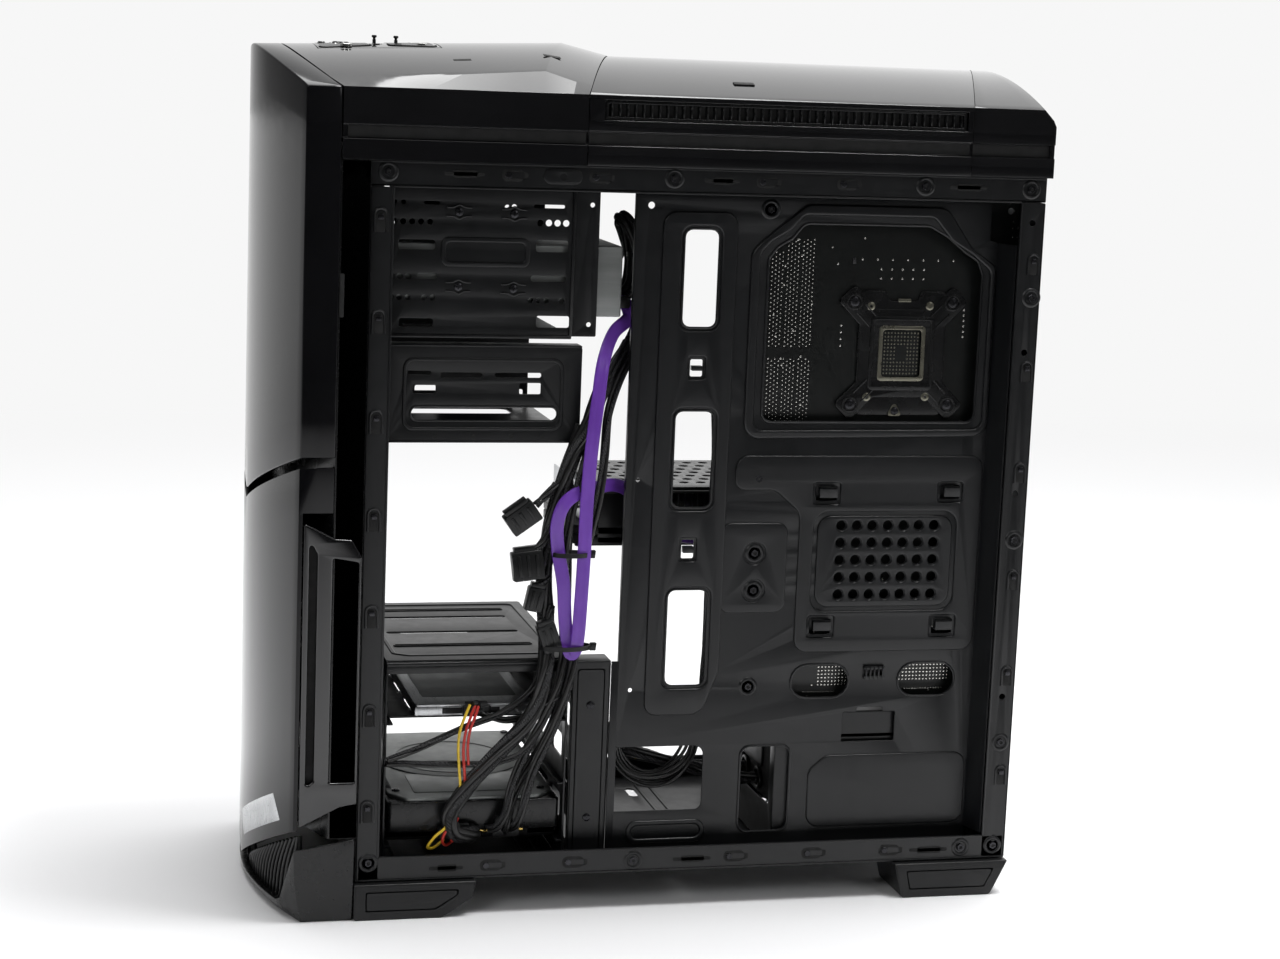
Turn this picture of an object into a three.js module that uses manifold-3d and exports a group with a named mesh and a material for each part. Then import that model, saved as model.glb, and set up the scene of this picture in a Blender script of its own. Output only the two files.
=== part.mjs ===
// A midi-tower desktop computer with both side panels off, in millimetres.
// +Z is up, the front door faces -Y, the rear panel faces +Y. The motherboard hangs on the +X side of
// the case, so +X shows the back of its tray and -X shows the components.
// The origin is on the ground, under the middle of the tower.
import * as THREE from "three";
import { mergeVertices } from "three/addons/utils/BufferGeometryUtils.js";
import Module from "manifold-3d";

const wasm = await Module();
wasm.setup();

// ---- driving dimensions ----
const GAP = 0.3; // clearance between pieces that touch
const HALF_W = 102.5; // plastic covers, half width
const STEEL_W = 96; // steel chassis, half width
const SHEET = 1.2; // steel sheet
const WALL = 3; // plastic wall
const CROWN_Y = -226; // middle of the curved front
const REAR_Y = 226; // back of the top cover
const STEEL_FRONT = -170.5;
const STEEL_REAR = 225;
const FLOOR_Z = 21.6; // underside of the steel floor
const RAIL_TOP_Z = 35.5; // top of the bottom side rail
const OPENING_TOP_Z = 418; // underside of the top side rail
const COVER_Z = 432.4; // lower edge of the plastic top cover
const ROOF_Z = 438; // underside of the steel roof
const SHOULDER_Z = 471.5; // where the side of the top cover turns into its arch
const ARCH = 20.5; // rise of the arch over the shoulder
const TRAY_X = 78; // middle of the motherboard tray sheet
const TRAY_FRONT = -16;
const TRAY_REAR = 205;
const POST_REAR = -157.3; // back edge of the front posts
const FLANGE_FRONT = 210; // front edge of the rear flanges
const BOARD = { back: 71, face: 69.4, front: 49, rear: 223.2, bottom: 114, top: 419 };
const CPU = { y: 149.5, z: 326 };
const BAY = { half: 73, bottom: 344.6, top: 386, next: 428 }; // 5.25-inch bays
const CAGE = { front: -152.4, rear: -45, left: -77, right: 76, top: 146.4 }; // hard-drive cage
const LOWER_BAY = 36.4; // undersides of the drive trays
const UPPER_BAY = 109.5;
const SEAM_SKEW = 33; // how far the top cover's seams run back from the side to the middle
const FAN = 120;
const FRONT_FAN_Z = 150;
const REAR_FAN = { x: -32.5, z: 350 };
const SUPPLY = { half: 75, front: 83, rear: 223.4, bottom: 24, top: 110 };
const CARD = { front: -38, rear: 221, bottom: 206, top: 243, inner: 58.3, outer: -52 };

const root = new THREE.Group();

// ---- solids ----
function solid(geometry) {
  const bare = geometry.clone();
  bare.deleteAttribute("normal");
  bare.deleteAttribute("uv");
  const merged = mergeVertices(bare, 1e-4);
  const mesh = new wasm.Mesh({
    numProp: 3,
    vertProperties: new Float32Array(merged.attributes.position.array),
    triVerts: new Uint32Array(merged.index.array),
  });
  return new wasm.Manifold(mesh);
}

function asSolid(shape) {
  return shape.isBufferGeometry ? solid(shape) : shape;
}

function join(...pieces) {
  return pieces.map(asSolid).reduce((sum, piece) => sum.add(piece));
}

function cut(base, ...tools) {
  return tools.map(asSolid).reduce((rest, tool) => rest.subtract(tool), asSolid(base));
}

function common(a, b) {
  return asSolid(a).intersect(asSolid(b));
}

function geometryOf(shape) {
  if (shape.isBufferGeometry) return shape;
  const mesh = shape.getMesh();
  const geometry = new THREE.BufferGeometry();
  geometry.setAttribute("position", new THREE.BufferAttribute(mesh.vertProperties, 3));
  geometry.setIndex(new THREE.BufferAttribute(mesh.triVerts, 1));
  geometry.computeVertexNormals();
  return geometry;
}

// ---- finishes ----
function finish(colour, roughness, metalness = 0) {
  return () => new THREE.MeshStandardMaterial({ color: colour, roughness, metalness });
}
const GLOSS = finish(0x0b0b0d, 0.12);
const MATTE = finish(0x17171a, 0.55);
const STEEL = finish(0x141519, 0.5, 0.4);
const GALVANISED = finish(0xa9adb0, 0.35, 0.9);
const CIRCUIT = finish(0x0d0f10, 0.4);
const BLACK_PLASTIC = finish(0x101012, 0.6);
const PURPLE = finish(0x7a3fb0, 0.4);
const SLEEVE = finish(0x0c0c0d, 0.7);
const RUBBER = finish(0x0a0a0a, 0.9);

function add(name, shape, material) {
  const mesh = new THREE.Mesh(geometryOf(shape), material());
  mesh.name = name;
  root.add(mesh);
  return mesh;
}

// ---- shapes ----
function box(x0, x1, y0, y1, z0, z1) {
  const geometry = new THREE.BoxGeometry(x1 - x0, y1 - y0, z1 - z0);
  return geometry.translate((x0 + x1) / 2, (y0 + y1) / 2, (z0 + z1) / 2);
}

function outline(points) {
  return new THREE.Shape(points.map(([a, b]) => new THREE.Vector2(a, b)));
}

function roundRect(a0, a1, b0, b1, r) {
  const shape = new THREE.Shape();
  shape.moveTo(a0 + r, b0);
  shape.lineTo(a1 - r, b0);
  shape.absarc(a1 - r, b0 + r, r, -Math.PI / 2, 0);
  shape.absarc(a1 - r, b1 - r, r, 0, Math.PI / 2);
  shape.absarc(a0 + r, b1 - r, r, Math.PI / 2, Math.PI);
  shape.absarc(a0 + r, b0 + r, r, Math.PI, 1.5 * Math.PI);
  return shape;
}

function polygon(a, b, r, sides) {
  const corners = [];
  for (let i = 0; i < sides; i += 1) {
    const turn = (i * 2 * Math.PI) / sides;
    corners.push([a + r * Math.cos(turn), b + r * Math.sin(turn)]);
  }
  return outline(corners);
}

function rect(a0, a1, b0, b1) {
  return outline([[a0, b0], [a1, b0], [a1, b1], [a0, b1]]);
}

const AXES = {
  x: new THREE.Matrix4().set(0, 0, 1, 0, 1, 0, 0, 0, 0, 1, 0, 0, 0, 0, 0, 1),
  y: new THREE.Matrix4().set(1, 0, 0, 0, 0, 0, -1, 0, 0, 1, 0, 0, 0, 0, 0, 1),
  z: new THREE.Matrix4(),
};

// A prism along x (outline in y, z), along y (outline in x, z) or along z (outline in x, y).
function prism(axis, shape, from, to, holes = [], segments = 3) {
  const profile = Array.isArray(shape) ? outline(shape) : shape;
  profile.holes = holes;
  const options = { depth: to - from, bevelEnabled: false, curveSegments: segments };
  const geometry = new THREE.ExtrudeGeometry(profile, options);
  geometry.translate(0, 0, axis === "y" ? -to : from);
  return geometry.applyMatrix4(AXES[axis]);
}

function drum(axis, a, b, r, from, to, segments = 24) {
  return prism(axis, polygon(a, b, r, segments), from, to);
}

// ---- the curved front and the arched top ----
function frontY(x, proud = 0) {
  return CROWN_Y - proud + 19.4 * (x / HALF_W) ** 2;
}

function seamY(x) {
  return -210.2 + 22.9 * (x / HALF_W) ** 2;
}

function archZ(x, shoulder = SHOULDER_Z, rise = ARCH) {
  return shoulder + rise * (1 - Math.abs(x / HALF_W) ** 1.8);
}

function across(half, steps, height) {
  const points = [];
  for (let i = 0; i <= steps; i += 1) {
    const x = -half + (2 * half * i) / steps;
    points.push([x, height(x)]);
  }
  return points;
}

// The plan of a cap that follows the curved front, from its front face back to the seam.
function capPlan(half, inset, rear) {
  const front = across(half, 10, (x) => frontY(x, -inset));
  return [...front, ...across(half, 10, rear).reverse()];
}

// ---- steel chassis ----
function basePan() {
  const w = STEEL_W;
  const t = SHEET;
  const profile = [
    [-w, FLOOR_Z], [w, FLOOR_Z], [w, RAIL_TOP_Z], [w - 12, RAIL_TOP_Z], [w - 12, RAIL_TOP_Z - t],
    [w - t, RAIL_TOP_Z - t], [w - t, FLOOR_Z + t], [-w + t, FLOOR_Z + t], [-w + t, RAIL_TOP_Z - t],
    [-w + 12, RAIL_TOP_Z - t], [-w + 12, RAIL_TOP_Z], [-w, RAIL_TOP_Z],
  ];
  const pan = prism("y", profile, STEEL_FRONT + SHEET + GAP, STEEL_REAR - SHEET - GAP);
  const corners = [];
  for (const side of [-1, 1]) {
    const [x0, x1] = side < 0 ? [-w - 1, -w + 13] : [w - 13, w + 1];
    corners.push(box(x0, x1, STEEL_FRONT, POST_REAR + GAP, FLOOR_Z + t, 40));
    corners.push(box(x0, x1, FLANGE_FRONT - GAP, STEEL_REAR, FLOOR_Z + t, 40));
    const [x2, x3] = side < 0 ? [-w - 1, -w + t + GAP] : [w - t - GAP, w + 1];
    corners.push(box(x2, x3, STEEL_FRONT, POST_REAR + GAP, FLOOR_Z - 1, 40));
    corners.push(box(x2, x3, FLANGE_FRONT - GAP, STEEL_REAR, FLOOR_Z - 1, 40));
  }
  return cut(pan, ...corners, drum("z", 0, 153, 60, FLOOR_Z - 1, FLOOR_Z + 3));
}

function roofPan() {
  const w = STEEL_W;
  const t = SHEET;
  const profile = [
    [-w, OPENING_TOP_Z], [-w + 10, OPENING_TOP_Z], [-w + 10, OPENING_TOP_Z + t],
    [-w + t, OPENING_TOP_Z + t], [-w + t, ROOF_Z], [w - t, ROOF_Z], [w - t, OPENING_TOP_Z + t],
    [w - 10, OPENING_TOP_Z + t], [w - 10, OPENING_TOP_Z], [w, OPENING_TOP_Z],
    [w, ROOF_Z + t], [-w, ROOF_Z + t],
  ];
  const pan = prism("y", profile, STEEL_FRONT, STEEL_REAR);
  const vents = [-40, 90].map((y) => drum("z", -8, y, 55, ROOF_Z - 1, ROOF_Z + 3));
  return cut(pan, ...vents);
}

// A plate across the case with a folded flange down each side.
function endPlate(plateY, flangeY0, flangeY1, top, holes) {
  const w = STEEL_W;
  const plate = prism("y", rect(-w, w, FLOOR_Z, top), plateY, plateY + SHEET, holes, 2);
  const flanges = [[-w, -w + SHEET], [w - SHEET, w]].map(([x0, x1]) =>
    box(x0, x1, flangeY0, flangeY1, FLOOR_Z, top));
  // The plate reaches up between the roof's folded edges.
  const crest = box(-w + 10.5, w - 10.5, plateY, plateY + SHEET, top - 1, ROOF_Z - GAP);
  return join(plate, crest, ...flanges);
}

function frontFrame() {
  const holes = [
    roundRect(-75, 75, 342, 414, 3),
    roundRect(-52, 52, 296, 326, 3),
    polygon(0, FRONT_FAN_Z, 56, 24),
    roundRect(-60, 60, 226, 282, 4),
  ];
  return endPlate(STEEL_FRONT, STEEL_FRONT, POST_REAR, OPENING_TOP_Z - GAP, holes);
}

function rearPanel() {
  const holes = [
    roundRect(25, 70, 256.5, 415, 1),
    polygon(REAR_FAN.x, REAR_FAN.z, 56, 24),
    roundRect(-72, 72, 27, 107, 2),
    roundRect(-55, 59, 206, 242, 1),
  ];
  const plate = endPlate(STEEL_REAR - SHEET, FLANGE_FRONT, STEEL_REAR, OPENING_TOP_Z - GAP, holes);
  // Break-out slot covers: a row of thin grooves part them.
  const grooves = [];
  for (let i = 0; i < 5; i += 1) {
    const z = 118 + 17.8 * i;
    grooves.push(box(-55, 59, STEEL_REAR - 0.5, STEEL_REAR + 1, z, z + 1));
  }
  const corner = box(90, 100, FLANGE_FRONT - 1, 219.5, 392.5, 414.5);
  return cut(plate, ...grooves, corner);
}

function boardTray() {
  const front = TRAY_FRONT;
  const shape = outline([
    [front, 23.2], [TRAY_REAR, 23.2], [TRAY_REAR, 392.5], [TRAY_REAR - 6, 394], [TRAY_REAR - 6, 416.5],
    [front, 416.5], [front, 92], [37.5, 92], [37.5, 53], [front, 53],
  ]);
  const cpu = outline([
    [64, 285.7], [64, 380], [69, 387], [74, 390], [79, 396], [85, 401.7], [161, 401.7], [172, 396],
    [183, 387], [192, 381], [194.5, 374], [194.5, 285.7],
  ]);
  const holes = [
    cpu,
    roundRect(12.4, 34.4, 340, 397, 5),
    roundRect(11.4, 35, 235, 292, 5),
    roundRect(11.4, 36.2, 129, 186.5, 5),
    roundRect(61.4, 91.4, 38.4, 91, 6),
    roundRect(89.4, 125.8, 119.4, 139.8, 10),
    roundRect(156.8, 192.6, 119.4, 139.8, 10),
    roundRect(123, 156.4, 92, 110, 3),
  ];
  const plate = prism("x", shape, TRAY_X - SHEET / 2, TRAY_X + SHEET / 2, holes, 3);
  const inner = TRAY_X - SHEET / 2;
  const outer = STEEL_W - SHEET - GAP;
  const joggle = prism("z", [
    [inner, TRAY_REAR - SHEET], [outer, FLANGE_FRONT - GAP - SHEET], [outer, FLANGE_FRONT - GAP], [inner, TRAY_REAR],
  ], 37, 392.5);
  const lip = box(TRAY_X - 4, TRAY_X, front, front + SHEET, 92, 416.5);
  return join(plate, joggle, lip);
}

// ---- drive cages ----
// Two side walls and a floor, with the same slots through both walls, given as [y0, y1, z0, z1].
function bayCage(y0, y1, z0, z1, slots) {
  const outer = BAY.half + 3.4;
  const inner = outer - SHEET;
  const body = cut(box(-outer, outer, y0, y1, z0, z1), box(-inner, inner, y0 - 1, y1 + 1, z0 + SHEET, z1 + 1));
  return cut(body, ...slots.map((slot) => box(-outer - 1, outer + 1, ...slot)));
}

function opticalCage() {
  const cage = bayCage(-157, -50.8, 333.4, 417.6, [
    [-151, -130, 382, 387.8],
    [-73, -54.4, 382, 388.6],
    [-150, -130.8, 339.4, 343.6],
    [-71.6, -52.4, 339.6, 345.6],
  ]);
  const flanges = [-1, 1].map((side) =>
    box(side < 0 ? -76.4 : 75.2, side < 0 ? -75.2 : 76.4, -51, -36.5, 334, 417));
  return join(cage, ...flanges);
}

function smallDriveCage() {
  const cage = bayCage(-157, -44, 273, 328.8, [
    [-145, -128, 311, 314],
    [-123, -101, 310.6, 313.6],
    [-96, -71, 310.6, 313.6],
    [-141.4, -128, 300.8, 306.4],
    [-83, -72, 300.8, 306.4],
    [-143, -60, 287.4, 293],
  ]);
  const lips = [-1, 1].map((side) =>
    box(side < 0 ? -76.4 : 64, side < 0 ? -64 : 76.4, -157, -44, 327.6, 328.8));
  return join(cage, ...lips);
}

// Front wall, top and rear wall in one folded sheet, with a ledge on each wall under every tray.
function hardDriveCage() {
  const { front, rear, left, right, top } = CAGE;
  const t = SHEET;
  const ledges = [LOWER_BAY - 1.5, 70, UPPER_BAY - 1.5];
  const profile = [[front, FLOOR_Z + t + GAP], [front + t, FLOOR_Z + t + GAP]];
  for (const z of ledges) {
    profile.push([front + t, z], [front + 5, z], [front + 5, z + t], [front + t, z + t]);
  }
  profile.push([front + t, top - t], [rear - t, top - t]);
  for (const z of [...ledges].reverse()) {
    profile.push([rear - t, z + t], [rear - 5, z + t], [rear - 5, z], [rear - t, z]);
  }
  profile.push([rear - t, FLOOR_Z + t + GAP], [rear, FLOOR_Z + t + GAP], [rear, top], [front, top]);
  const shell = prism("x", profile, left, right);
  const slots = [-36, 4].map((x) => prism("z", roundRect(x, x + 5, -142, -62, 2), top - 3, top + 1));
  return cut(shell, ...slots);
}

function cagePost() {
  const x = TRAY_X;
  const profile = [
    [x - 18, -21.7], [x - SHEET, -21.7], [x - SHEET, -42.3], [x - 12, -42.3], [x - 12, -43.5],
    [x, -43.5], [x, -20.5], [x - 18, -20.5],
  ];
  return prism("z", profile, FLOOR_Z + SHEET + GAP, CAGE.top - 2);
}

// A drive tray is a floor with a pull-out handle across its -X end.
function driveTray(z) {
  const floor = box(CAGE.left + 1, 66, CAGE.front + 1.6, CAGE.rear - 1.6, z, z + 1.6);
  const handle = box(CAGE.left - 3, CAGE.left + 1, CAGE.front + 1.6, CAGE.rear - 1.6, z, z + 24);
  const window = box(CAGE.left - 5, CAGE.left + 3, -124, -74, z + 8, z + 18);
  return cut(join(floor, handle), window);
}

function hardDrive(z) {
  const body = box(-73, 74, -149.4, -47.8, z, z + 26);
  const relief = box(60, 76, -150, -47, z - 1, z + 9);
  const sockets = box(62, 73, -110, -66, z + 1.5, z + 9.5);
  return join(cut(body, relief), sockets);
}

// ---- plastic front ----
function frontFascia() {
  const half = HALF_W - 1;
  const rear = () => STEEL_FRONT - GAP;
  const face = (x) => seamY(x) + GAP;
  const plan = [...across(half, 10, face), [half, rear()], [-half, rear()]];
  const inner = [...across(half - WALL, 10, (x) => face(x) + WALL), [half - WALL, 0], [-half + WALL, 0]];
  const shell = cut(prism("z", plan, 49.4, COVER_Z - GAP), prism("z", inner, 52.4, COVER_Z - WALL));
  const bays = prism("y", roundRect(-74, 74, BAY.bottom - 0.6, BAY.next, 2), -230, -190);
  const divider = box(-80, 80, -208, -190, BAY.top + 0.8, BAY.top + 3);
  const intake = drum("y", 0, FRONT_FAN_Z, 58, -230, -190);
  const shelled = cut(shell, bays, intake);
  return join(shelled, common(divider, prism("z", plan, 300, 400)));
}

function doorBottom(x) {
  return 234 + 34 * Math.abs(x / HALF_W);
}

function bayDoor() {
  const rear = (x) => seamY(x);
  const outer = prism("z", capPlan(HALF_W, 0, rear), 200, 520);
  const front = [...across(HALF_W, 12, archZ).reverse()];
  const elevation = [[-HALF_W, doorBottom(HALF_W)], [0, doorBottom(0)], [HALF_W, doorBottom(HALF_W)], ...front];
  const half = HALF_W - WALL;
  const inner = prism("z", [...across(half, 10, (x) => frontY(x) + WALL), [half, -100], [-half, -100]], 200, 520);
  const inset = [
    [-half, doorBottom(half) + WALL], [0, doorBottom(0) + WALL], [half, doorBottom(half) + WALL],
    ...across(half, 12, (x) => archZ(x) - WALL).reverse(),
  ];
  return cut(common(outer, prism("y", elevation, -240, -150)), common(inner, prism("y", inset, -240, -90)));
}

function chinZ(x) {
  return 12 + 43 * Math.abs(x / HALF_W);
}

function lowerFrontPanel() {
  const outer = prism("z", capPlan(HALF_W - 1, 0, seamY), 0, 300);
  // The gap under the door lets its lower edge swing past the raised ends of this panel.
  const top = (x) => doorBottom(x) - 5.6;
  const w = HALF_W - 1;
  const elevation = [[-w, chinZ(w)], [0, chinZ(0)], [w, chinZ(w)], [w, top(w)], [0, top(0)], [-w, top(w)]];
  const half = w - WALL;
  const inner = prism("z", [...across(half, 10, (x) => frontY(x) + WALL), [half, -100], [-half, -100]], 0, 300);
  const cap = cut(common(outer, prism("y", elevation, -240, -150)), inner);
  // Room for the intake frames on both sides.
  const rooms = [-1, 1].map((side) =>
    box(side < 0 ? -110 : 97.5, side < 0 ? -97.5 : 110, -204.6, -150, 52, 236));
  return cut(cap, ...rooms);
}

// A raised frame round an intake slot, low on each side of the front.
function sideIntake(side) {
  const frame = outline([
    [-204.2, 56], [-181, 68], [-171, 69.6], [-171, 212], [-177, 222], [-186, 222.6], [-204.2, 232],
  ]);
  const slot = outline([[-200.5, 80], [-196.5, 84], [-196.5, 214], [-200.5, 222]]);
  const [x0, x1] = side < 0 ? [-HALF_W, -97.8] : [97.8, HALF_W];
  const plate = prism("x", frame, x0, x1, [slot]);
  const recess = prism("x", outline([[-186, 84], [-172.5, 84], [-172.5, 208], [-186, 208]]),
    side < 0 ? -110 : HALF_W - 2.5, side < 0 ? -HALF_W + 2.5 : 110);
  // Behind the seam the frame lies on the fascia's side wall, so it is thinner there.
  const thinned = box(side < 0 ? -101.8 : 90, side < 0 ? -90 : 101.8, -189.4, -160, 50, 240);
  return cut(plate, recess, thinned);
}

// The grille's V-shaped band between the lower panel and the bumper.
function grilleBand(inset) {
  const w = 96 - inset;
  const top = (x) => chinZ(x) - 1.4 - inset;
  return [[-w, top(w)], [-84 + inset, 7 + inset], [0, 5 + inset], [84 - inset, 7 + inset], [w, top(w)], [0, top(0)]];
}

// A thin skin that follows the curved front, some way behind it.
function frontSkin(half, from, to) {
  const outer = across(half, 12, (x) => frontY(x, -from));
  return prism("z", [...outer, ...across(half, 12, (x) => frontY(x, -to)).reverse()], -1, 140);
}

function frontSkirt() {
  const w = HALF_W - 0.5;
  const block = prism("z", [...across(w, 10, (x) => frontY(x)), [w, -172], [-w, -172]], 0, 49.1);
  const edge = chinZ(130) - GAP;
  const above = [[-130, edge], [0, chinZ(0) - GAP], [130, edge], [130, 120], [-130, 120]];
  const zone = [...across(130, 10, (x) => frontY(x, 40)), ...across(130, 10, (x) => seamY(x) + GAP).reverse()];
  const chin = common(prism("z", zone, -1, 140), prism("y", above, -290, -150));
  const pocket = common(frontSkin(110, -20, 4.6), prism("y", grilleBand(0), -290, -150));
  const hollow = box(-88, 88, -203, -176, -1, 44);
  return cut(block, chin, pocket, hollow);
}

function skirtGrille() {
  return common(frontSkin(110, 1.6, 4.2), prism("y", grilleBand(GAP), -240, -190));
}

// ---- plastic top ----
function sideGroove(side) {
  const [x0, x1] = side < 0 ? [-110, -100.4] : [100.4, 110];
  return box(x0, x1, -175, 240, 443.5, 451.5);
}

// A slab of the top cover between two seams that run back towards the middle.
function topSlab(y0, y1, skew0, skew1, shoulder, rise, bottom) {
  const half = HALF_W;
  const plan = [
    [-half, y0], [0, y0 + skew0], [half, y0], [half, y1], [0, y1 + skew1], [-half, y1],
  ];
  const front = [[-half, bottom], [half, bottom], ...across(half, 12, (x) => archZ(x, shoulder, rise)).reverse()];
  return common(prism("z", plan, 400, 520), prism("y", front, -260, 260));
}

function topCavity(y0, y1, skew0, skew1, drop) {
  const half = HALF_W - WALL;
  const plan = [
    [-half, y0], [0, y0 + skew0], [half, y0], [half, y1], [0, y1 + skew1], [-half, y1],
  ];
  const arch = across(half, 12, (x) => archZ(x) - drop);
  const front = [[-half, 400], [half, 400], ...arch.reverse()];
  return common(prism("z", plan, 400, 520), prism("y", front, -260, 260));
}

const PORTS = { half: 34, front: -196, rear: -122, bottom: 484 };

function apexZ(y) {
  return 491.9 + 0.0378 * (y - CROWN_Y);
}

function topFrontCover() {
  const level = topSlab(-240, -51, 0, SEAM_SKEW, SHOULDER_Z, ARCH, COVER_Z);
  // The raised hood climbs towards its ridge, then falls to the middle panel.
  const hood = topSlab(-240, -51, 0, SEAM_SKEW, SHOULDER_Z + 10, 17, SHOULDER_Z - 5);
  const ramp = [[-260, 488.6], [-46, 498.6], [-18, 491.6], [-18, 460], [-260, 460]];
  const sideRamp = [[-140, 470], [-79.5, 482], [-51, 471.5], [-51, 440], [-140, 440]];
  const wedge = common(hood, prism("x", ramp, -HALF_W, HALF_W));
  const sides = common(hood, prism("x", sideRamp, -HALF_W, HALF_W));
  const skewed = common(wedge, prism("z", [[-92, -240], [92, -240], [92, -54], [0, -18], [-92, -54]], 400, 520));
  const whole = join(level, skewed, sides);
  const behind = prism("z", [...across(HALF_W + 1, 10, (x) => seamY(x) + GAP), [HALF_W + 1, 0], [-HALF_W - 1, 0]],
    400, 520);
  const shell = cut(common(whole, behind), topCavity(-200, 60, 0, 0, WALL),
    box(-60, 60, -206, -190, 430, 480), sideGroove(-1), sideGroove(1));
  const well = box(-PORTS.half - GAP, PORTS.half + GAP, PORTS.front - GAP, PORTS.rear + GAP, 480, 520);
  return cut(shell, well);
}

function louvreWindow(side, grow) {
  const [x0, x1] = side < 0 ? [-HALF_W - 1, -98.6 + grow] : [98.6 - grow, HALF_W + 1];
  return box(x0, x1, -42 - grow, 172 + grow, 457.6 - grow, 468.8 + grow);
}

function topMidPanel() {
  const slab = topSlab(-51 + GAP, 175, SEAM_SKEW, SEAM_SKEW + 2, SHOULDER_Z, ARCH, COVER_Z);
  const shell = cut(slab, topCavity(-60, 186, SEAM_SKEW, SEAM_SKEW, WALL));
  return cut(shell, sideGroove(-1), sideGroove(1), louvreWindow(-1, 0), louvreWindow(1, 0));
}

function topRearCover() {
  const slab = topSlab(175 + GAP, 300, SEAM_SKEW + 2, 0, SHOULDER_Z, ARCH, COVER_Z);
  const profile = [[150, 400], [REAR_Y, 400], [REAR_Y, 462], [224, 468], [219, 473.5], [219, 520], [150, 520]];
  const body = common(slab, prism("x", profile, -HALF_W, HALF_W));
  const cavity = common(topCavity(100, 300, 0, 0, WALL), box(-110, 110, 100, 216, 400, 520));
  return cut(body, cavity, box(-99.5, 99.5, 200, STEEL_REAR + GAP, 400, 440), sideGroove(-1), sideGroove(1));
}

function sideLouvre(side) {
  const [x0, x1] = side < 0 ? [-100.6, -99.6] : [99.6, 100.6];
  const holes = [];
  for (let i = 0; i < 12; i += 1) {
    const y = -38 + i * 17.5;
    holes.push(box(x0 - 1, x1 + 1, y, y + 9, 460, 466.4));
  }
  return cut(box(x0, x1, -41.7, 171.7, 457.9, 468.5), ...holes);
}

const BUTTON = { power: -176, reset: -187, radius: 5, small: 2.4 };
const KNOB = { first: -157, second: -144.4, travel: 10, start: 3 };

// The port block carries two square sockets, two round ones, two buttons and two sliders.
function topPortBlock() {
  const { half, front, rear, bottom } = PORTS;
  const side = [[front, bottom], [rear, bottom], [rear, apexZ(rear) + 0.4], [front, apexZ(front) + 0.4]];
  const block = prism("x", side, -half, half);
  const ports = [-20, 8].map((x) => box(x, x + 12, -134, -129, 487, 510));
  const jacks = [-26, 26].map((x) => drum("z", x, -176, 2.2, 488, 510, 12));
  const wells = [
    drum("z", 0, BUTTON.power, BUTTON.radius + GAP, 487, 510, 24),
    drum("z", 0, BUTTON.reset, BUTTON.small + GAP, 487, 510, 16),
    ...[KNOB.first, KNOB.second].map((y) =>
      box(KNOB.start - 2.3, KNOB.start + KNOB.travel + 2.3, y - 1.4, y + 1.4, 490, 510)),
  ];
  return cut(block, ...ports, ...jacks, ...wells);
}

function pushButton(y, radius, segments) {
  return drum("z", 0, y, radius, 490.5, apexZ(y) + 1.2, segments);
}

function sliderKnob(y) {
  const stem = box(KNOB.start - 1.5, KNOB.start + 1.5, y - 1, y + 1, 490.4, 497.2);
  const head = drum("z", KNOB.start, y, 1.5, 496.8, 499, 12);
  return join(stem, head);
}

// ---- feet ----
function frontFoot(side) {
  const profile = [[-171.7, 0], [-120.5, 0], [-103, 11], [-100.8, 21.3], [-171.7, 21.3]];
  const [x0, x1] = side < 0 ? [-101, -60] : [60, 101];
  return prism("x", profile, x0, x1);
}

function rearFoot(side) {
  const profile = [[159, 0], [215.5, 0], [226, 21.3], [153.5, 21.3], [153, 12]];
  const [x0, x1] = side < 0 ? [-101, -60] : [60, 101];
  return prism("x", profile, x0, x1);
}

// ---- fans: a square frame and a bladed rotor, built along z ----
function fanFrame(size, depth, bore) {
  const half = size / 2;
  const wall = prism("z", roundRect(-half, half, -half, half, 5), 0, depth, [polygon(0, 0, bore, 28)], 2);
  const hub = drum("z", 0, 0, 18, 0, 3, 16);
  const struts = [0, 1, 2, 3].map((i) => {
    const strut = box(10, bore + 1, -2, 2, 0, 3);
    return strut.rotateZ(0.3 + (i * Math.PI) / 2);
  });
  return join(wall, hub, ...struts);
}

function rotor(radius, hubRadius, depth, blades) {
  let shape = asSolid(drum("z", 0, 0, hubRadius, 0, depth, 18));
  const chord = radius * 0.62;
  const pitch = Math.asin(Math.min(0.56, (0.85 * depth) / chord));
  const thickness = 1.6;
  for (let i = 0; i < blades; i += 1) {
    const blade = box(hubRadius - 1.5, radius - 4, -chord / 2, chord / 2, -thickness / 2, thickness / 2);
    blade.rotateX(pitch).translate(0, 0, depth / 2).rotateZ((i * 2 * Math.PI) / blades);
    shape = join(shape, blade);
  }
  return shape;
}

function placed(shape, turn, x, y, z) {
  const geometry = geometryOf(shape).clone();
  geometry.applyMatrix4(new THREE.Matrix4().makeRotationFromEuler(new THREE.Euler(...turn)));
  return geometry.translate(x, y, z);
}
const TO_PLUS_Y = [-Math.PI / 2, 0, 0];
const TO_MINUS_Y = [Math.PI / 2, 0, 0];
const TO_MINUS_X = [0, -Math.PI / 2, 0];
const TO_MINUS_Z = [Math.PI, 0, 0];

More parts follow.
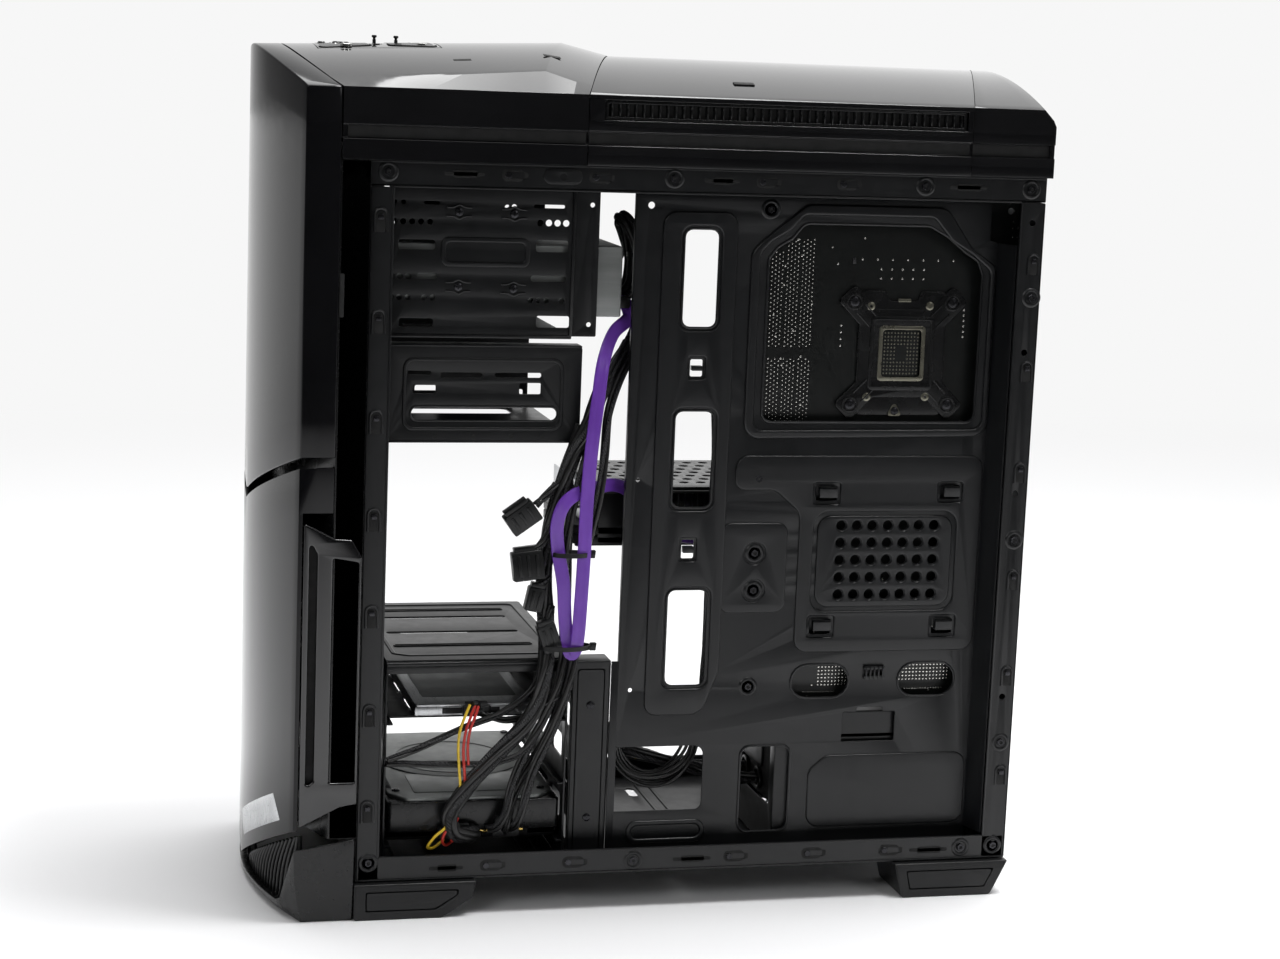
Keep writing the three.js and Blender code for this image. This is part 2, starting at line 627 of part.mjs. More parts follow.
// ---- electronics ----
function motherboard() {
  const { back, face, front, rear, bottom, top } = BOARD;
  const socket = box(61, face + 0.5, CPU.y - 22, CPU.y + 22, CPU.z - 22, CPU.z + 22);
  const memory = [66, 84].map((y) => box(61, face + 0.5, y, y + 6, 264, 400));
  const slots = [[237, 135, 214], [216, 189, 214], [196.5, 189, 214], [160, 128, 214], [142, 189, 214]].map(([z, y0, y1]) =>
    box(58.8, face + 0.5, y0, y1, z, z + 6.5));
  const ports = box(30, face + 0.5, 196, 222, 262, 408);
  const chips = [
    box(62, face + 0.5, 96, 126, 214, 230),
    box(56, face + 0.5, 100, 112, 296, 380),
    box(60, face + 0.5, 51, 60, 300, 352),
    box(59, face + 0.5, 51, 64, 206, 224),
  ];
  return join(box(face, back, front, rear, bottom, top), socket, ...memory, ...slots, ports, ...chips);
}

// The back plate has four arms to the cooler screws and a window over the socket.
function cpuBackPlate() {
  const { y, z } = CPU;
  const reach = 37;
  const arm = 7;
  const body = roundRect(y - 24, y + 24, z - 28, z + 28, 4);
  const window = roundRect(y - 12, y + 12, z - 14, z + 14, 2);
  const plate = prism("x", body, BOARD.back + GAP, BOARD.back + 2.6, [window], 2);
  const arms = [0, 1, 2, 3].map((i) => {
    const turn = Math.PI / 4 + (i * Math.PI) / 2;
    const limb = box(BOARD.back + GAP, BOARD.back + 2.6, 22, reach * 1.36, -arm, arm);
    return limb.rotateX(turn).translate(0, y, z);
  });
  return join(plate, ...arms);
}

const COOLER = { base: 60.6, fins: 52, top: 12, half: 40 };

function cpuHeatsink() {
  const { base, fins, top, half } = COOLER;
  const comb = [[base, -half + 12], [base, half - 12], [fins, half - 12], [fins, half]];
  const gaps = 10;
  const finWidth = 3;
  const pitch = (2 * half - finWidth) / gaps;
  for (let i = 0; i <= gaps; i += 1) {
    const y = half - i * pitch;
    comb.push([top, y], [top, y - finWidth]);
    if (i < gaps) comb.push([fins - 6, y - finWidth], [fins - 6, y - pitch]);
  }
  comb.push([fins, -half], [fins, -half + 12]);
  const shape = comb.map(([x, y]) => [x, y + CPU.y]);
  return prism("z", outline(shape), CPU.z - 38, CPU.z + 38);
}

function memoryStick(y) {
  return box(31, 60.7, y + 1.4, y + 4.6, 266, 399);
}

function graphicsCard() {
  const { front, rear, bottom, top, inner, outer } = CARD;
  const board = box(outer + 8, inner, front + 12, rear, 240, 241.6);
  const shroud = prism("z", outline([
    [outer, front + 6], [outer + 10, front], [40, front], [46, front + 8], [46, rear - 6], [outer, rear - 6],
  ]), bottom, 240.5);
  const back = box(outer + 4, inner - 8, front + 2, rear - 8, 241, top);
  const tongue = box(inner - 1, 58.7, 136, 212, 240, 241.6);
  const bracket = box(-56, 60, rear - 0.6, rear + 0.8, bottom + 1, top - 1);
  const wells = [28, 130].map((y) => drum("z", -3, y, 45, bottom - 1, bottom + 13, 24));
  return cut(join(board, shroud, back, tongue, bracket), ...wells);
}

const CARD_FAN = { x: -3, near: 28, far: 130 };

function powerSupply() {
  const { half, front, rear, bottom, top } = SUPPLY;
  const body = box(-half, half, front, rear, bottom, top);
  const well = drum("z", 0, 153, 61, bottom - 1, bottom + 20, 28);
  const inlet = box(-58, -30, rear - 10, rear + 1, 66, 90);
  const rocker = box(-22, -8, rear - 9, rear + 1, 67, 89);
  return cut(body, well, inlet, rocker);
}

function rockerSwitch() {
  const y = SUPPLY.rear;
  const profile = [[y - 5, 69.6], [y - 1.2, 68.6], [y - 0.2, 78], [y + 1.2, 87.4], [y - 5, 86.4]];
  return prism("x", profile, -21, -9);
}

function opticalDrive() {
  const { half, bottom, top } = BAY;
  const body = box(-half, half, -188, -21.5, bottom + 0.6, top - 0.4);
  const bezel = box(-half - 0.6, half + 0.6, -193, -187.8, bottom + 0.2, top);
  const data = box(52, 66, -30, -20, 348, 358);
  const power = box(34, 50, -30, -20, 348, 358);
  return cut(join(body, bezel), data, power);
}

function ioShield() {
  return prism("y", roundRect(25.4, 69.6, 257, 414.6, 1), 223.9, 225.4, [
    outline([[50, 384], [62, 384], [62, 400], [50, 400]]),
    outline([[36, 360], [64, 360], [64, 374], [36, 374]]),
    outline([[36, 334], [64, 334], [64, 350], [36, 350]]),
    outline([[36, 300], [64, 300], [64, 316], [36, 316]]),
    outline([[40, 268], [62, 268], [62, 286], [40, 286]]),
  ]);
}

// ---- cables ----
function cable(points, section, steps) {
  const path = new THREE.CatmullRomCurve3(points.map((p) => new THREE.Vector3(...p)), false, "centripetal");
  return new THREE.ExtrudeGeometry(section, { steps, extrudePath: path, bevelEnabled: false, curveSegments: 4 });
}

// Centre lines, each from one end to the other.
const ROUTES = {
  sata_cable: [
    [62, -20.6, 353], [62, -16.5, 352], [65, -14.5, 345], [73, -25, 336.5], [86, -33.5, 322], [90, -37, 299],
    [91, -40, 270], [91, -41.5, 241], [91, -42, 212], [91, -43, 182], [91, -44, 162],
    [90, -45, 154], [88.5, -47, 151], [87.5, -49, 157], [87.5, -51, 170], [88, -53, 193], [88, -57, 214],
    [89.5, -58, 229], [90, -54, 240], [87.5, -45, 246], [79, -32, 247.5], [69, -20, 247], [63.5, -11, 243],
    [61.6, -3, 234], [61.6, 3, 224], [61.6, 13, 217], [61.6, 28, 214.6], [62, 40, 215.2], [62.5, 49.8, 215.6],
  ],
  main_harness: [
    [60, 82.4, 95], [60.4, 76, 95], [63, 62, 97], [68, 47, 101], [71, 41, 113], [71, 41, 170], [71, 41, 230],
    [71, 41, 280], [64, 40, 306], [52, 42, 322], [45, 49, 328], [48, 55, 328], [59.6, 56, 328],
  ],
  drive_harness: [
    [42, -20.8, 353], [42, -15, 353.5], [42, -10, 360], [43, -9, 376], [46, -14, 393], [51, -18, 400],
    [55, -14, 397], [57, -8, 384], [55, -5, 356], [56, -8, 334], [61, -19, 317],
    [72, -30, 305], [80, -36, 294], [82.5, -42, 280], [82.5, -48, 268], [81, -55, 246], [79, -60, 222],
    [78, -62, 204], [78, -62, 186], [78, -60, 170], [80, -60, 154], [84, -61, 140], [85, -64, 125],
    [85, -72, 109], [85, -89, 91], [85, -106, 71], [86, -115, 56], [85, -112, 46], [82, -104, 43],
    [79, -100, 43], [74.8, -99, 43],
  ],
  drive_lead_lower: [
    [79, -51, 146], [82, -51, 122], [81, -60, 98], [81, -70, 80], [81, -78, 60], [80, -80, 48],
    [78, -80, 44], [74.9, -80, 43],
  ],
  drive_lead_upper: [
    [74, -50, 138], [75, -54, 124], [76, -68, 113], [77, -84, 110], [76, -95, 113.6],
    [72, -97.6, 114.8], [69.8, -98, 114.9],
  ],
  supply_leads: [
    [40, 82.4, 60], [40, 72, 60], [42, 60, 62], [46, 50, 66], [49, 34, 72], [48, 10, 78],
    [44, -8, 82], [30, -20, 80], [10, -20, 74], [0, -2, 70], [2, 20, 66], [12, 40, 62],
    [14, 66, 60], [14, 82.4, 60],
  ],
};

function sataCable() {
  const wide = 4;
  const thick = 0.9;
  const section = outline([
    [-thick, -wide + 1], [-thick * 0.5, -wide], [thick * 0.5, -wide], [thick, -wide + 1],
    [thick, wide - 1], [thick * 0.5, wide], [-thick * 0.5, wide], [-thick, wide - 1],
  ]);
  return cable(ROUTES.sata_cable, section, 52);
}

function roundCable(name, radius, steps) {
  return cable(ROUTES[name], polygon(0, 0, radius, 8), steps);
}

// Spare thin leads, wound into one ring that hangs behind the tray's lower notch.
function leadCoil() {
  const radius = 24;
  const section = [];
  for (let i = 0; i <= 8; i += 1) {
    const turn = (i * 2 * Math.PI) / 8;
    section.push(new THREE.Vector2(radius + 4.5 * Math.cos(turn), 4.5 * Math.sin(turn)));
  }
  const ring = new THREE.LatheGeometry(section, 24);
  return ring.rotateZ(Math.PI / 2).translate(60, 11, 92);
}

// ---- assembly ----
add("base_pan", basePan(), STEEL);
add("roof_pan", roofPan(), STEEL);
add("front_frame", frontFrame(), STEEL);
add("rear_panel", rearPanel(), STEEL);
add("motherboard_tray", boardTray(), STEEL);
add("optical_cage", opticalCage(), STEEL);
add("small_drive_cage", smallDriveCage(), STEEL);
add("hard_drive_cage", hardDriveCage(), STEEL);
add("cage_post", cagePost(), STEEL);

add("front_fascia", frontFascia(), MATTE);
add("bay_door", bayDoor(), GLOSS);
add("lower_front_panel", lowerFrontPanel(), GLOSS);
add("side_intake_right", sideIntake(1), MATTE);
add("side_intake_left", sideIntake(-1), MATTE);
add("front_skirt", frontSkirt(), MATTE);
add("skirt_grille", skirtGrille(), MATTE);
add("top_front_cover", topFrontCover(), GLOSS);
add("top_mid_panel", topMidPanel(), GLOSS);
add("top_rear_cover", topRearCover(), GLOSS);
add("side_louvre_right", sideLouvre(1), MATTE);
add("side_louvre_left", sideLouvre(-1), MATTE);
add("top_port_block", topPortBlock(), MATTE);
add("power_button", pushButton(BUTTON.power, BUTTON.radius, 24), GLOSS);
add("reset_button", pushButton(BUTTON.reset, BUTTON.small, 16), GLOSS);
add("fan_speed_knob_1", sliderKnob(KNOB.first), BLACK_PLASTIC);
add("fan_speed_knob_2", sliderKnob(KNOB.second), BLACK_PLASTIC);
for (const [word, side] of [["right", 1], ["left", -1]]) {
  add("front_foot_" + word, frontFoot(side), RUBBER);
  add("rear_foot_" + word, rearFoot(side), RUBBER);
}

add("motherboard", motherboard(), CIRCUIT);
add("cpu_back_plate", cpuBackPlate(), STEEL);
add("cpu_heatsink", cpuHeatsink(), GALVANISED);
add("memory_stick_1", memoryStick(66), CIRCUIT);
add("memory_stick_2", memoryStick(84), CIRCUIT);
add("graphics_card", graphicsCard(), BLACK_PLASTIC);
add("power_supply", powerSupply(), STEEL);
add("power_supply_switch", rockerSwitch(), BLACK_PLASTIC);
add("optical_drive", opticalDrive(), GALVANISED);
add("io_shield", ioShield(), GALVANISED);
add("drive_tray_upper", driveTray(UPPER_BAY), BLACK_PLASTIC);
add("drive_tray_lower", driveTray(LOWER_BAY), BLACK_PLASTIC);
add("solid_state_drive", box(-31, 69, -134, -64, UPPER_BAY + 1.9, UPPER_BAY + 8.9), GALVANISED);
add("hard_drive", hardDrive(LOWER_BAY + 1.9), GALVANISED);

const rearFan = [REAR_FAN.x, 198.2, REAR_FAN.z];
add("rear_fan_frame", placed(fanFrame(FAN, 25, 57), TO_PLUS_Y, ...rearFan), BLACK_PLASTIC);
add("rear_fan_rotor", placed(rotor(55, 20, 19, 7), TO_PLUS_Y, REAR_FAN.x, 202, REAR_FAN.z), BLACK_PLASTIC);
add("front_fan_frame", placed(fanFrame(FAN, 25, 57), TO_MINUS_Y, 0, -171.6, FRONT_FAN_Z), BLACK_PLASTIC);
add("front_fan_rotor", placed(rotor(55, 20, 19, 7), TO_MINUS_Y, 0, -175.4, FRONT_FAN_Z), BLACK_PLASTIC);
add("cpu_fan_frame", placed(fanFrame(92, 25, 43), TO_MINUS_X, 11.6, CPU.y, CPU.z), BLACK_PLASTIC);
add("cpu_fan_rotor", placed(rotor(41.5, 17, 19, 7), TO_MINUS_X, 7.8, CPU.y, CPU.z), BLACK_PLASTIC);
[CARD_FAN.near, CARD_FAN.far].forEach((y, i) => {
  const blades = rotor(43, 17, 9, 9);
  add("card_fan_rotor_" + (i + 1), placed(blades, TO_MINUS_Z, CARD_FAN.x, y, CARD.bottom + 11.5), BLACK_PLASTIC);
});
add("power_supply_fan", placed(rotor(58, 20, 14, 7), TO_MINUS_Z, 0, 153, 42), BLACK_PLASTIC);

add("sata_cable", sataCable(), PURPLE);
add("main_harness", roundCable("main_harness", 4.8, 24), SLEEVE);
add("drive_harness", roundCable("drive_harness", 5, 44), SLEEVE);
add("drive_lead_lower", roundCable("drive_lead_lower", 2.6, 14), SLEEVE);
add("drive_lead_upper", roundCable("drive_lead_upper", 2.2, 12), SLEEVE);
add("supply_leads", roundCable("supply_leads", 4, 26), SLEEVE);
add("lead_coil", leadCoil(), SLEEVE);

export default root;
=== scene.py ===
from math import acos, atan, atan2, copysign, cos, exp, pi, radians, sin, tan, tau
import bmesh
import bpy
from mathutils import Matrix, Vector


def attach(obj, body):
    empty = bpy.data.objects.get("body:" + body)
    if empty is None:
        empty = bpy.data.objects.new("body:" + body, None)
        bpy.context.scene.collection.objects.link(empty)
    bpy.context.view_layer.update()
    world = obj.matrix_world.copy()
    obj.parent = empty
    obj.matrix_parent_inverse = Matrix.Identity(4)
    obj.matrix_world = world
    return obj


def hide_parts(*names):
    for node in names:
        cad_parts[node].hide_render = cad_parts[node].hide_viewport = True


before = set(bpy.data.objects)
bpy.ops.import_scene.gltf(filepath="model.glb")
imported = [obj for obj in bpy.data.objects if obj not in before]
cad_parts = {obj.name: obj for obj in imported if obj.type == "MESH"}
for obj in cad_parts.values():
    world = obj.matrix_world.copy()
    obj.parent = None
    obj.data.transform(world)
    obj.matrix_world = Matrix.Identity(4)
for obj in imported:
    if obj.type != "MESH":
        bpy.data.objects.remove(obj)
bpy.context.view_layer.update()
scene = bpy.context.scene
MM = 0.001  # every length below is in millimetres until a piece is finished

# ---- driving dimensions, as in the frame ----
HALF_W = 102.5
STEEL_W = 96.0
WALL = 3.0
COVER_Z = 432.4
SHOULDER_Z = 471.5
ARCH = 20.5
REAR_Y = 226.0
BOLT = 52.5  # half the bolt square of a 120 mm fan
FAN_X, FAN_Z = -32.5, 350  # middle of the rear fan
CPU_Y, CPU_Z = 149.5, 326  # middle of the processor
BOARD_X = 70.9  # solder side of the main board
PIN_PITCH = 2.54  # spacing of the memory joints
SUPPLY_Y = 153  # middle of the power supply's fan


def front_y(x):
    """The front's curved plan."""
    return -226.0 + 19.4 * (x / HALF_W) ** 2


def seam_y(x):
    """The plan line where the door meets the shell."""
    return -210.2 + 22.9 * (x / HALF_W) ** 2


def arch_z(x):
    """The arch of the top cover."""
    return SHOULDER_Z + ARCH * (1 - abs(x / HALF_W) ** 1.8)


def door_bottom(x):
    """The V-shaped gap between the door and the lower panel."""
    return 234 + 34 * abs(x / HALF_W)


def chin_z(x):
    """The slanted lower edge of the front."""
    return 12 + 43 * abs(x / HALF_W)


def lerp(a, b, t):
    return a + (b - a) * t


# ---- camera ----
def make_camera():
    data = bpy.data.cameras.new("camera")
    data.lens = 73.51
    data.sensor_width = 36.0
    data.clip_start = 0.05
    data.clip_end = 60
    cam = bpy.data.objects.new("camera", data)
    right = Vector((0.2392, 0.9702, 0.0395))
    forward = Vector((-0.9561, 0.2424, -0.1649)).normalized()
    right = (right - forward * right.dot(forward)).normalized()
    up = right.cross(forward)
    turn = Matrix((right, up, -forward)).transposed().to_4x4()
    cam.matrix_world = Matrix.Translation((1.5229, -0.3739, 0.5009)) @ turn
    scene.collection.objects.link(cam)
    scene.camera = cam


make_camera()


# ---- materials ----
class Nodes:
    """A small wrapper that adds shader nodes and links them."""

    def __init__(self, tree):
        self.tree = tree
        self.tree.nodes.clear()

    def add(self, kind, **settings):
        node = self.tree.nodes.new(kind)
        for key, value in settings.items():
            if hasattr(node, key):
                setattr(node, key, value)
            else:
                node.inputs[key].default_value = value
        return node

    def link(self, a, b):
        self.tree.links.new(a, b)

    def coords(self, stretch=(1, 1, 1)):
        place = self.add("ShaderNodeTexCoord")
        mapping = self.add("ShaderNodeMapping")
        mapping.inputs["Scale"].default_value = stretch
        self.link(place.outputs["Object"], mapping.inputs["Vector"])
        return mapping.outputs["Vector"]

    def noise(self, vector, scale, detail=3.0, rough=0.55):
        node = self.add("ShaderNodeTexNoise")
        node.inputs["Scale"].default_value = scale
        node.inputs["Detail"].default_value = detail
        node.inputs["Roughness"].default_value = rough
        self.link(vector, node.inputs["Vector"])
        return node.outputs["Fac"]

    def span(self, value, lo, hi, from_lo=0.3, from_hi=0.7):
        node = self.add("ShaderNodeMapRange")
        node.inputs["From Min"].default_value = from_lo
        node.inputs["From Max"].default_value = from_hi
        node.inputs["To Min"].default_value = lo
        node.inputs["To Max"].default_value = hi
        self.link(value, node.inputs["Value"])
        return node.outputs["Result"]

    def mix(self, factor, a, b):
        node = self.add("ShaderNodeMix", data_type="RGBA")
        for socket, value in ((node.inputs[6], a), (node.inputs[7], b)):
            if isinstance(value, tuple):
                socket.default_value = (*value, 1)
            else:
                self.link(value, socket)
        self.link(factor, node.inputs[0])
        return node.outputs[2]

    def bump(self, height, strength, distance, before=None):
        node = self.add("ShaderNodeBump")
        node.inputs["Strength"].default_value = strength
        node.inputs["Distance"].default_value = distance
        self.link(height, node.inputs["Height"])
        if before is not None:
            self.link(before, node.inputs["Normal"])
        return node.outputs["Normal"]

    def top_facing(self):
        """How squarely a surface faces up, where dust settles."""
        geometry = self.add("ShaderNodeNewGeometry")
        split = self.add("ShaderNodeSeparateXYZ")
        self.link(geometry.outputs["Normal"], split.inputs[0])
        return self.math("POWER", self.math("MAXIMUM", split.outputs["Z"], 0.0), 3.0)

    def math(self, operation, a, b):
        node = self.add("ShaderNodeMath", operation=operation)
        for socket, value in zip(node.inputs, (a, b)):
            if isinstance(value, float):
                socket.default_value = value
            else:
                self.link(value, socket)
        return node.outputs[0]

    def times(self, a, b):
        return self.math("MULTIPLY", a, b)


def material(name, dark, light, rough, metal=0.0, coat=0.0, grain=(1, 1, 1), patches=14.0,
        micro=(900.0, 0.15, 0.00006), dust=0.0, ior=1.5, weave=None):
    """rough is (low, high); micro is (scale, strength, depth); grain stretches the noise for brushed metal."""
    mat = bpy.data.materials.new(name)
    mat.use_nodes = True
    n = Nodes(mat.node_tree)
    out = n.add("ShaderNodeOutputMaterial")
    bsdf = n.add("ShaderNodeBsdfPrincipled")
    n.link(bsdf.outputs[0], out.inputs[0])
    for label, value in (("Metallic", metal), ("IOR", ior), ("Coat Weight", coat), ("Coat Roughness", 0.05)):
        bsdf.inputs[label].default_value = value
    vector = n.coords(grain)
    wide = n.noise(vector, patches, 4)
    colour = n.mix(n.span(wide, 0.0, 1.0), dark, light)
    fine = n.noise(vector, patches * 9, 5)
    roughness = n.span(fine, rough[0], rough[1])
    if dust:
        plain = n.coords()
        fluff = n.span(n.noise(plain, 420.0, 6, 0.7), 0.0, 1.0, 0.52, 0.72)
        lying = n.times(n.times(fluff, n.top_facing()), dust)
        colour = n.mix(lying, colour, (0.35, 0.34, 0.32))
        roughness = n.math("ADD", roughness, n.times(lying, 0.5))
    normal = None
    if weave:
        scale, depth = weave
        heights = []
        for turn in (0.7, -0.7):
            wave = n.add("ShaderNodeTexWave", wave_type="BANDS", bands_direction="DIAGONAL")
            wave.inputs["Scale"].default_value = scale
            spin = n.add("ShaderNodeMapping")
            spin.inputs["Rotation"].default_value = (turn, turn * 1.7, turn)
            n.link(n.coords(), spin.inputs["Vector"])
            n.link(spin.outputs[0], wave.inputs["Vector"])
            heights.append(wave.outputs["Fac"])
        both = n.math("MAXIMUM", *heights)
        colour = n.mix(both, dark, light)
        normal = n.bump(both, 0.9, depth)
    scale, strength, depth = micro
    normal = n.bump(n.noise(vector, scale, 2), strength, depth, normal)
    n.link(colour, bsdf.inputs["Base Color"])
    n.link(roughness, bsdf.inputs["Roughness"])
    n.link(normal, bsdf.inputs["Normal"])
    return mat


GLOSS = material("gloss_black", (0.0030, 0.0030, 0.0036), (0.0060, 0.0060, 0.0068), (0.06, 0.11), coat=0.6,
    micro=(160.0, 0.03, 0.0001), dust=0.05)
FRONT_GLOSS = material("front_gloss", (0.0030, 0.0030, 0.0036), (0.0060, 0.0060, 0.0068), (0.07, 0.12), ior=1.36,
    micro=(160.0, 0.03, 0.0001))
MATTE = material("matte_black", (0.0040, 0.0042, 0.0046), (0.0080, 0.0082, 0.0088), (0.30, 0.42),
    micro=(2600.0, 0.35, 0.00008), dust=0.06, ior=1.42)
SATIN = material("satin_black", (0.0034, 0.0035, 0.0038), (0.0068, 0.0070, 0.0074), (0.22, 0.30),
    micro=(1500.0, 0.2, 0.00006), dust=0.06, ior=1.45)
STEEL = material("black_steel", (0.0040, 0.0043, 0.0048), (0.0078, 0.0082, 0.0090), (0.30, 0.38),
    micro=(1300.0, 0.3, 0.00008), dust=0.05, ior=1.45)
PRESSED = material("pressed_black_steel", (0.0042, 0.0046, 0.0052), (0.0082, 0.0086, 0.0096), (0.30, 0.37),
    micro=(1300.0, 0.3, 0.00008), dust=0.05, ior=1.45)
# Near-black and rough: painted shade in holes, slots, grooves and openings, and also the colour of some real black
# parts.
SHADE_AND_BLACK = material("painted_shade_and_black_parts", (0.002, 0.002, 0.002), (0.004, 0.004, 0.004), (0.7, 0.85))
BARE = material("bare_metal", (0.50, 0.51, 0.52), (0.60, 0.61, 0.62), (0.26, 0.38), metal=1.0, grain=(1, 30, 1),
    micro=(500.0, 0.12, 0.00004))
SILVER_CASE = material("drive_case", (0.20, 0.21, 0.205), (0.27, 0.28, 0.275), (0.34, 0.46), metal=0.6,
    grain=(1, 1, 12), micro=(700.0, 0.15, 0.00004))
SCREW = material("blackened_screw", (0.02, 0.02, 0.022), (0.045, 0.045, 0.05), (0.2, 0.32), metal=0.8,
    micro=(1200.0, 0.2, 0.00005))
BRIGHT = material("plated_steel", (0.55, 0.55, 0.54), (0.72, 0.72, 0.70), (0.15, 0.28), metal=1.0)
BOARD = material("black_laminate", (0.0030, 0.0036, 0.0034), (0.0056, 0.0066, 0.0062), (0.3, 0.42), ior=1.42,
    micro=(420.0, 0.25, 0.00008), patches=60.0)
SOLDER = material("solder", (0.55, 0.54, 0.50), (0.75, 0.74, 0.70), (0.18, 0.3), metal=1.0)
GOLD = material("gold_contact", (0.55, 0.38, 0.10), (0.70, 0.50, 0.16), (0.22, 0.3), metal=1.0)
PURPLE = material("purple_jacket", (0.130, 0.035, 0.36), (0.175, 0.055, 0.45), (0.3, 0.42),
    micro=(900.0, 0.25, 0.00008), patches=40.0, coat=0.1)
SLEEVE = material("braided_sleeve", (0.002, 0.002, 0.002), (0.022, 0.022, 0.024), (0.5, 0.62), weave=(260.0, 0.0005))
WIRE = material("black_wire", (0.007, 0.007, 0.007), (0.014, 0.014, 0.014), (0.3, 0.4))
RED = material("red_wire", (0.45, 0.02, 0.015), (0.55, 0.035, 0.02), (0.3, 0.4))
YELLOW = material("yellow_wire", (0.70, 0.47, 0.02), (0.80, 0.55, 0.04), (0.3, 0.4))
RUBBER = material("foot_rubber", (0.010, 0.010, 0.010), (0.018, 0.018, 0.018), (0.55, 0.7),
    micro=(1800.0, 0.5, 0.0001), dust=0.4)
LABEL = material("paper_label", (0.62, 0.62, 0.60), (0.72, 0.72, 0.70), (0.5, 0.6), patches=80.0)
BADGE = material("silver_badge", (0.50, 0.51, 0.52), (0.66, 0.67, 0.68), (0.24, 0.34), metal=0.9, grain=(1, 18, 1))
BLUE = material("blue_plastic", (0.01, 0.06, 0.35), (0.02, 0.09, 0.45), (0.35, 0.45))
GREEN = material("green_jack", (0.10, 0.45, 0.12), (0.14, 0.55, 0.16), (0.35, 0.45))
PINK = material("pink_jack", (0.65, 0.16, 0.22), (0.75, 0.22, 0.30), (0.35, 0.45))


# ---- mesh building ----
def place(axis, at=0.0):
    """Turns a flat mesh in (a, b, depth) into a plate along x (a, b = y, z), y (x, z) or z (x, y)."""
    if axis == "x":
        turn = Matrix(((0, 0, 1, at), (1, 0, 0, 0), (0, 1, 0, 0), (0, 0, 0, 1)))
    elif axis == "y":
        turn = Matrix(((1, 0, 0, 0), (0, 0, 1, at), (0, 1, 0, 0), (0, 0, 0, 1)))
    else:
        turn = Matrix.Translation((0, 0, at))
    return turn


def circle(a, b, r, n=20):
    """A regular outline of n points round (a, b)."""
    return [(a + r * cos(tau * i / n), b + r * sin(tau * i / n)) for i in range(n)]


def rounded(points, radius, steps=5):
    """A closed outline with its corners rounded; radius is one number or one per corner."""
    count = len(points)
    radii = radius if isinstance(radius, (list, tuple)) else [radius] * count
    result = []
    for i, (corner, r) in enumerate(zip(points, radii)):
        p = Vector(corner)
        before = Vector(points[i - 1]) - p
        after = Vector(points[(i + 1) % count]) - p
        if r <= 0 or before.length < 1e-6 or after.length < 1e-6:
            result.append(tuple(p))
            continue
        u, v = before.normalized(), after.normalized()
        half = acos(max(-1.0, min(1.0, u.dot(v)))) / 2
        if half > pi / 2 - 0.02:
            result.append(tuple(p))
            continue
        reach = min(r / tan(half), before.length * 0.49, after.length * 0.49)
        r = reach * tan(half)
        centre = p + (u + v).normalized() * (r / sin(half))
        a0 = (p + u * reach) - centre
        a1 = (p + v * reach) - centre
        t0 = atan2(a0.y, a0.x)
        sweep = atan2(a1.y, a1.x) - t0
        sweep = (sweep + pi) % (tau) - pi
        for k in range(steps + 1):
            t = t0 + sweep * k / steps
            result.append((centre.x + r * cos(t), centre.y + r * sin(t)))
    return result


def rect(a0, a1, b0, b1, radius=0.0, steps=4):
    """An upright rectangle as an outline, with round corners if radius is given."""
    points = [(a0, b0), (a1, b0), (a1, b1), (a0, b1)]
    return rounded(points, radius, steps) if radius else points


def evaluated(data):
    """The mesh of curve data or of an object with modifiers, in its own units."""
    if isinstance(data, bpy.types.Object):
        obj = data
    else:
        obj = bpy.data.objects.new("work", data)
    scene.collection.objects.link(obj)
    graph = bpy.context.evaluated_depsgraph_get()
    mesh = bpy.data.meshes.new_from_object(obj.evaluated_get(graph))
    source = obj.data
    bpy.data.objects.remove(obj)
    if isinstance(source, bpy.types.Curve):
        bpy.data.curves.remove(source)
    else:
        bpy.data.meshes.remove(source)
    return mesh


def flat_mesh(outline, holes, thick, bevel, steps=2):
    """A flat plate with real holes and rolled edges, centred on z = 0."""
    curve = bpy.data.curves.new("work", "CURVE")
    curve.dimensions = "2D"
    curve.fill_mode = "BOTH"
    for points in [outline, *holes]:
        spline = curve.splines.new("POLY")
        spline.points.add(len(points) - 1)
        for target, (a, b) in zip(spline.points, points):
            target.co = (a, b, 0, 1)
        spline.use_cyclic_u = True
    curve.extrude = max(thick / 2 - bevel, 0.0)
    curve.bevel_depth = bevel
    curve.bevel_resolution = steps
    curve.offset = -bevel
    return evaluated(curve)


def tube_mesh(points, radius, sides=4, closed=False):
    """A round wire along a line of points."""
    curve = bpy.data.curves.new("work", "CURVE")
    curve.dimensions = "3D"
    spline = curve.splines.new("POLY")
    spline.points.add(len(points) - 1)
    for target, p in zip(spline.points, points):
        target.co = (*p, 1)
    spline.use_cyclic_u = closed
    curve.bevel_depth = radius
    curve.bevel_resolution = sides
    curve.use_fill_caps = True
    return evaluated(curve)


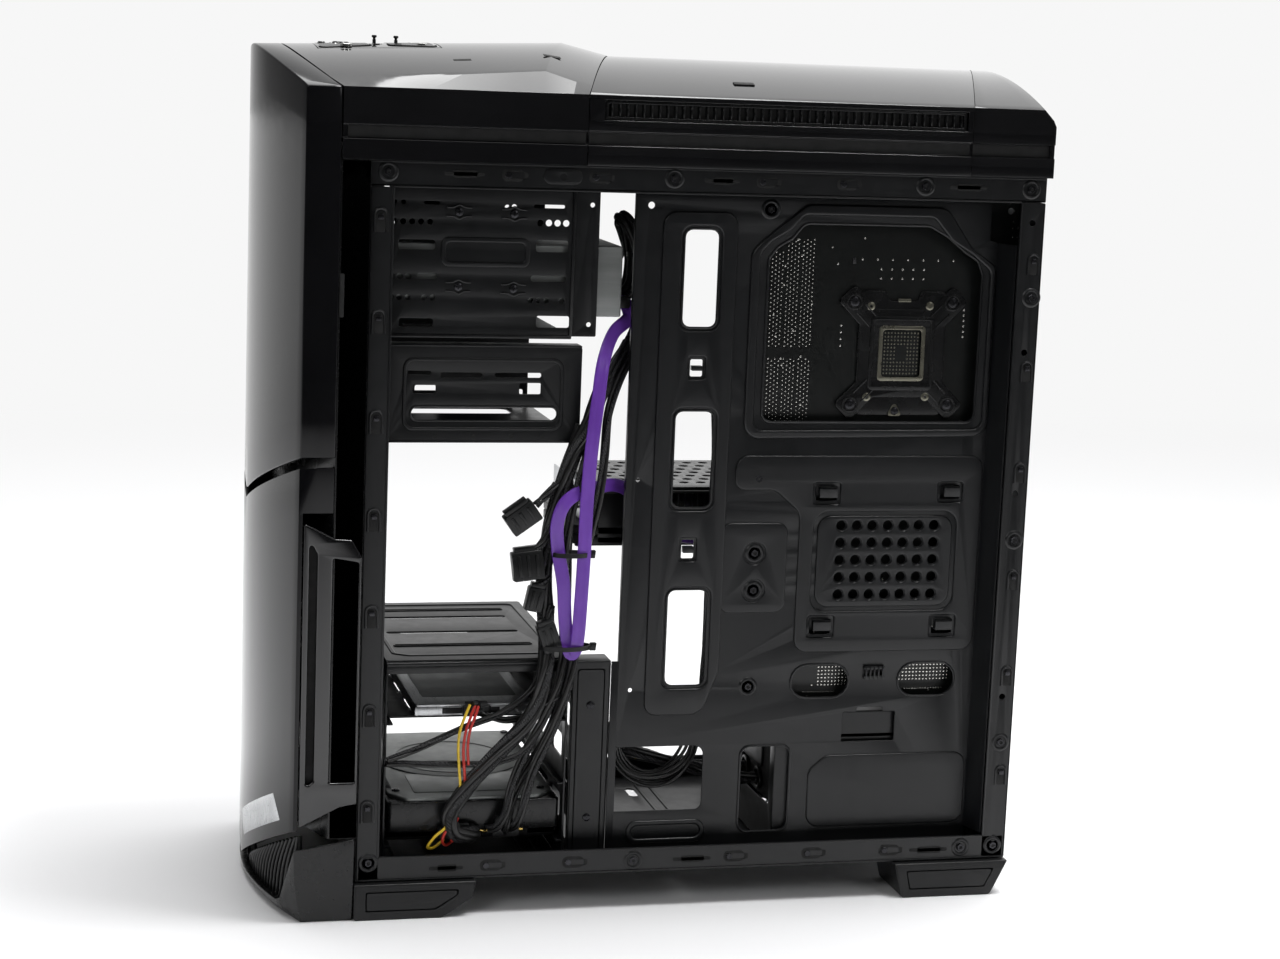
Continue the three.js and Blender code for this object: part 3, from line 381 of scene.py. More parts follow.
def catmull(points, steps=8):
    """A smooth line through the points."""
    pts = [Vector(p) for p in points]
    pts = [pts[0] * 2 - pts[1], *pts, pts[-1] * 2 - pts[-2]]
    result = []
    for i in range(1, len(pts) - 2):
        p0, p1, p2, p3 = pts[i - 1:i + 3]
        t0 = 0.0
        t1 = t0 + max((p1 - p0).length, 1e-6) ** 0.5
        t2 = t1 + max((p2 - p1).length, 1e-6) ** 0.5
        t3 = t2 + max((p3 - p2).length, 1e-6) ** 0.5
        for k in range(steps):
            t = t1 + (t2 - t1) * k / steps
            a1 = p0 * ((t1 - t) / (t1 - t0)) + p1 * ((t - t0) / (t1 - t0))
            a2 = p1 * ((t2 - t) / (t2 - t1)) + p2 * ((t - t1) / (t2 - t1))
            a3 = p2 * ((t3 - t) / (t3 - t2)) + p3 * ((t - t2) / (t3 - t2))
            b1 = a1 * ((t2 - t) / (t2 - t0)) + a2 * ((t - t0) / (t2 - t0))
            b2 = a2 * ((t3 - t) / (t3 - t1)) + a3 * ((t - t1) / (t3 - t1))
            result.append(b1 * ((t2 - t) / (t2 - t1)) + b2 * ((t - t1) / (t2 - t1)))
    result.append(pts[-2])
    return result


class Piece:
    """Collects shapes, in millimetres, into one Blender object."""

    def __init__(self, name, *materials):
        self.name = name
        self.materials = materials
        self.bm = bmesh.new()

    def add(self, mesh, matrix=None, material=0):
        first = len(self.bm.faces)
        if matrix is not None:
            mesh.transform(matrix)
        self.bm.from_mesh(mesh)
        self.bm.faces.ensure_lookup_table()
        for face in self.bm.faces[first:]:
            face.material_index = material
        bpy.data.meshes.remove(mesh)

    def plate(self, axis, outline, lo, hi, holes=(), bevel=0.25, material=0, steps=2):
        mesh = flat_mesh(outline, holes, hi - lo, min(bevel, (hi - lo) * 0.49), steps)
        self.add(mesh, place(axis, (lo + hi) / 2), material)

    def drum(self, axis, a, b, r, lo, hi, bevel=0.25, material=0, n=24, holes=()):
        self.plate(axis, circle(a, b, r, n), lo, hi, holes, bevel, material)

    def block(self, x0, x1, y0, y1, z0, z1, bevel=0.4, material=0, segments=2, turn=None):
        bm = bmesh.new()
        bmesh.ops.create_cube(bm, size=1.0)
        bmesh.ops.scale(bm, vec=(x1 - x0, y1 - y0, z1 - z0), verts=bm.verts)
        width = min(bevel, 0.3 * min(x1 - x0, y1 - y0, z1 - z0))
        if width > 0:
            bmesh.ops.bevel(bm, geom=bm.edges[:], offset=width, segments=segments, profile=0.5, affect="EDGES")
        mesh = bpy.data.meshes.new("work")
        bm.to_mesh(mesh)
        bm.free()
        middle = Matrix.Translation(((x0 + x1) / 2, (y0 + y1) / 2, (z0 + z1) / 2))
        self.add(mesh, middle @ turn if turn is not None else middle, material)

    def tube(self, points, radius, sides=4, material=0, closed=False):
        self.add(tube_mesh(points, radius, sides, closed), None, material)

    def screws(self, looks, places, material=2):
        """Small screws whose heads look along one axis word."""
        self.stamp(SMALL_SCREW, [facing(looks, *place) for place in places], material)

    def wire_wheel(self, a, b, z, radii, n, wire, material):
        """Wire rings round a point of the x-y plane, as on a fan guard."""
        for r in radii:
            self.tube([(x, y, z) for x, y in circle(a, b, r, n)], wire, 2, material, closed=True)

    def spokes(self, a, b, z, inner, outer, wire, material, start=pi / 4):
        """Four straight wires from one radius to another."""
        for k in range(4):
            t = start + k * pi / 2
            self.tube([(a + r * cos(t), b + r * sin(t), z) for r in (inner, outer)], wire, 2, material)

    def stamp(self, template, matrices, material=None):
        """Adds copies of another Piece's shape."""
        mesh = bpy.data.meshes.new("work")
        template.bm.to_mesh(mesh)
        for matrix in matrices:
            copy = mesh.copy()
            copy.transform(matrix)
            first = len(self.bm.faces)
            indices = [p.material_index for p in copy.polygons]
            self.bm.from_mesh(copy)
            self.bm.faces.ensure_lookup_table()
            for face, index in zip(self.bm.faces[first:], indices):
                face.material_index = index if material is None else material
            bpy.data.meshes.remove(copy)
        bpy.data.meshes.remove(mesh)

    def done(self, body="tower", replaces=(), angle=38):
        bmesh.ops.remove_doubles(self.bm, verts=self.bm.verts, dist=0.0005)
        bmesh.ops.recalc_face_normals(self.bm, faces=self.bm.faces)
        bmesh.ops.scale(self.bm, vec=(MM, MM, MM), verts=self.bm.verts)
        mesh = bpy.data.meshes.new(self.name)
        self.bm.to_mesh(mesh)
        self.bm.free()
        for mat in self.materials:
            mesh.materials.append(mat)
        mesh.shade_smooth()
        mesh.set_sharp_from_angle(angle=radians(angle))
        obj = bpy.data.objects.new(self.name, mesh)
        scene.collection.objects.link(obj)
        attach(obj, body)
        if replaces:
            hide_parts(*replaces)


def lattice(rows, thickness=0.0, bevel=0.0, segments=3, angle=25, cutters=(), inside=(0, 0, 250)):
    """A skin through rows of points, thickened towards the point inside, with its sharp edges rounded."""
    bm = bmesh.new()
    grid = [[bm.verts.new(p) for p in row] for row in rows]
    for a, b in zip(grid, grid[1:]):
        for i in range(len(a) - 1):
            bm.faces.new((a[i], a[i + 1], b[i + 1], b[i]))
    bmesh.ops.remove_doubles(bm, verts=bm.verts, dist=0.001)
    bmesh.ops.dissolve_degenerate(bm, dist=0.0005, edges=bm.edges[:])
    bmesh.ops.recalc_face_normals(bm, faces=bm.faces)
    away = sum(f.normal.dot(f.calc_center_median() - Vector(inside)) * f.calc_area() for f in bm.faces)
    if away < 0:
        bmesh.ops.reverse_faces(bm, faces=bm.faces[:])
    mesh = bpy.data.meshes.new("work")
    bm.to_mesh(mesh)
    bm.free()
    obj = bpy.data.objects.new("work", mesh)
    if thickness:
        solid = obj.modifiers.new("solid", "SOLIDIFY")
        solid.thickness = thickness
        solid.offset = -1
        solid.use_even_offset = True
    helpers = []
    for cutter in cutters:
        other = bpy.data.objects.new("cutter", cutter)
        scene.collection.objects.link(other)
        helpers.append(other)
        cut = obj.modifiers.new("cut", "BOOLEAN")
        cut.operation = "DIFFERENCE"
        cut.solver = "EXACT"
        cut.object = other
    if bevel:
        edge = obj.modifiers.new("edge", "BEVEL")
        edge.width = bevel
        edge.segments = segments
        edge.limit_method = "ANGLE"
        edge.angle_limit = radians(angle)
    result = evaluated(obj)
    for other in helpers:
        data = other.data
        bpy.data.objects.remove(other)
        bpy.data.meshes.remove(data)
    return result


def cutter_box(x0, x1, y0, y1, z0, z1):
    """A box that a skin is cut with."""
    mesh = bpy.data.meshes.new("work")
    bm = bmesh.new()
    bmesh.ops.create_cube(bm, size=1.0)
    bmesh.ops.scale(bm, vec=(x1 - x0, y1 - y0, z1 - z0), verts=bm.verts)
    bmesh.ops.translate(bm, vec=((x0 + x1) / 2, (y0 + y1) / 2, (z0 + z1) / 2), verts=bm.verts)
    bm.to_mesh(mesh)
    bm.free()
    return mesh


def across(half, steps):
    """Evenly spaced x values from one side to the other."""
    return [-half + 2 * half * i / steps for i in range(steps + 1)]


def mirrored(side, a, b):
    """A span of x on one side of the middle, low end first."""
    return sorted((side * a, side * b))


def outward(side):
    return "+x" if side > 0 else "-x"


# ---- small hardware, built once and stamped ----
def revolved(profile, n=20):
    """A turned shape round +z from (radius, height) pairs."""
    piece = Piece("work")
    rings = []
    for r, h in profile:
        if r <= 1e-6:
            rings.append([piece.bm.verts.new((0, 0, h))])
        else:
            rings.append([piece.bm.verts.new((r * cos(tau * i / n), r * sin(tau * i / n), h)) for i in range(n)])
    for a, b in zip(rings, rings[1:]):
        for i in range(n):
            j = (i + 1) % n
            if len(a) == 1 and len(b) == 1:
                continue
            if len(a) == 1:
                face = (a[0], b[i], b[j])
            elif len(b) == 1:
                face = (a[i], a[j], b[0])
            else:
                face = (a[i], a[j], b[j], b[i])
            piece.bm.faces.new(face)
    return piece


def facing(axis, x, y, z, turn=0.0):
    """Puts a shape built round +z so that its top looks along the axis word, such as '+x'."""
    looks = {"+x": (0, 1, 0, pi / 2), "-x": (0, 1, 0, -pi / 2), "+y": (1, 0, 0, -pi / 2), "-y": (1, 0, 0, pi / 2),
        "+z": (0, 0, 1, 0), "-z": (1, 0, 0, pi)}
    ax, ay, az, angle = looks[axis]
    spin = Matrix.Rotation(turn, 4, "Z")
    return Matrix.Translation((x, y, z)) @ Matrix.Rotation(angle, 4, Vector((ax, ay, az))) @ spin


def screw(r, h):
    """A pan-head screw with a cross recess; material 1 is the recess."""
    piece = revolved([(0, 0), (r, 0), (r, h * 0.35), (r * 0.92, h * 0.7), (r * 0.6, h * 0.95), (0, h)], 18)
    for turn in (0.0, pi / 2):
        c, s = cos(turn), sin(turn)
        piece.block(-r * 0.55, r * 0.55, -r * 0.11, r * 0.11, h * 0.8, h * 1.03, 0, 1,
            turn=Matrix(((c, -s, 0, 0), (s, c, 0, 0), (0, 0, 1, 0), (0, 0, 0, 1))))
    return piece


def boss(r=4.6, h=1.0):
    """A pressed ring with a threaded post in it; material 2 is the post, 1 the hole, a near-black disc of painted
    shade.
    """
    piece = revolved([(r + 1.4, 0), (r + 0.6, h * 0.8), (r - 0.2, h), (r - 0.9, h * 0.7), (r - 1.3, 0.1), (0, 0.1)], 22)
    piece.stamp(revolved([(2.3, 0.1), (2.3, h + 0.3), (2.0, h + 0.6), (1.2, h + 0.6), (1.1, h - 0.2), (0, h - 0.2)],
        6), [Matrix()], 2)
    piece.stamp(revolved([(1.1, h + 0.35), (0, h + 0.35)], 10), [Matrix()], 1)
    return piece


SMALL_SCREW = screw(2.4, 1.3)
BOSS_SHAPE = boss()


# ---- plastic top cover ----
def side_profile(x_side, top, drop_in):
    """The side wall of the top cover as (x, z) from its lower edge up, with its groove, which groove_floor darkens with
    painted shade.
    """
    return [(x_side, COVER_Z), (x_side, 443.5), (x_side - drop_in, 444.0), (x_side - drop_in, 451.0), (x_side, 451.5),
            (x_side, min(457.4, top - 2)), (x_side, min(469.0, top - 1)), (x_side, top)]


def cover_rows(lines, half_top=HALF_W, steps=40):
    """lines: for each chevron, (y at x, z at x, side top z). Gives one row of points per chevron."""
    rows = []
    for y_at, z_at, side_top in lines:
        right = [(x, y_at(HALF_W), z) for x, z in side_profile(HALF_W, side_top, 2.1)]
        left = [(-x, y, z) for x, y, z in right]
        top = [(x, y_at(x), z_at(x)) for x in across(half_top, steps)]
        if half_top == HALF_W:
            top = top[1:-1]
        rows.append(left + top + right[::-1])
    return rows


def chevron(side, middle):
    """A V-shaped plan line: y at the sides and y in the middle."""
    return lambda x: lerp(middle, side, abs(x) / HALF_W)


def crowned(side, middle, half=HALF_W):
    """An arched section: height at the sides and height in the middle."""
    return lambda x: side + (middle - side) * (1 - min(1.0, abs(x) / half) ** 1.8)


def refine(lines, counts):
    """Adds lines between the given ones so that a long slab bends smoothly."""
    result = [lines[0]]
    for (y0, z0, s0), (y1, z1, s1), n in zip(lines, lines[1:], counts):
        for k in range(1, n + 1):
            t = k / n
            result.append((
                lambda x, y0=y0, y1=y1, t=t: lerp(y0(x), y1(x), t),
                lambda x, z0=z0, z1=z1, t=t: lerp(z0(x), z1(x), t),
                lerp(s0, s1, t)))
    return result


HOOD_EDGE = 90.0
HOOD_LINES = [
    (lambda x: seam_y(x) + 0.5, crowned(475.3, 492.3, HOOD_EDGE), 475.3),
    (chevron(-154.6, -128), crowned(477.3, 495.4, HOOD_EDGE), 477.3),
    (chevron(-77.5, -46), crowned(483.0, 498.7, HOOD_EDGE), 483.0),
    (chevron(-51.2, -18.2), crowned(475.1, 492.3, HOOD_EDGE), 475.1),
]


def hood_height(x, y):
    """Height of the hood's upper surface over a point."""
    for (y0, z0, _), (y1, z1, _) in zip(HOOD_LINES, HOOD_LINES[1:]):
        if y <= y1(x):
            return lerp(z0(x), z1(x), (y - y0(x)) / (y1(x) - y0(x)))
    return HOOD_LINES[-1][1](x)


def hood_rows():
    """The raised hood: a ridge in a V that falls to the middle panel, with a slanted facet on each side."""
    edge = HOOD_EDGE
    rows = []
    for y_at, z_at, _ in refine(HOOD_LINES, (6, 5, 3)):
        right = [(x, y_at(HALF_W), z) for x, z in side_profile(HALF_W, SHOULDER_Z, 2.1)]
        left = [(-x, y, z) for x, y, z in right]
        top = [(x, y_at(x), z_at(x)) for x in across(edge, 36)]
        rows.append(left + top + right[::-1])
    return rows


def port_well():
    """The opening in the hood that the port block fills."""
    mesh = flat_mesh(rounded([(-33, -193), (33, -193), (33, -122), (-33, -122)], 2), [], 40, 0)
    mesh.transform(place("z", 500))
    return mesh


def groove_floor(piece, y0, y1):
    """Puts a near-black plate in the side groove as painted shade."""
    for side in (-1, 1):
        x0, x1 = mirrored(side, 100.35, 100.55)
        piece.plate("x", rect(y0, y1, 444.3, 450.7, 0.5), x0, x1, bevel=0.05, material=1)


def top_front():
    """The raised hood, with its clip slots."""
    piece = Piece("hood_cover", GLOSS, SHADE_AND_BLACK)
    piece.add(lattice(hood_rows(), WALL, 0.9, 3, 14, [port_well()]))
    groove_floor(piece, -184, -52)
    # Narrow moulded clip slots on the arch, drawn as near-black blocks of painted shade.
    for side in (-1, 1):
        for y, x in ((-116, 64), (-64, 60)):
            slope = hood_height(x + 1, y) - hood_height(x - 1, y)
            rise = hood_height(x, y + 2) - hood_height(x, y - 2)
            turn = Matrix.Rotation(-side * atan(slope / 2), 4, "Y") @ Matrix.Rotation(atan(rise / 4), 4, "X")
            z = hood_height(x, y)
            piece.block(side * x - 1.6, side * x + 1.6, y - 5, y + 5, z - 0.2, z + 0.12, 0.08, 1, 1, turn=turn)
    piece.done(replaces=("top_front_cover",), angle=9)


def top_middle():
    """The arched middle panel, with a window in each side."""
    half = crowned(SHOULDER_Z, SHOULDER_Z + ARCH)
    lines = [(chevron(-50.7, -17.7), half, SHOULDER_Z), (chevron(175, 210), half, SHOULDER_Z)]
    rows = cover_rows(refine(lines, (10,)))
    windows = [cutter_box(98.9, 110, -42, 172, 457.6, 468.8), cutter_box(-110, -98.9, -42, 172, 457.6, 468.8)]
    piece = Piece("mid_cover", GLOSS, SHADE_AND_BLACK)
    piece.add(lattice(rows, WALL, 0.7, 3, 15, windows))
    groove_floor(piece, -50, 174)
    # Two small tilted near-black blocks on the arch are painted shade.
    for side in (-1, 1):
        tilt = Matrix.Rotation(side * 0.27, 4, "Y")
        piece.block(side * 78 - 2.2, side * 78 + 2.2, 38, 50, 479.4, 480.2, 0.3, 1, turn=tilt)
    piece.done(replaces=("top_mid_panel",))


def top_rear():
    """The rear cap, which curves down to the back."""
    lines = [(chevron(175.3, 210.3), crowned(SHOULDER_Z, SHOULDER_Z + ARCH), SHOULDER_Z),
        (lambda x: 218.4, crowned(SHOULDER_Z, SHOULDER_Z + ARCH), SHOULDER_Z),
        (lambda x: 224.2, crowned(465.5, 470.0), 465.5), (lambda x: REAR_Y, crowned(461.8, 462.2), 461.8)]
    rows = cover_rows(refine(lines, (5, 1, 1)))
    piece = Piece("rear_cover", GLOSS, SHADE_AND_BLACK)
    piece.add(lattice(rows, WALL, 0.8, 3, 18))
    piece.plate("y", rect(-HALF_W + 0.4, HALF_W - 0.4, COVER_Z, 462.1, 1), REAR_Y - WALL, REAR_Y - 0.1, (), 0.4)
    groove_floor(piece, 176, 225)
    piece.done(replaces=("top_rear_cover",))


def louvres():
    """The barred vents in the side windows of the top cover."""
    for word, side in (("right", 1), ("left", -1)):
        piece = Piece("louvre_" + word, SATIN, SHADE_AND_BLACK)
        # A near-black sheet inside the window is painted shade behind the bars.
        inner, outer = mirrored(side, 97.4, 97.9)
        piece.plate("x", rect(-43, 173, 456.9, 469.4, 1), inner, outer, bevel=0.1, material=1)
        # A frame round the window, flush inside it.
        x0, x1 = mirrored(side, 98.0, 100.9)
        piece.plate("x", rect(-41.6, 171.6, 458.0, 468.4, 1.2), x0, x1, [rect(-39.6, 169.6, 459.6, 466.9, 0.8)], 0.3)
        count = 46
        for i in range(count):
            y = -37.5 + i * 206.0 / (count - 1)
            lean = Matrix.Rotation(side * 0.5, 4, "Z")
            piece.block(side * 99.2 - 1.1, side * 99.2 + 1.1, y - 0.6, y + 0.6, 459.2, 467.3, 0.25, 0, 1, turn=lean)
        piece.done(replaces=("side_louvre_" + word,))


def port_block():
    """The sockets, buttons and fan-speed sliders set into the hood."""
    piece = Piece("port_panel", MATTE, SHADE_AND_BLACK, BRIGHT, SATIN, GLOSS)

    def top_z(y):
        return 491.9 + 0.0378 * (y + 226.0) + 0.1

    # The plate follows the hood's curve, with two trapezium fields outlined on it.
    rows = []
    for k in range(9):
        y = lerp(-192.5, -122.5, k / 8)
        rows.append([(x, y, hood_height(x, y) + 0.05) for x in across(32.6, 12)])
    piece.add(lattice(rows, 3.0, 0.4, 2, 40), None, 4)
    for y0, y1, narrow, wide in ((-191, -161, 30, 21), (-151, -124.5, 21, 30)):
        corners = rounded([(-narrow, y0), (narrow, y0), (wide, y1), (-wide, y1)], 3)
        piece.tube([(x, y, hood_height(x, y) + 0.15) for x, y in corners], 0.55, 2, 1, closed=True)
        field = []
        for k in range(7):
            t = k / 6
            y, w = lerp(y0 + 1, y1 - 1, t), lerp(narrow, wide, t) - 1.4
            field.append([(x, y, hood_height(x, y) + 0.22) for x in across(w, 10)])
        piece.add(lattice(field, 0.4, 0, 1, 60), None, 3)
    # Sockets with their metal shells and dark tongues.
    for x in (-20, 8):
        z = top_z(-131.5)
        piece.plate("z", rect(x, x + 12, -134, -129, 0.6), z - 3, z - 0.2,
            [rect(x + 0.7, x + 11.3, -133.4, -129.6, 0.3)], 0.15, 2)
        piece.block(x + 1.4, x + 10.6, -133.0, -131.6, z - 3, z - 0.9, 0.2, 1)
    for x in (-26, 26):
        z = top_z(-176)
        piece.stamp(revolved([(3.4, -1), (3.4, 0.3), (3.0, 0.6), (2.0, 0.6), (1.75, 0.2), (1.75, -2), (0, -2)], 20),
            [Matrix.Translation((x, -176, z - 0.7))], 2)
    # Slider channels with end stops and fine scale marks.
    for y in (-157, -144.4):
        z = top_z(y)
        piece.plate("z", rect(0.2, 15.8, y - 1.9, y + 1.9, 1.8), z - 2, z - 0.35,
            [rect(1.2, 14.8, y - 1.0, y + 1.0, 0.9)], 0.3, 3)
        for i in range(5):
            x = 3 + 2.5 * i
            piece.block(x - 0.2, x + 0.2, y + 2.2, y + 3.4, z - 0.9, z - 0.45, 0.05, 2)
    # Two tiny indicator lenses by the buttons.
    for x in (-9, 9):
        piece.stamp(revolved([(1.1, 0), (1.1, 0.5), (0.6, 0.9), (0, 1.0)], 14),
            [Matrix.Translation((x, -180, top_z(-180) - 1))], 2)
    piece.done(replaces=("top_port_block",))

    for name, node, y, r, body in (("power_cap", "power_button", -176, 5.0, "power_key"),
            ("reset_cap", "reset_button", -187, 2.4, "reset_key")):
        cap = Piece(name, GLOSS, BRIGHT)
        z = top_z(y) + 0.6
        cap.stamp(revolved([(0, -4), (r - 0.1, -4), (r - 0.05, -0.6), (r - 0.5, 0.0), (r * 0.8, 0.15), (r * 0.6, -0.1),
            (0, -0.25)], 30), [Matrix.Translation((0, y, z))], 0)
        cap.stamp(revolved([(r * 0.98, -0.9), (r * 0.99, -0.7), (r * 0.98, -0.5)], 30),
            [Matrix.Translation((0, y, z))], 1)
        cap.done(body, replaces=(node,))
    for i, y in ((1, -157.0), (2, -144.4)):
        knob = Piece(f"slider_pin_{i}", SATIN)
        knob.block(1.6, 4.4, y - 0.9, y + 0.9, 490.6, 496.6, 0.3)
        knob.stamp(revolved([(0.75, -3.4), (0.8, -1.6), (1.45, -1.2), (1.5, -0.5), (1.2, -0.05), (0, 0)], 18),
            [Matrix.Translation((3, y, 499.0))], 0)
        knob.done(f"speed_slider_{i}", replaces=(f"fan_speed_knob_{i}",))


# ---- plastic front ----
def plan_columns(half, rear_at, steps=36):
    """Plan points of a front cap: a side face, the curve and the other side face."""
    columns = [(-half, rear_at(half)), (-half, lerp(rear_at(half), front_y(half), 0.5))]
    columns += [(x, front_y(x)) for x in across(half, steps)]
    columns += [(half, lerp(rear_at(half), front_y(half), 0.5)), (half, rear_at(half))]
    return columns


def door():
    """The curved bay door, with ribs, hinge knuckles and a catch."""
    columns = plan_columns(HALF_W, seam_y)
    rows = []
    for k in range(11):
        t = k / 10
        rows.append([(x, y, lerp(door_bottom(x), arch_z(x) - 0.2, t)) for x, y in columns])
    for t in (0.5, 1.0):
        cap = []
        for x, y in columns:
            rear = seam_y(x)
            cap.append((x, lerp(y, rear, t), arch_z(x) - 0.2 + 0.5 * t * (1 - abs(x / HALF_W))))
        rows.append(cap)
    piece = Piece("front_door", FRONT_GLOSS, SATIN, SHADE_AND_BLACK)
    piece.add(lattice(rows, WALL, 1.1, 3, 20))
    # Stiffening ribs inside the door.
    for x in (-70, -35, 0, 35, 70):
        piece.block(x - 1, x + 1, front_y(x) + 2.4, seam_y(x) - 2, 285, 455, 0.4, 1)
    # Hinge knuckles on the left and a magnet catch on the right.
    for z in (292, 452):
        piece.drum("z", -98.6, seam_y(98.6) - 1.6, 2.1, z - 8, z + 8, 0.5, 1)
    piece.block(93, 98.5, -194.5, -190.6, 352, 368, 0.5, 1)
    piece.done("door", replaces=("bay_door",))


def lower_panel():
    """The curved panel below the door, with a blank badge."""
    half = HALF_W - 1
    columns = plan_columns(half, seam_y)
    rows = []
    for k in range(9):
        t = k / 8
        rows.append([(x, y, lerp(chin_z(x), door_bottom(x) - 5.6, t)) for x, y in columns])
    for t in (0.5, 1.0):
        rows.append([(x, lerp(y, seam_y(x), t), door_bottom(x) - 5.6 + 0.4 * t) for x, y in columns])
    rooms = [cutter_box(97.2, 112, -204.7, -150, 51, 237), cutter_box(-112, -97.2, -204.7, -150, 51, 237)]
    piece = Piece("lower_front", FRONT_GLOSS, BADGE, SHADE_AND_BLACK)
    piece.add(lattice(rows, WALL, 0.9, 3, 20, rooms))
    # A blank tilted badge that follows the curve.
    corner, along, up = Vector((2, 0, 39.3)), Vector((73, 0, 30.8)), Vector((10.3, 0, -13.6))
    face_rows = []
    for j in range(5):
        row = []
        for i in range(17):
            p = corner + along * (i / 16) + up * (j / 4)
            row.append((p.x, front_y(p.x) - 0.02, p.z))
        face_rows.append(row)
    piece.add(lattice(face_rows, 1.2, 0.35, 2, 40), None, 1)
    piece.done(replaces=("lower_front_panel",))


top_front()
top_middle()
top_rear()
louvres()
port_block()
door()
lower_panel()


def fascia():
    """The matte shell behind the door: side walls, bay opening, fan intake and bay covers."""
    half = HALF_W - 1
    rear = -170.9
    piece = Piece("front_shell", SATIN, SHADE_AND_BLACK, STEEL, MATTE)
    columns = [(-half, rear)] + [(x, seam_y(x) + 0.4) for x in across(half, 30)] + [(half, rear)]
    rows = [[(x, y, lerp(49.6, 431.8, k / 8)) for x, y in columns] for k in range(9)]
    bays = cutter_box(-74.6, 74.6, -230, -190, 344.2, 428)
    intake = bpy.data.meshes.new("work")
    bm = bmesh.new()
    bmesh.ops.create_cone(bm, cap_ends=True, segments=48, radius1=58, radius2=58, depth=40)
    bmesh.ops.rotate(bm, matrix=Matrix.Rotation(pi / 2, 3, "X"), verts=bm.verts)
    bmesh.ops.translate(bm, vec=(0, -210, 150), verts=bm.verts)
    bm.to_mesh(intake)
    bm.free()
    piece.add(lattice(rows, WALL, 0.6, 2, 20, [bays, intake]))
    piece.plate("x", rect(-186.5, -171, 49.6, 431.8), 101.2, 101.5, bevel=0.05)
    # The blank cover of the empty bay, and the divider over the drive.
    cover = [(-73.2, 390.4), (73.2, 390.4), (73.2, 426.6), (-73.2, 426.6)]
    vents = [rect(-62 + 12.6 * i, -53 + 12.6 * i, 404, 413, 2) for i in range(10)]
    piece.plate("y", rounded(cover, 2), -193.4, -190.6, vents, 0.5, 3)
    piece.plate("y", rect(-74, 74, 386.9, 389.2, 0.4), -205.4, -190, bevel=0.3)
    # A ribbed dust filter over the fan.
    bars = [rect(-52, 52, 104 + 7.5 * i, 108 + 7.5 * i, 1.5) for i in range(13)]
    piece.plate("y", circle(0, 150, 60, 48), -199.8, -198.2, bars, 0.3, 3)
    # The door's catch and hinge sockets show at the seam as a near-black block of painted shade.
    piece.block(99.6, 102.3, -187.0, -184.4, 346, 370, 0.6, 1)
    piece.done(replaces=("front_fascia",))


def intake_frames():
    """The framed air intakes on both sides of the front."""
    for word, side in (("right", 1), ("left", -1)):
        piece = Piece("intake_" + word, GLOSS, SHADE_AND_BLACK, SATIN)
        frame_line = [(-204.0, 56.4), (-181, 68), (-171.3, 69.6), (-171.3, 212), (-177, 222), (-186, 222.6),
            (-204.0, 231.6)]
        slot = rounded([(-200.6, 80), (-196.2, 84), (-196.2, 214), (-200.6, 222)], 1.4)
        recess = rounded([(-187.5, 82.5), (-173, 82.5), (-173, 209), (-187.5, 211.5)], 1.2)
        lo, hi = mirrored(side, 98.0, HALF_W)
        piece.plate("x", rounded(frame_line, 1.2), lo, hi, [slot, recess], 1.1, 0, 3)
        floor_lo, floor_hi = mirrored(side, 98.0, 99.6)
        piece.plate("x", rounded([(-190, 80), (-171.6, 80), (-171.6, 213), (-190, 214)], 1), floor_lo, floor_hi,
            bevel=0.3, material=2)
        # A near-black plate in the slot is painted shade.
        dark_lo, dark_hi = mirrored(side, 98.0, 98.6)
        piece.plate("x", rounded([(-202, 78), (-195, 82), (-195, 216), (-202, 224)], 1), dark_lo, dark_hi, bevel=0.1,
            material=1)
        piece.done(replaces=("side_intake_" + word,))


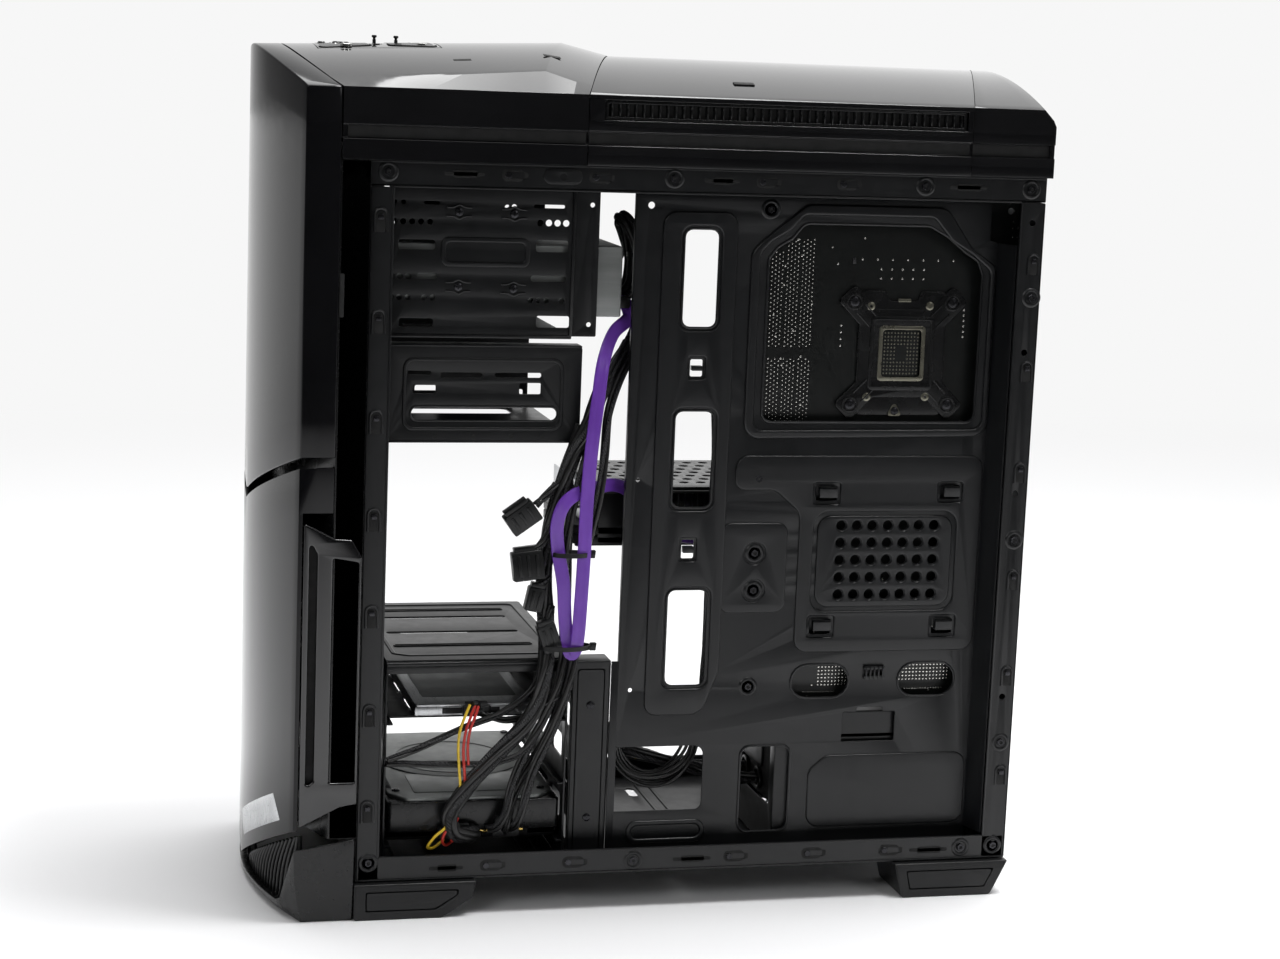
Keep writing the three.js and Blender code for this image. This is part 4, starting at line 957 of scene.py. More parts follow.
def skirt():
    """The bumper: a plan that sweeps round the corner, cut by a slanted chin, with a ribbed V grille."""
    half = HALF_W - 0.5
    piece = Piece("bumper", SATIN, SHADE_AND_BLACK)
    columns = [(-half, -172.2)] + [(x, front_y(x) + 0.3) for x in across(half, 36)] + [(half, -172.2)]

    def upper(x, y):
        """The bumper's upper edge: low in the middle, up over the corner, then level to the case."""
        ax = abs(x)
        if ax < 84:
            return lerp(6.0, 8.5, ax / 84)
        side = lerp(8.5, 43.5, (ax - 84) / (half - 84))
        if y > -204:
            return min(48.9, lerp(44, 48.9, (y + 204) / 30))
        return side

    rows = []
    for t in (0.0, 0.12, 0.3, 0.6, 1.0):
        tuck = 5.0 * (1 - t) ** 2
        row = []
        for x, y in columns:
            pull = tuck if y < -173 else 0.0
            row.append((x * (1 - 0.03 * (1 - t) ** 2), y + pull, lerp(0.0, upper(x, y), t)))
        rows.append(row)
    lid = []
    for x, y in columns:
        inner = 0.0 if y > -173 else 7.0
        sx = x - copysign(6.0, x) if abs(x) > 95 else x
        lid.append((sx, y + inner, upper(x, y) - 1.5))
    rows.append(lid)
    piece.add(lattice(rows, 3.0, 0.8, 3, 24))
    piece.done(replaces=("front_skirt",))

    grille = Piece("chin_grille", MATTE, SHADE_AND_BLACK)
    # A near-black backing, painted shade behind the grille, and curved ribs across the V.
    backing = []
    for t in (0.0, 1.0):
        row = []
        for x in across(92, 32):
            low = 5.5 + 2 * abs(x) / 84
            high = max(low + 1, chin_z(x) - 1.6)
            row.append((x, front_y(x) + 8.5, lerp(low, high, t)))
        backing.append(row)
    grille.add(lattice(backing, 1.5, 0, 1, 40), None, 1)
    count = 17
    for side in (-1, 1):
        for i in range(count):
            t = (i + 0.5) / count
            # Each rib leans from the bumper's lip up to the slanted chin.
            x0 = 4 + 88 * t
            x1 = x0 + 14
            line = []
            for k in range(7):
                s = k / 6
                x = min(lerp(x0, x1, s), 95.5)
                low = 6 + 2 * x0 / 84
                high = chin_z(x1 if x1 < 95 else 95) - 2.2
                z = lerp(low, high, s) + 1.6 * sin(pi * s)
                z = min(z, chin_z(x) - 1.8)
                line.append((side * x, front_y(x) + 5.6 - 1.2 * sin(pi * s), z))
            grille.tube(line, 0.95, 2)
    grille.done(replaces=("skirt_grille",))


fascia()
intake_frames()
skirt()


# ---- steel chassis ----
# Lanced hooks in the board tray, as (y0, y1, z0, z1).
HOOKS = ((98.5, 113.4, 237.9, 248.8), (176, 189.9, 238.9, 249.2), (98.5, 113.4, 157.5, 168.7),
    (175.3, 190, 156.8, 168.1))


def tray():
    """The motherboard tray: cut-outs, raised pressings, hooks and posts."""
    piece = Piece("board_tray", PRESSED, SHADE_AND_BLACK, SCREW)
    lo, hi = 77.4, 78.6
    outline = rounded([(-16, 23.3), (205, 23.3), (205, 392.5), (199, 394), (199, 416.5), (-16, 416.5), (-16, 92),
        (37.5, 92), (37.5, 53), (-16, 53)], [0, 2, 2, 1, 2, 2, 1, 6, 4, 1])
    cpu = rounded([(63.5, 285.7), (63.5, 381), (69, 388), (77.5, 393), (84.5, 401.7), (161, 401.7), (172, 396),
        (183.5, 387), (192, 382), (195.2, 374), (195.2, 285.7)], [6, 5, 8, 8, 7, 7, 10, 9, 6, 6, 6], 5)
    slots = [rect(12.9, 33.9, 340.2, 397.3, 5), rect(11.4, 35.2, 234.9, 292.3, 5), rect(11.3, 36.3, 128.5, 186.7, 5)]
    lead_hole = rounded([(60.4, 38), (91.4, 38), (91.4, 91), (60.4, 91)], 6)
    ovals = [rect(89.4, 125.6, 119.4, 139.9, 10), rect(156.6, 192.6, 119.4, 139.9, 10)]
    notch = rounded([(123, 92), (156.3, 92), (156.3, 110.2), (148, 110.2), (148, 113), (132, 113), (132, 110.2),
        (123, 110.2)], 1.2)

    def vent_grid(radius):
        return [circle(116 + 9.7 * col, 182.4 + 10.4 * row, radius, 14) for row in range(5) for col in range(7)]

    bits = [circle(-7.2, 409.9, 2.0, 12), circle(-8.9, 251.5, 1.3, 10), circle(-8.6, 126.5, 1.3, 10)]
    hooks = [rect(y0 + 1, y1 - 1, z0 + 1, z1 - 1, 1) for y0, y1, z0, z1 in HOOKS]
    clips = [rect(19.4, 26.8, 312, 322, 1), rect(18.8, 26.2, 205, 216, 1)]
    holes = [cpu, *slots, lead_hole, *ovals, notch, *vent_grid(2.9), *bits, *hooks, *clips]
    piece.plate("x", outline, lo, hi, holes, 0.3)

    # Pressed fields stand proud of the sheet with soft edges.
    def field(points, radius, holes=(), height=1.5):
        piece.plate("x", rounded(points, radius, 6), hi - 0.9, hi + height, holes, height * 0.95, 0, 4)

    grown = [rect(11.4, 35.4, 338.7, 398.8, 6), rect(9.9, 36.7, 233.4, 293.8, 6), rect(9.8, 37.8, 127, 188.2, 6)]
    grown_clips = [rect(18.0, 28.2, 310.5, 323.5, 1.5), rect(17.4, 27.6, 203.5, 217.5, 1.5)]
    field([(0, 111), (34.5, 111), (44.5, 137.4), (44.5, 407), (0, 407)], [7, 10, 10, 8, 8], [*grown, *grown_clips])
    # The raised frame round the processor cut-out is a ring.
    ring_out = [(53, 276), (203.3, 277.6), (203.3, 379), (199.4, 381.5), (188, 389), (171, 412.8), (85.5, 412.8),
        (72.4, 402), (58, 390), (53, 384)]
    ring_in = rounded([(58.5, 281), (200, 282), (200, 376), (188, 385.5), (175, 393), (163, 406.5), (84, 406.5),
        (76, 397.5), (65, 391), (58.5, 384)], 6, 5)
    field(ring_out, [9, 9, 6, 10, 12, 10, 10, 10, 8, 8], [ring_in], 1.8)
    # The wide field under it steps round the vents, with a notch for the lower posts.
    wide_out = [(90, 147.5), (203, 147.5), (203, 266), (49.4, 266), (49.4, 245.5), (74, 245.5), (90, 232)]
    holes_in_field = [rounded([(98.8, 172.4), (188.2, 172.4), (188.2, 232.6), (98.8, 232.6)], 9, 5)]
    for y0, y1, z0, z1 in ((97.8, 114.2, 237, 249.6), (175.3, 190.6, 238, 250), (97.8, 114.2, 156.6, 169.6),
            (174.6, 190.7, 156, 169)):
        holes_in_field.append(rect(y0, y1, z0, z1, 1.6))
    field(wide_out, [8, 8, 8, 8, 6, 10, 12], holes_in_field, 1.3)
    field([(101.4, 175), (185.6, 175), (185.6, 230), (101.4, 230)], 8, vent_grid(3.2), 1.3)
    field([(43, 172), (83, 172), (83, 226), (43, 226)], 6, [circle(63.3, 207.8, 6.8, 18),
        circle(63.5, 185.5, 6.8, 18)], 1.2)
    field([(103, 39.5), (203, 39.5), (203, 84), (114, 84), (103, 75)], [8, 8, 8, 10, 8], (), 1.2)
    piece.plate("x", rounded([(-8, 33), (40, 33), (40, 47), (-8, 47)], 6), hi - 0.9, hi + 1.2,
        [rounded([(-5, 36), (37, 36), (37, 44), (-5, 44)], 4)], 1.1, 0, 4)
    # Rolled lips round the holes.
    for hole in (*slots, lead_hole, *ovals):
        piece.tube([(hi + 0.05, a, b) for a, b in hole], 0.75, 2, closed=True)
    piece.tube([(hi + 0.05, a, b) for a, b in cpu], 0.8, 2, closed=True)
    # Lanced square hooks: a bridge that stands off its hole.
    for y0, y1, z0, z1 in HOOKS:
        piece.block(hi + 0.2, hi + 4.2, y0 + 2, y1 - 2, z1 - 2.6, z1 - 1.4, 0.3)
        piece.block(hi + 3.2, hi + 4.2, y0 + 2, y1 - 2, z1 - 7.5, z1 - 1.4, 0.3)
        piece.block(hi + 0.2, hi + 3.6, y0 + 2, y0 + 3, z1 - 7.5, z1 - 2, 0.2)
    for y0, y1, z0, z1 in ((19.4, 26.8, 312, 322), (18.8, 26.2, 205, 216)):
        piece.block(hi - 2.0, hi + 2.4, y0 + 0.6, y1 - 0.6, z0 + 3.6, z1 - 3.6, 0.3)
    # A bridge for a tie between the ovals.
    piece.block(hi, hi + 2.2, 134.6, 147.6, 130.6, 133.0, 0.4)
    piece.block(hi, hi + 2.2, 134.6, 147.6, 136.4, 138.6, 0.4)
    for k in range(5):
        piece.block(hi, hi + 2.6, 135.4 + 2.6 * k, 136.4 + 2.6 * k, 130.6, 138.6, 0.3)
    # The joggle to the side rail and the turned front edge.
    step = [(77.6, 203.6), (79.0, 204.2), (82, 205.2), (88, 207.2), (92.5, 208.6), (94.6, 209.1)]
    piece.add(lattice([[(x, y, z) for x, y in step] for z in (37, 125, 214, 303, 392.5)], 1.1, 0.3, 2, 40,
        inside=(60, 240, 200)))
    piece.block(74.2, 78.4, -16.0, -14.9, 92, 416.5, 0.3)
    piece.block(77.4, 78.5, -20.3, -15.6, 23.4, 144, 0.3)
    posts = ((63.5, 409.2), (63.8, 252.2), (63.3, 207.8), (63.5, 185.5), (63.0, 127.2))
    piece.stamp(BOSS_SHAPE, [facing("+x", hi - 0.1, y, z) for y, z in posts])
    piece.done(replaces=("motherboard_tray",))


def hook_mark(piece, axis_x, y, z, tall=13.0, wide=7.0):
    """A pressed upside-down U with a keeper in it, on a side flange."""
    out = 1 if axis_x > 0 else -1
    line = []
    for k in range(9):
        t = pi * k / 8
        line.append((axis_x, y - wide / 2 * cos(t), z + tall / 2 - wide / 2 + wide / 2 * sin(t)))
    line.insert(0, (axis_x, y - wide / 2, z - tall / 2))
    line.append((axis_x, y + wide / 2, z - tall / 2))
    piece.tube(line, 0.8, 2)
    # A near-black plate inside the U is painted shade in the opening.
    lo, hi = sorted((axis_x - out * 0.1, axis_x + out * 0.25))
    piece.plate("x", rect(y - wide / 2 + 0.7, y + wide / 2 - 0.7, z - tall / 2, z + tall / 2 - 2, 1.6), lo, hi,
        bevel=0.1, material=1)
    b0, b1 = sorted((axis_x, axis_x + out * 1.5))
    piece.block(b0, b1, y - 1.5, y + 1.5, z + 0.5, z + 3.6, 0.4, 2)


def rail_slot(piece, x, y0, y1, z, out):
    """A keyhole slot in a side rail, drawn as near-black plates of painted shade."""
    lo, hi = sorted((x, x + out * 0.12))
    piece.plate("x", rect(y0, y1, z - 1.1, z + 1.1, 1.0), lo, hi, bevel=0.05, material=1)
    piece.plate("x", rect(y0 + 5, y1 - 4, z - 2.1, z + 2.1, 1.0), lo, hi, bevel=0.05, material=1)


def rail_notch(piece, x, y0, y1, z, out):
    """A C-shaped hook cut-out: a near-black slot of painted shade with a round end and a raised keeper."""
    lo, hi = sorted((x, x + out * 0.12))
    piece.plate("x", rect(y0, y1, z - 3.4, z + 3.4, 3.2), lo, hi, [rect(y0 + 4.5, y1 + 2, z - 1.6, z + 1.6, 0.4)],
        0.05, 1)
    k0, k1 = sorted((x, x + out * 0.9))
    piece.plate("x", circle(y0 + 3.6, z, 1.9, 14), k0, k1, bevel=0.3, material=2)


def side_rails():
    """The open frame's rails, posts and flanges, on both sides."""
    for word, out in (("right", 1), ("left", -1)):
        face = out * STEEL_W
        piece = Piece("rail_marks_" + word, STEEL, SHADE_AND_BLACK, SCREW)
        top, low = 425.6, 28.6
        for y0, y1 in ((-129.6, -107.3), (18.6, 39.1), (165, 188)):
            rail_slot(piece, face, y0, y1, top, out)
        for y0, y1 in ((-128, -108), (17, 40), (164, 188)):
            rail_slot(piece, face, y0, y1, low - 0.5, out)
        for y in (-93, -43.5, 53.5, 101.5):
            rail_notch(piece, face, y - 4.5, y + 8, top, out)
        for y in (-92.3, -43.7, 53.8, 102.1, 150.5):
            rail_notch(piece, face, y - 6, y + 7, low + 0.2, out)
        lo, hi = sorted((face, face + out * 0.7))
        piece.plate("x", rect(-74, -52, top - 4.4, top + 4.4, 4.3), lo, hi, [circle(-63, top, 2.0, 14)], 0.5)
        for y, z in ((-160.7, 426.0), (1.0, 426.3), (150.4, 425.8), (215.6, 425.4), (-163.2, 32.9), (-7.2, 28.6),
                (196.5, 29.0), (217.1, 29.5), (219.6, 362.3), (218.6, 217.9), (218.0, 93.9)):
            piece.stamp(BOSS_SHAPE, [facing(outward(out), face - out * 0.2, y, z)])
        for z in (399.3, 343.2, 287.4, 232.1, 176.7, 119.4, 63.1):
            hook_mark(piece, face, -164.4, z)
        for z in (381.7, 318.6, 258.3, 193.6, 134.8, 73.3):
            hook_mark(piece, face, 219.6, z, 12, 6.5)
        # Folded edges catch the light along every opening.
        lo, hi = sorted((face - out * 1.0, face + out * 0.5))
        for y0, y1, z0, z1 in ((-157.2, 209.9, 417.4, 418.6), (-157.2, 209.9, 35.0, 36.2)):
            piece.block(lo, hi, y0, y1, z0, z1, 0.5)
        for y0, y1 in ((-158.4, -157.0), (209.8, 211.0)):
            piece.block(lo, hi, y0, y1, 36, 417.6, 0.5)
        lo, hi = sorted((face - out * 0.5, face + out * 0.6))
        piece.block(lo, hi, -170.2, 224.6, 431.0, 432.2, 0.5)
        piece.block(lo, hi, -168, 224.6, 21.8, 23.0, 0.5)
        piece.done()


tray()
side_rails()


# ---- drive cages ----
def optical_cage():
    """The cage of the large bays, with its clips and screw slots."""
    piece = Piece("disc_drive_cage", STEEL, SHADE_AND_BLACK, SCREW)
    outline = rounded([(-157, 333.6), (-50.8, 333.6), (-50.8, 417.4), (-157, 417.4)], [1, 3, 1, 1])
    holes = [rect(-151.3, -130.6, 381.9, 387.6, 1.6), rect(-73, -54.3, 381.8, 388.6, 1.6),
        rect(-150.2, -130.8, 338.6, 343.4, 1.2), rect(-71.6, -52.3, 339.0, 345.7, 1.6)]
    holes += [circle(-154.2 + 5.1 * k, 397.6, 1.7, 12) for k in range(5)]
    holes += [circle(-71.0 + 5.0 * k, 398.3, 1.9, 14) for k in range(4)]
    holes += [rect(-137.5, -128.4, 407.4, 409.2, 0.8), circle(-154.0, 408.4, 1.3, 10), circle(-149, 408.4, 1.3, 10)]
    holes += [circle(-90.2, 406.6, 1.5, 10), circle(-86.2, 407.0, 1.5, 10), rect(-75, -57, 406.6, 408.6, 0.9)]
    holes += [circle(-155.0 + 4.7 * k, 367.0, 1.7, 12) for k in (0, 1, 2)] + [rect(-140.6, -128.6, 365.6, 368.9, 1.6)]
    holes += [rect(-75.6, -55, 365.0, 368.6, 1.7)]
    holes += [circle(-155.0 + 4.7 * k, 355.2, 1.6, 12) for k in (0, 1, 2, 4, 5)]
    holes += [circle(-75.2 + 4.5 * k, 354.4, 1.6, 12) for k in (0, 1, 2, 4)]
    for side in (-1, 1):
        lo, hi = mirrored(side, 75.2, 76.4)
        piece.plate("x", outline, lo, hi, holes, 0.25)
        lo, hi = mirrored(side, 75.9, 77.4)
        pad = rounded([(-127.2, 372.8), (-76.4, 372.8), (-76.4, 389.4), (-127.2, 389.4)], 4.5)
        inner = rounded([(-124.4, 375.6), (-79.2, 375.6), (-79.2, 386.6), (-124.4, 386.6)], 2.5)
        piece.plate("x", pad, lo, hi, [inner], 0.9, 0, 3)
        # Spring clips that hold the drive's screws: a pair of bowed blades.
        for y, z in ((-117.5, 403.5), (-86, 403), (-117, 361.5), (-85.5, 360.8)):
            for sign in (-1, 1):
                line = [(side * 76.9, y - 7 + 14 * k / 10, z + sign * (2.4 + 1.6 * exp(-((k - 5) / 1.6) ** 2)))
                    for k in range(11)]
                piece.tube(line, 0.55, 2)
            piece.screws(outward(side), [(side * 76.3, y, z)])
        # The rolled lower lip and the turned-in rear edge.
        lo, hi = mirrored(side, 75.0, 77.6)
        piece.block(lo, hi, -157, -51, 332.6, 334.6, 0.8)
        piece.block(lo, hi, -52.4, -50.6, 334, 417.3, 0.6)
        # The upright flange behind the wall.
        lo, hi = mirrored(side, 75.2, 76.4)
        piece.plate("x", rect(-51.2, -36.6, 334.1, 416.9, 1), lo, hi, [circle(-41, 341, 1.4, 12),
            circle(-41, 409, 1.4, 12)], 0.25)
    floor_holes = [rect(-50, -20, -140, -80, 4), rect(20, 50, -140, -80, 4)]
    piece.plate("z", rect(-76.2, 76.2, -157, -50.8, 1), 333.4, 334.6, floor_holes, 0.25)
    piece.done(replaces=("optical_cage",))


def small_cage():
    """The cage of the accessory bay."""
    piece = Piece("accessory_cage", STEEL, SHADE_AND_BLACK, SCREW)
    outline = rounded([(-157, 273.2), (-44, 273.2), (-44, 328.6), (-157, 328.6)], [1, 2, 2, 1])
    holes = [rect(-144.5, -130.8, 311.4, 313.8, 1.1), rect(-125.6, -101.5, 310.0, 313.0, 1.3),
        rect(-94.5, -67.5, 310.2, 313.0, 1.2), rect(-141.4, -128.1, 300.8, 306.2, 1.6),
        rect(-80, -67.6, 300.8, 307.2, 0.8)]
    long_slot = rounded([(-142.4, 285.4), (-57.6, 285.4), (-57.6, 293.6), (-142.4, 293.6)], 4.0, 6)
    far = [rect(-115.6, -101.4, 280, 285.2, 1.2), rect(-54, -47, 276, 283, 1.2)]
    for side in (-1, 1):
        lo, hi = mirrored(side, 75.2, 76.4)
        piece.plate("x", outline, lo, hi, [*holes, long_slot] if side > 0 else far, 0.25)
        lo, hi = mirrored(side, 76.0, 77.2)
        pad = rounded([(-147, 279.8), (-54.4, 279.8), (-54.4, 321.4), (-147, 321.4)], 6)
        inner = rounded([(-145, 281.8), (-56.4, 281.8), (-56.4, 319.4), (-145, 319.4)], 4.5)
        piece.plate("x", pad, lo, hi, [inner], 0.7, 0, 3)
        x = side * 76.6
        if side > 0:
            piece.tube([(x, a, b) for a, b in long_slot], 0.6, 2, closed=True)
        # Four small near-black dishes stand for holes as painted shade.
        for y in (-128, -106, -84, -66):
            piece.stamp(revolved([(1.5, 0), (1.4, 0.3), (0.9, 0.35), (0, 0.1)], 12),
                [facing(outward(side), x - side * 0.3, y, 276.6)], 1)
        lo, hi = mirrored(side, 74.6, 77.0)
        piece.block(lo, hi, -157, -44.2, 272.8, 274.0, 0.5)
        lo, hi = mirrored(side, 64.0, 76.6)
        piece.block(lo, hi, -157, -44.2, 327.6, 328.8, 0.4)
    piece.plate("z", rect(-76.2, 76.2, -157, -44, 1), 273, 274.2, [rect(-56, -30, -140, -62, 5),
        rect(30, 56, -140, -62, 5)], 0.25)
    piece.done(replaces=("small_drive_cage",))


def drive_cage():
    """Three-bay cage: walls with rolled edges, and a top plate with long pressed grooves."""
    piece = Piece("hard_drive_rack", STEEL, SHADE_AND_BLACK, PRESSED)
    for y0, y1, out in ((-152.4, -151.2, -1), (-46.2, -45.0, 1)):
        windows = [rect(-60 + 34 * i, -34 + 34 * i, z, z + 14, 3) for i in range(4) for z in (48, 84)]
        piece.plate("y", rect(-77, 76, 23.2, 146.2, 1), y0, y1, windows, 0.25)
        for z in (34.9, 70, 108):
            a0, a1 = (y1, y1 + 3.6) if out < 0 else (y0 - 3.6, y0)
            piece.block(-77, 76, a0, a1, z, z + 1.2, 0.3)
    slots = [rect(-37, -32, -142, -62, 2.2), rect(3, 8, -142, -62, 2.2)]
    piece.plate("z", rect(-77, 76, -152.4, -45, 2), 145.2, 146.4, slots, 0.3, 2)
    for x in (-54, 40):
        groove = rect(x - 2.2, x + 2.2, -143, -60, 2)
        piece.plate("z", groove, 146.1, 147.1, [rect(x - 1.2, x + 1.2, -142, -61, 1)], 0.4, 2)
    frame_out = rounded([(-70, -147), (60, -147), (66, -138), (66, -58), (58, -50), (-70, -50)], 5)
    frame_in = rounded([(-67.5, -144.5), (59, -144.5), (63.5, -137), (63.5, -59), (57, -52.5), (-67.5, -52.5)], 4)
    piece.plate("z", frame_out, 146.0, 147.0, [frame_in], 0.45, 2)
    # The rolled lips along both open ends.
    for x, sign in ((76, 1), (-77, -1)):
        line = [(x + sign * 0.4, -152, 144.0), (x + sign * 0.4, -45.4, 144.0)]
        piece.tube(line, 1.6, 4)
        lo, hi = sorted((x - sign * 1.0, x + sign * 0.6))
        piece.block(lo, hi, -152.2, -45.2, 138.4, 144, 0.5)
    piece.done(replaces=("hard_drive_cage",))


def drive_trays():
    """The two pull-out trays with their finger windows."""
    for word, node, z, body in (("upper", "drive_tray_upper", 109.5, "upper_tray"),
            ("lower", "drive_tray_lower", 36.4, "lower_tray")):
        piece = Piece("tray_" + word, MATTE, SHADE_AND_BLACK, SATIN)
        y0, y1 = -150.6, -46.8
        floor_holes = [rect(-60 + 40 * i, -28 + 40 * i, -134, -64, 6) for i in range(3)]
        piece.plate("z", rect(-76.5, 66, y0, y1, 3), z + 0.1, z + 1.6, floor_holes, 0.3)
        for a0, a1 in ((y0, y0 + 1.8), (y1 - 1.8, y1)):
            piece.block(-76, 64, a0, a1, z + 0.6, z + 9.5, 0.5)
        # A honeycombed pull with a finger window.
        window = rect(-122, -76, z + 8.4, z + 17.6, 3.5)
        piece.plate("x", rect(y0, y1, z + 0.2, z + 23.8, 3), -79.8, -76.2, [window], 0.8, 0, 3)
        # Near-black bars are painted shade in the pull's honeycomb openings.
        for k in range(6):
            for a in (-145.5 + 3.8 * k, -52.0 - 3.8 * k):
                piece.block(-80.0, -79.6, a - 0.7, a + 0.7, z + 4, z + 20, 0.3, 1)
        piece.block(-80.0, -78.4, -120, -78, z + 19.4, z + 21.2, 0.6, 2)
        piece.done(body, replaces=(node,))


def solid_state():
    piece = Piece("ssd_case", BARE, SHADE_AND_BLACK, SILVER_CASE, MATTE)
    z0, z1 = 111.4, 118.4
    piece.block(-31, 69, -134, -64, z0, z1 - 1.6, 0.6)
    piece.plate("z", rect(-31, 69, -134, -64, 2.5), z1 - 1.8, z1 - 0.2, (), 0.5)
    piece.plate("z", rect(-22, 52, -127, -71, 2), z1 - 0.3, z1, (), 0.1, 2)
    piece.block(63.5, 69.2, -118, -84, z0 + 1.0, z0 + 4.6, 0.3, 3)
    piece.block(66, 69.3, -116, -97, z0 + 1.8, z0 + 3.4, 0.2, 1)
    # Screw holes in the ends, as near-black dishes of painted shade.
    for x in (-17, 55):
        for y, sign in ((-134, "-y"), (-64, "+y")):
            piece.stamp(revolved([(1.6, -0.2), (1.5, 0.05), (0.9, 0.05), (0, -0.3)], 12), [facing(sign, x, y, z0 + 3)],
                1)
    piece.done("upper_tray", replaces=("solid_state_drive",))


def spinning_drive():
    piece = Piece("disc_pack", SATIN, SILVER_CASE, SILVER_CASE, BOARD, SHADE_AND_BLACK, SCREW, GOLD)
    z0 = 38.3
    z1 = z0 + 26
    edge = [(-73, -149.4), (74, -149.4), (74, -47.8), (-73, -47.8)]
    piece.plate("z", rounded(edge, 3), z0 + 5, z1 - 3.2, (), 0.8)
    lid = rounded([(-71, -147.4), (60, -147.4), (72, -138), (72, -60), (62, -49.8), (-71, -49.8)], 6)
    piece.plate("z", lid, z1 - 3.4, z1 - 1.0, (), 0.7, 1, 3)
    piece.plate("z", circle(-12, -98.6, 44, 48), z1 - 1.3, z1 - 0.4, (), 0.4, 1, 3)
    piece.plate("z", circle(-12, -98.6, 36, 48), z1 - 0.8, z1 - 0.1, [circle(-12, -98.6, 33, 48)], 0.3, 1, 3)
    piece.plate("z", rect(24, 62, -132, -66, 2), z1 - 1.1, z1 - 0.6, (), 0.1, 2)
    for x, y in ((-66, -143), (-66, -54), (-4, -146), (-4, -51), (56, -142), (58, -56)):
        piece.screws("+z", [(x, y, z1 - 1.2)], 5)
    piece.plate("z", rounded([(-66, -144), (70, -144), (70, -53), (-66, -53)], 3), z0 + 3.6, z0 + 5.2, (), 0.2, 3)
    for x in range(-56, 60, 13):
        for y in (-132, -112, -88, -68):
            piece.block(x, x + 6, y, y + 5, z0 + 2.2, z0 + 3.8, 0.3, 4)
    # Data and power sockets in one housing at the +x end.
    piece.block(62, 73.4, -110, -66, z0 + 1.6, z0 + 9.4, 0.5, 4)
    piece.block(70, 73.8, -107, -90, z0 + 3.4, z0 + 5.2, 0.2, 6)
    piece.block(70, 73.8, -87, -69, z0 + 3.4, z0 + 5.2, 0.2, 6)
    # Screw holes in the front end, as near-black dishes of painted shade.
    for y in (-140, -124):
        for x in (-46, 0, 46):
            piece.stamp(revolved([(1.7, -0.2), (1.6, 0.1), (0.9, 0.1), (0, -0.4)], 12),
                [facing("-y", x, -149.4, z0 + 9)], 4)
    piece.done("lower_tray", replaces=("hard_drive",))


def disc_drive():
    piece = Piece("disc_drive", SILVER_CASE, SHADE_AND_BLACK, SCREW, MATTE, LABEL, BRIGHT)
    z0, z1 = 345.2, 385.6
    piece.block(-73, 73, -188, -21.5, z0, z1, 1.0, 0, 3)
    # A pressed channel and slots along each side and on the back, the slots drawn as near-black plates of painted
    # shade.
    for side in (-1, 1):
        lo, hi = mirrored(side, 72.7, 73.0)
        for y in (-160, -120, -66):
            piece.plate("x", rect(y, y + 16, 362, 365, 1.4), lo, hi, bevel=0.1, material=1)
        piece.screws(outward(side), [(side * 72.8, y, z) for y in (-150, -72) for z in (353, 375)])
    piece.plate("y", rect(-64, 4, 352, 378, 2), -21.7, -21.4, [rect(-62, 2, 354, 376, 1.5)], 0.1, 1)
    piece.plate("y", rect(59, 62.4, 356, 380, 1.5), -21.6, -21.3, (), 0.1, 1)
    piece.block(50.5, 67.5, -24, -21.1, 347.6, 358.6, 0.5, 1)
    piece.block(33, 49.5, -24, -21.1, 347.6, 358.6, 0.5, 1)
    piece.screws("+y", [(-66, -21.8, 381), (70, -21.8, 381)])
    # Front: bezel, closed tray, eject button and lamp.
    piece.block(-73.6, 73.6, -193, -187.9, z0 - 0.3, z1 + 0.3, 0.9, 3, 3)
    piece.block(-66, 66, -194.2, -192.4, 360, 375, 0.8, 3, 3)
    # A near-black frame round the tray is painted shade in its gap.
    piece.plate("y", rect(-67.2, 67.2, 358.9, 376.1, 1), -193.2, -192.9, [rect(-66.3, 66.3, 359.8, 375.2, 1)], 0.05, 1)
    piece.block(46, 60, -194.4, -192.6, 350.5, 355, 0.8, 3, 3)
    piece.block(-58, -50, -193.6, -192.6, 351.5, 353.5, 0.4, 5)
    piece.done(replaces=("optical_drive",))


optical_cage()
small_cage()
drive_cage()
drive_trays()
solid_state()
spinning_drive()
disc_drive()


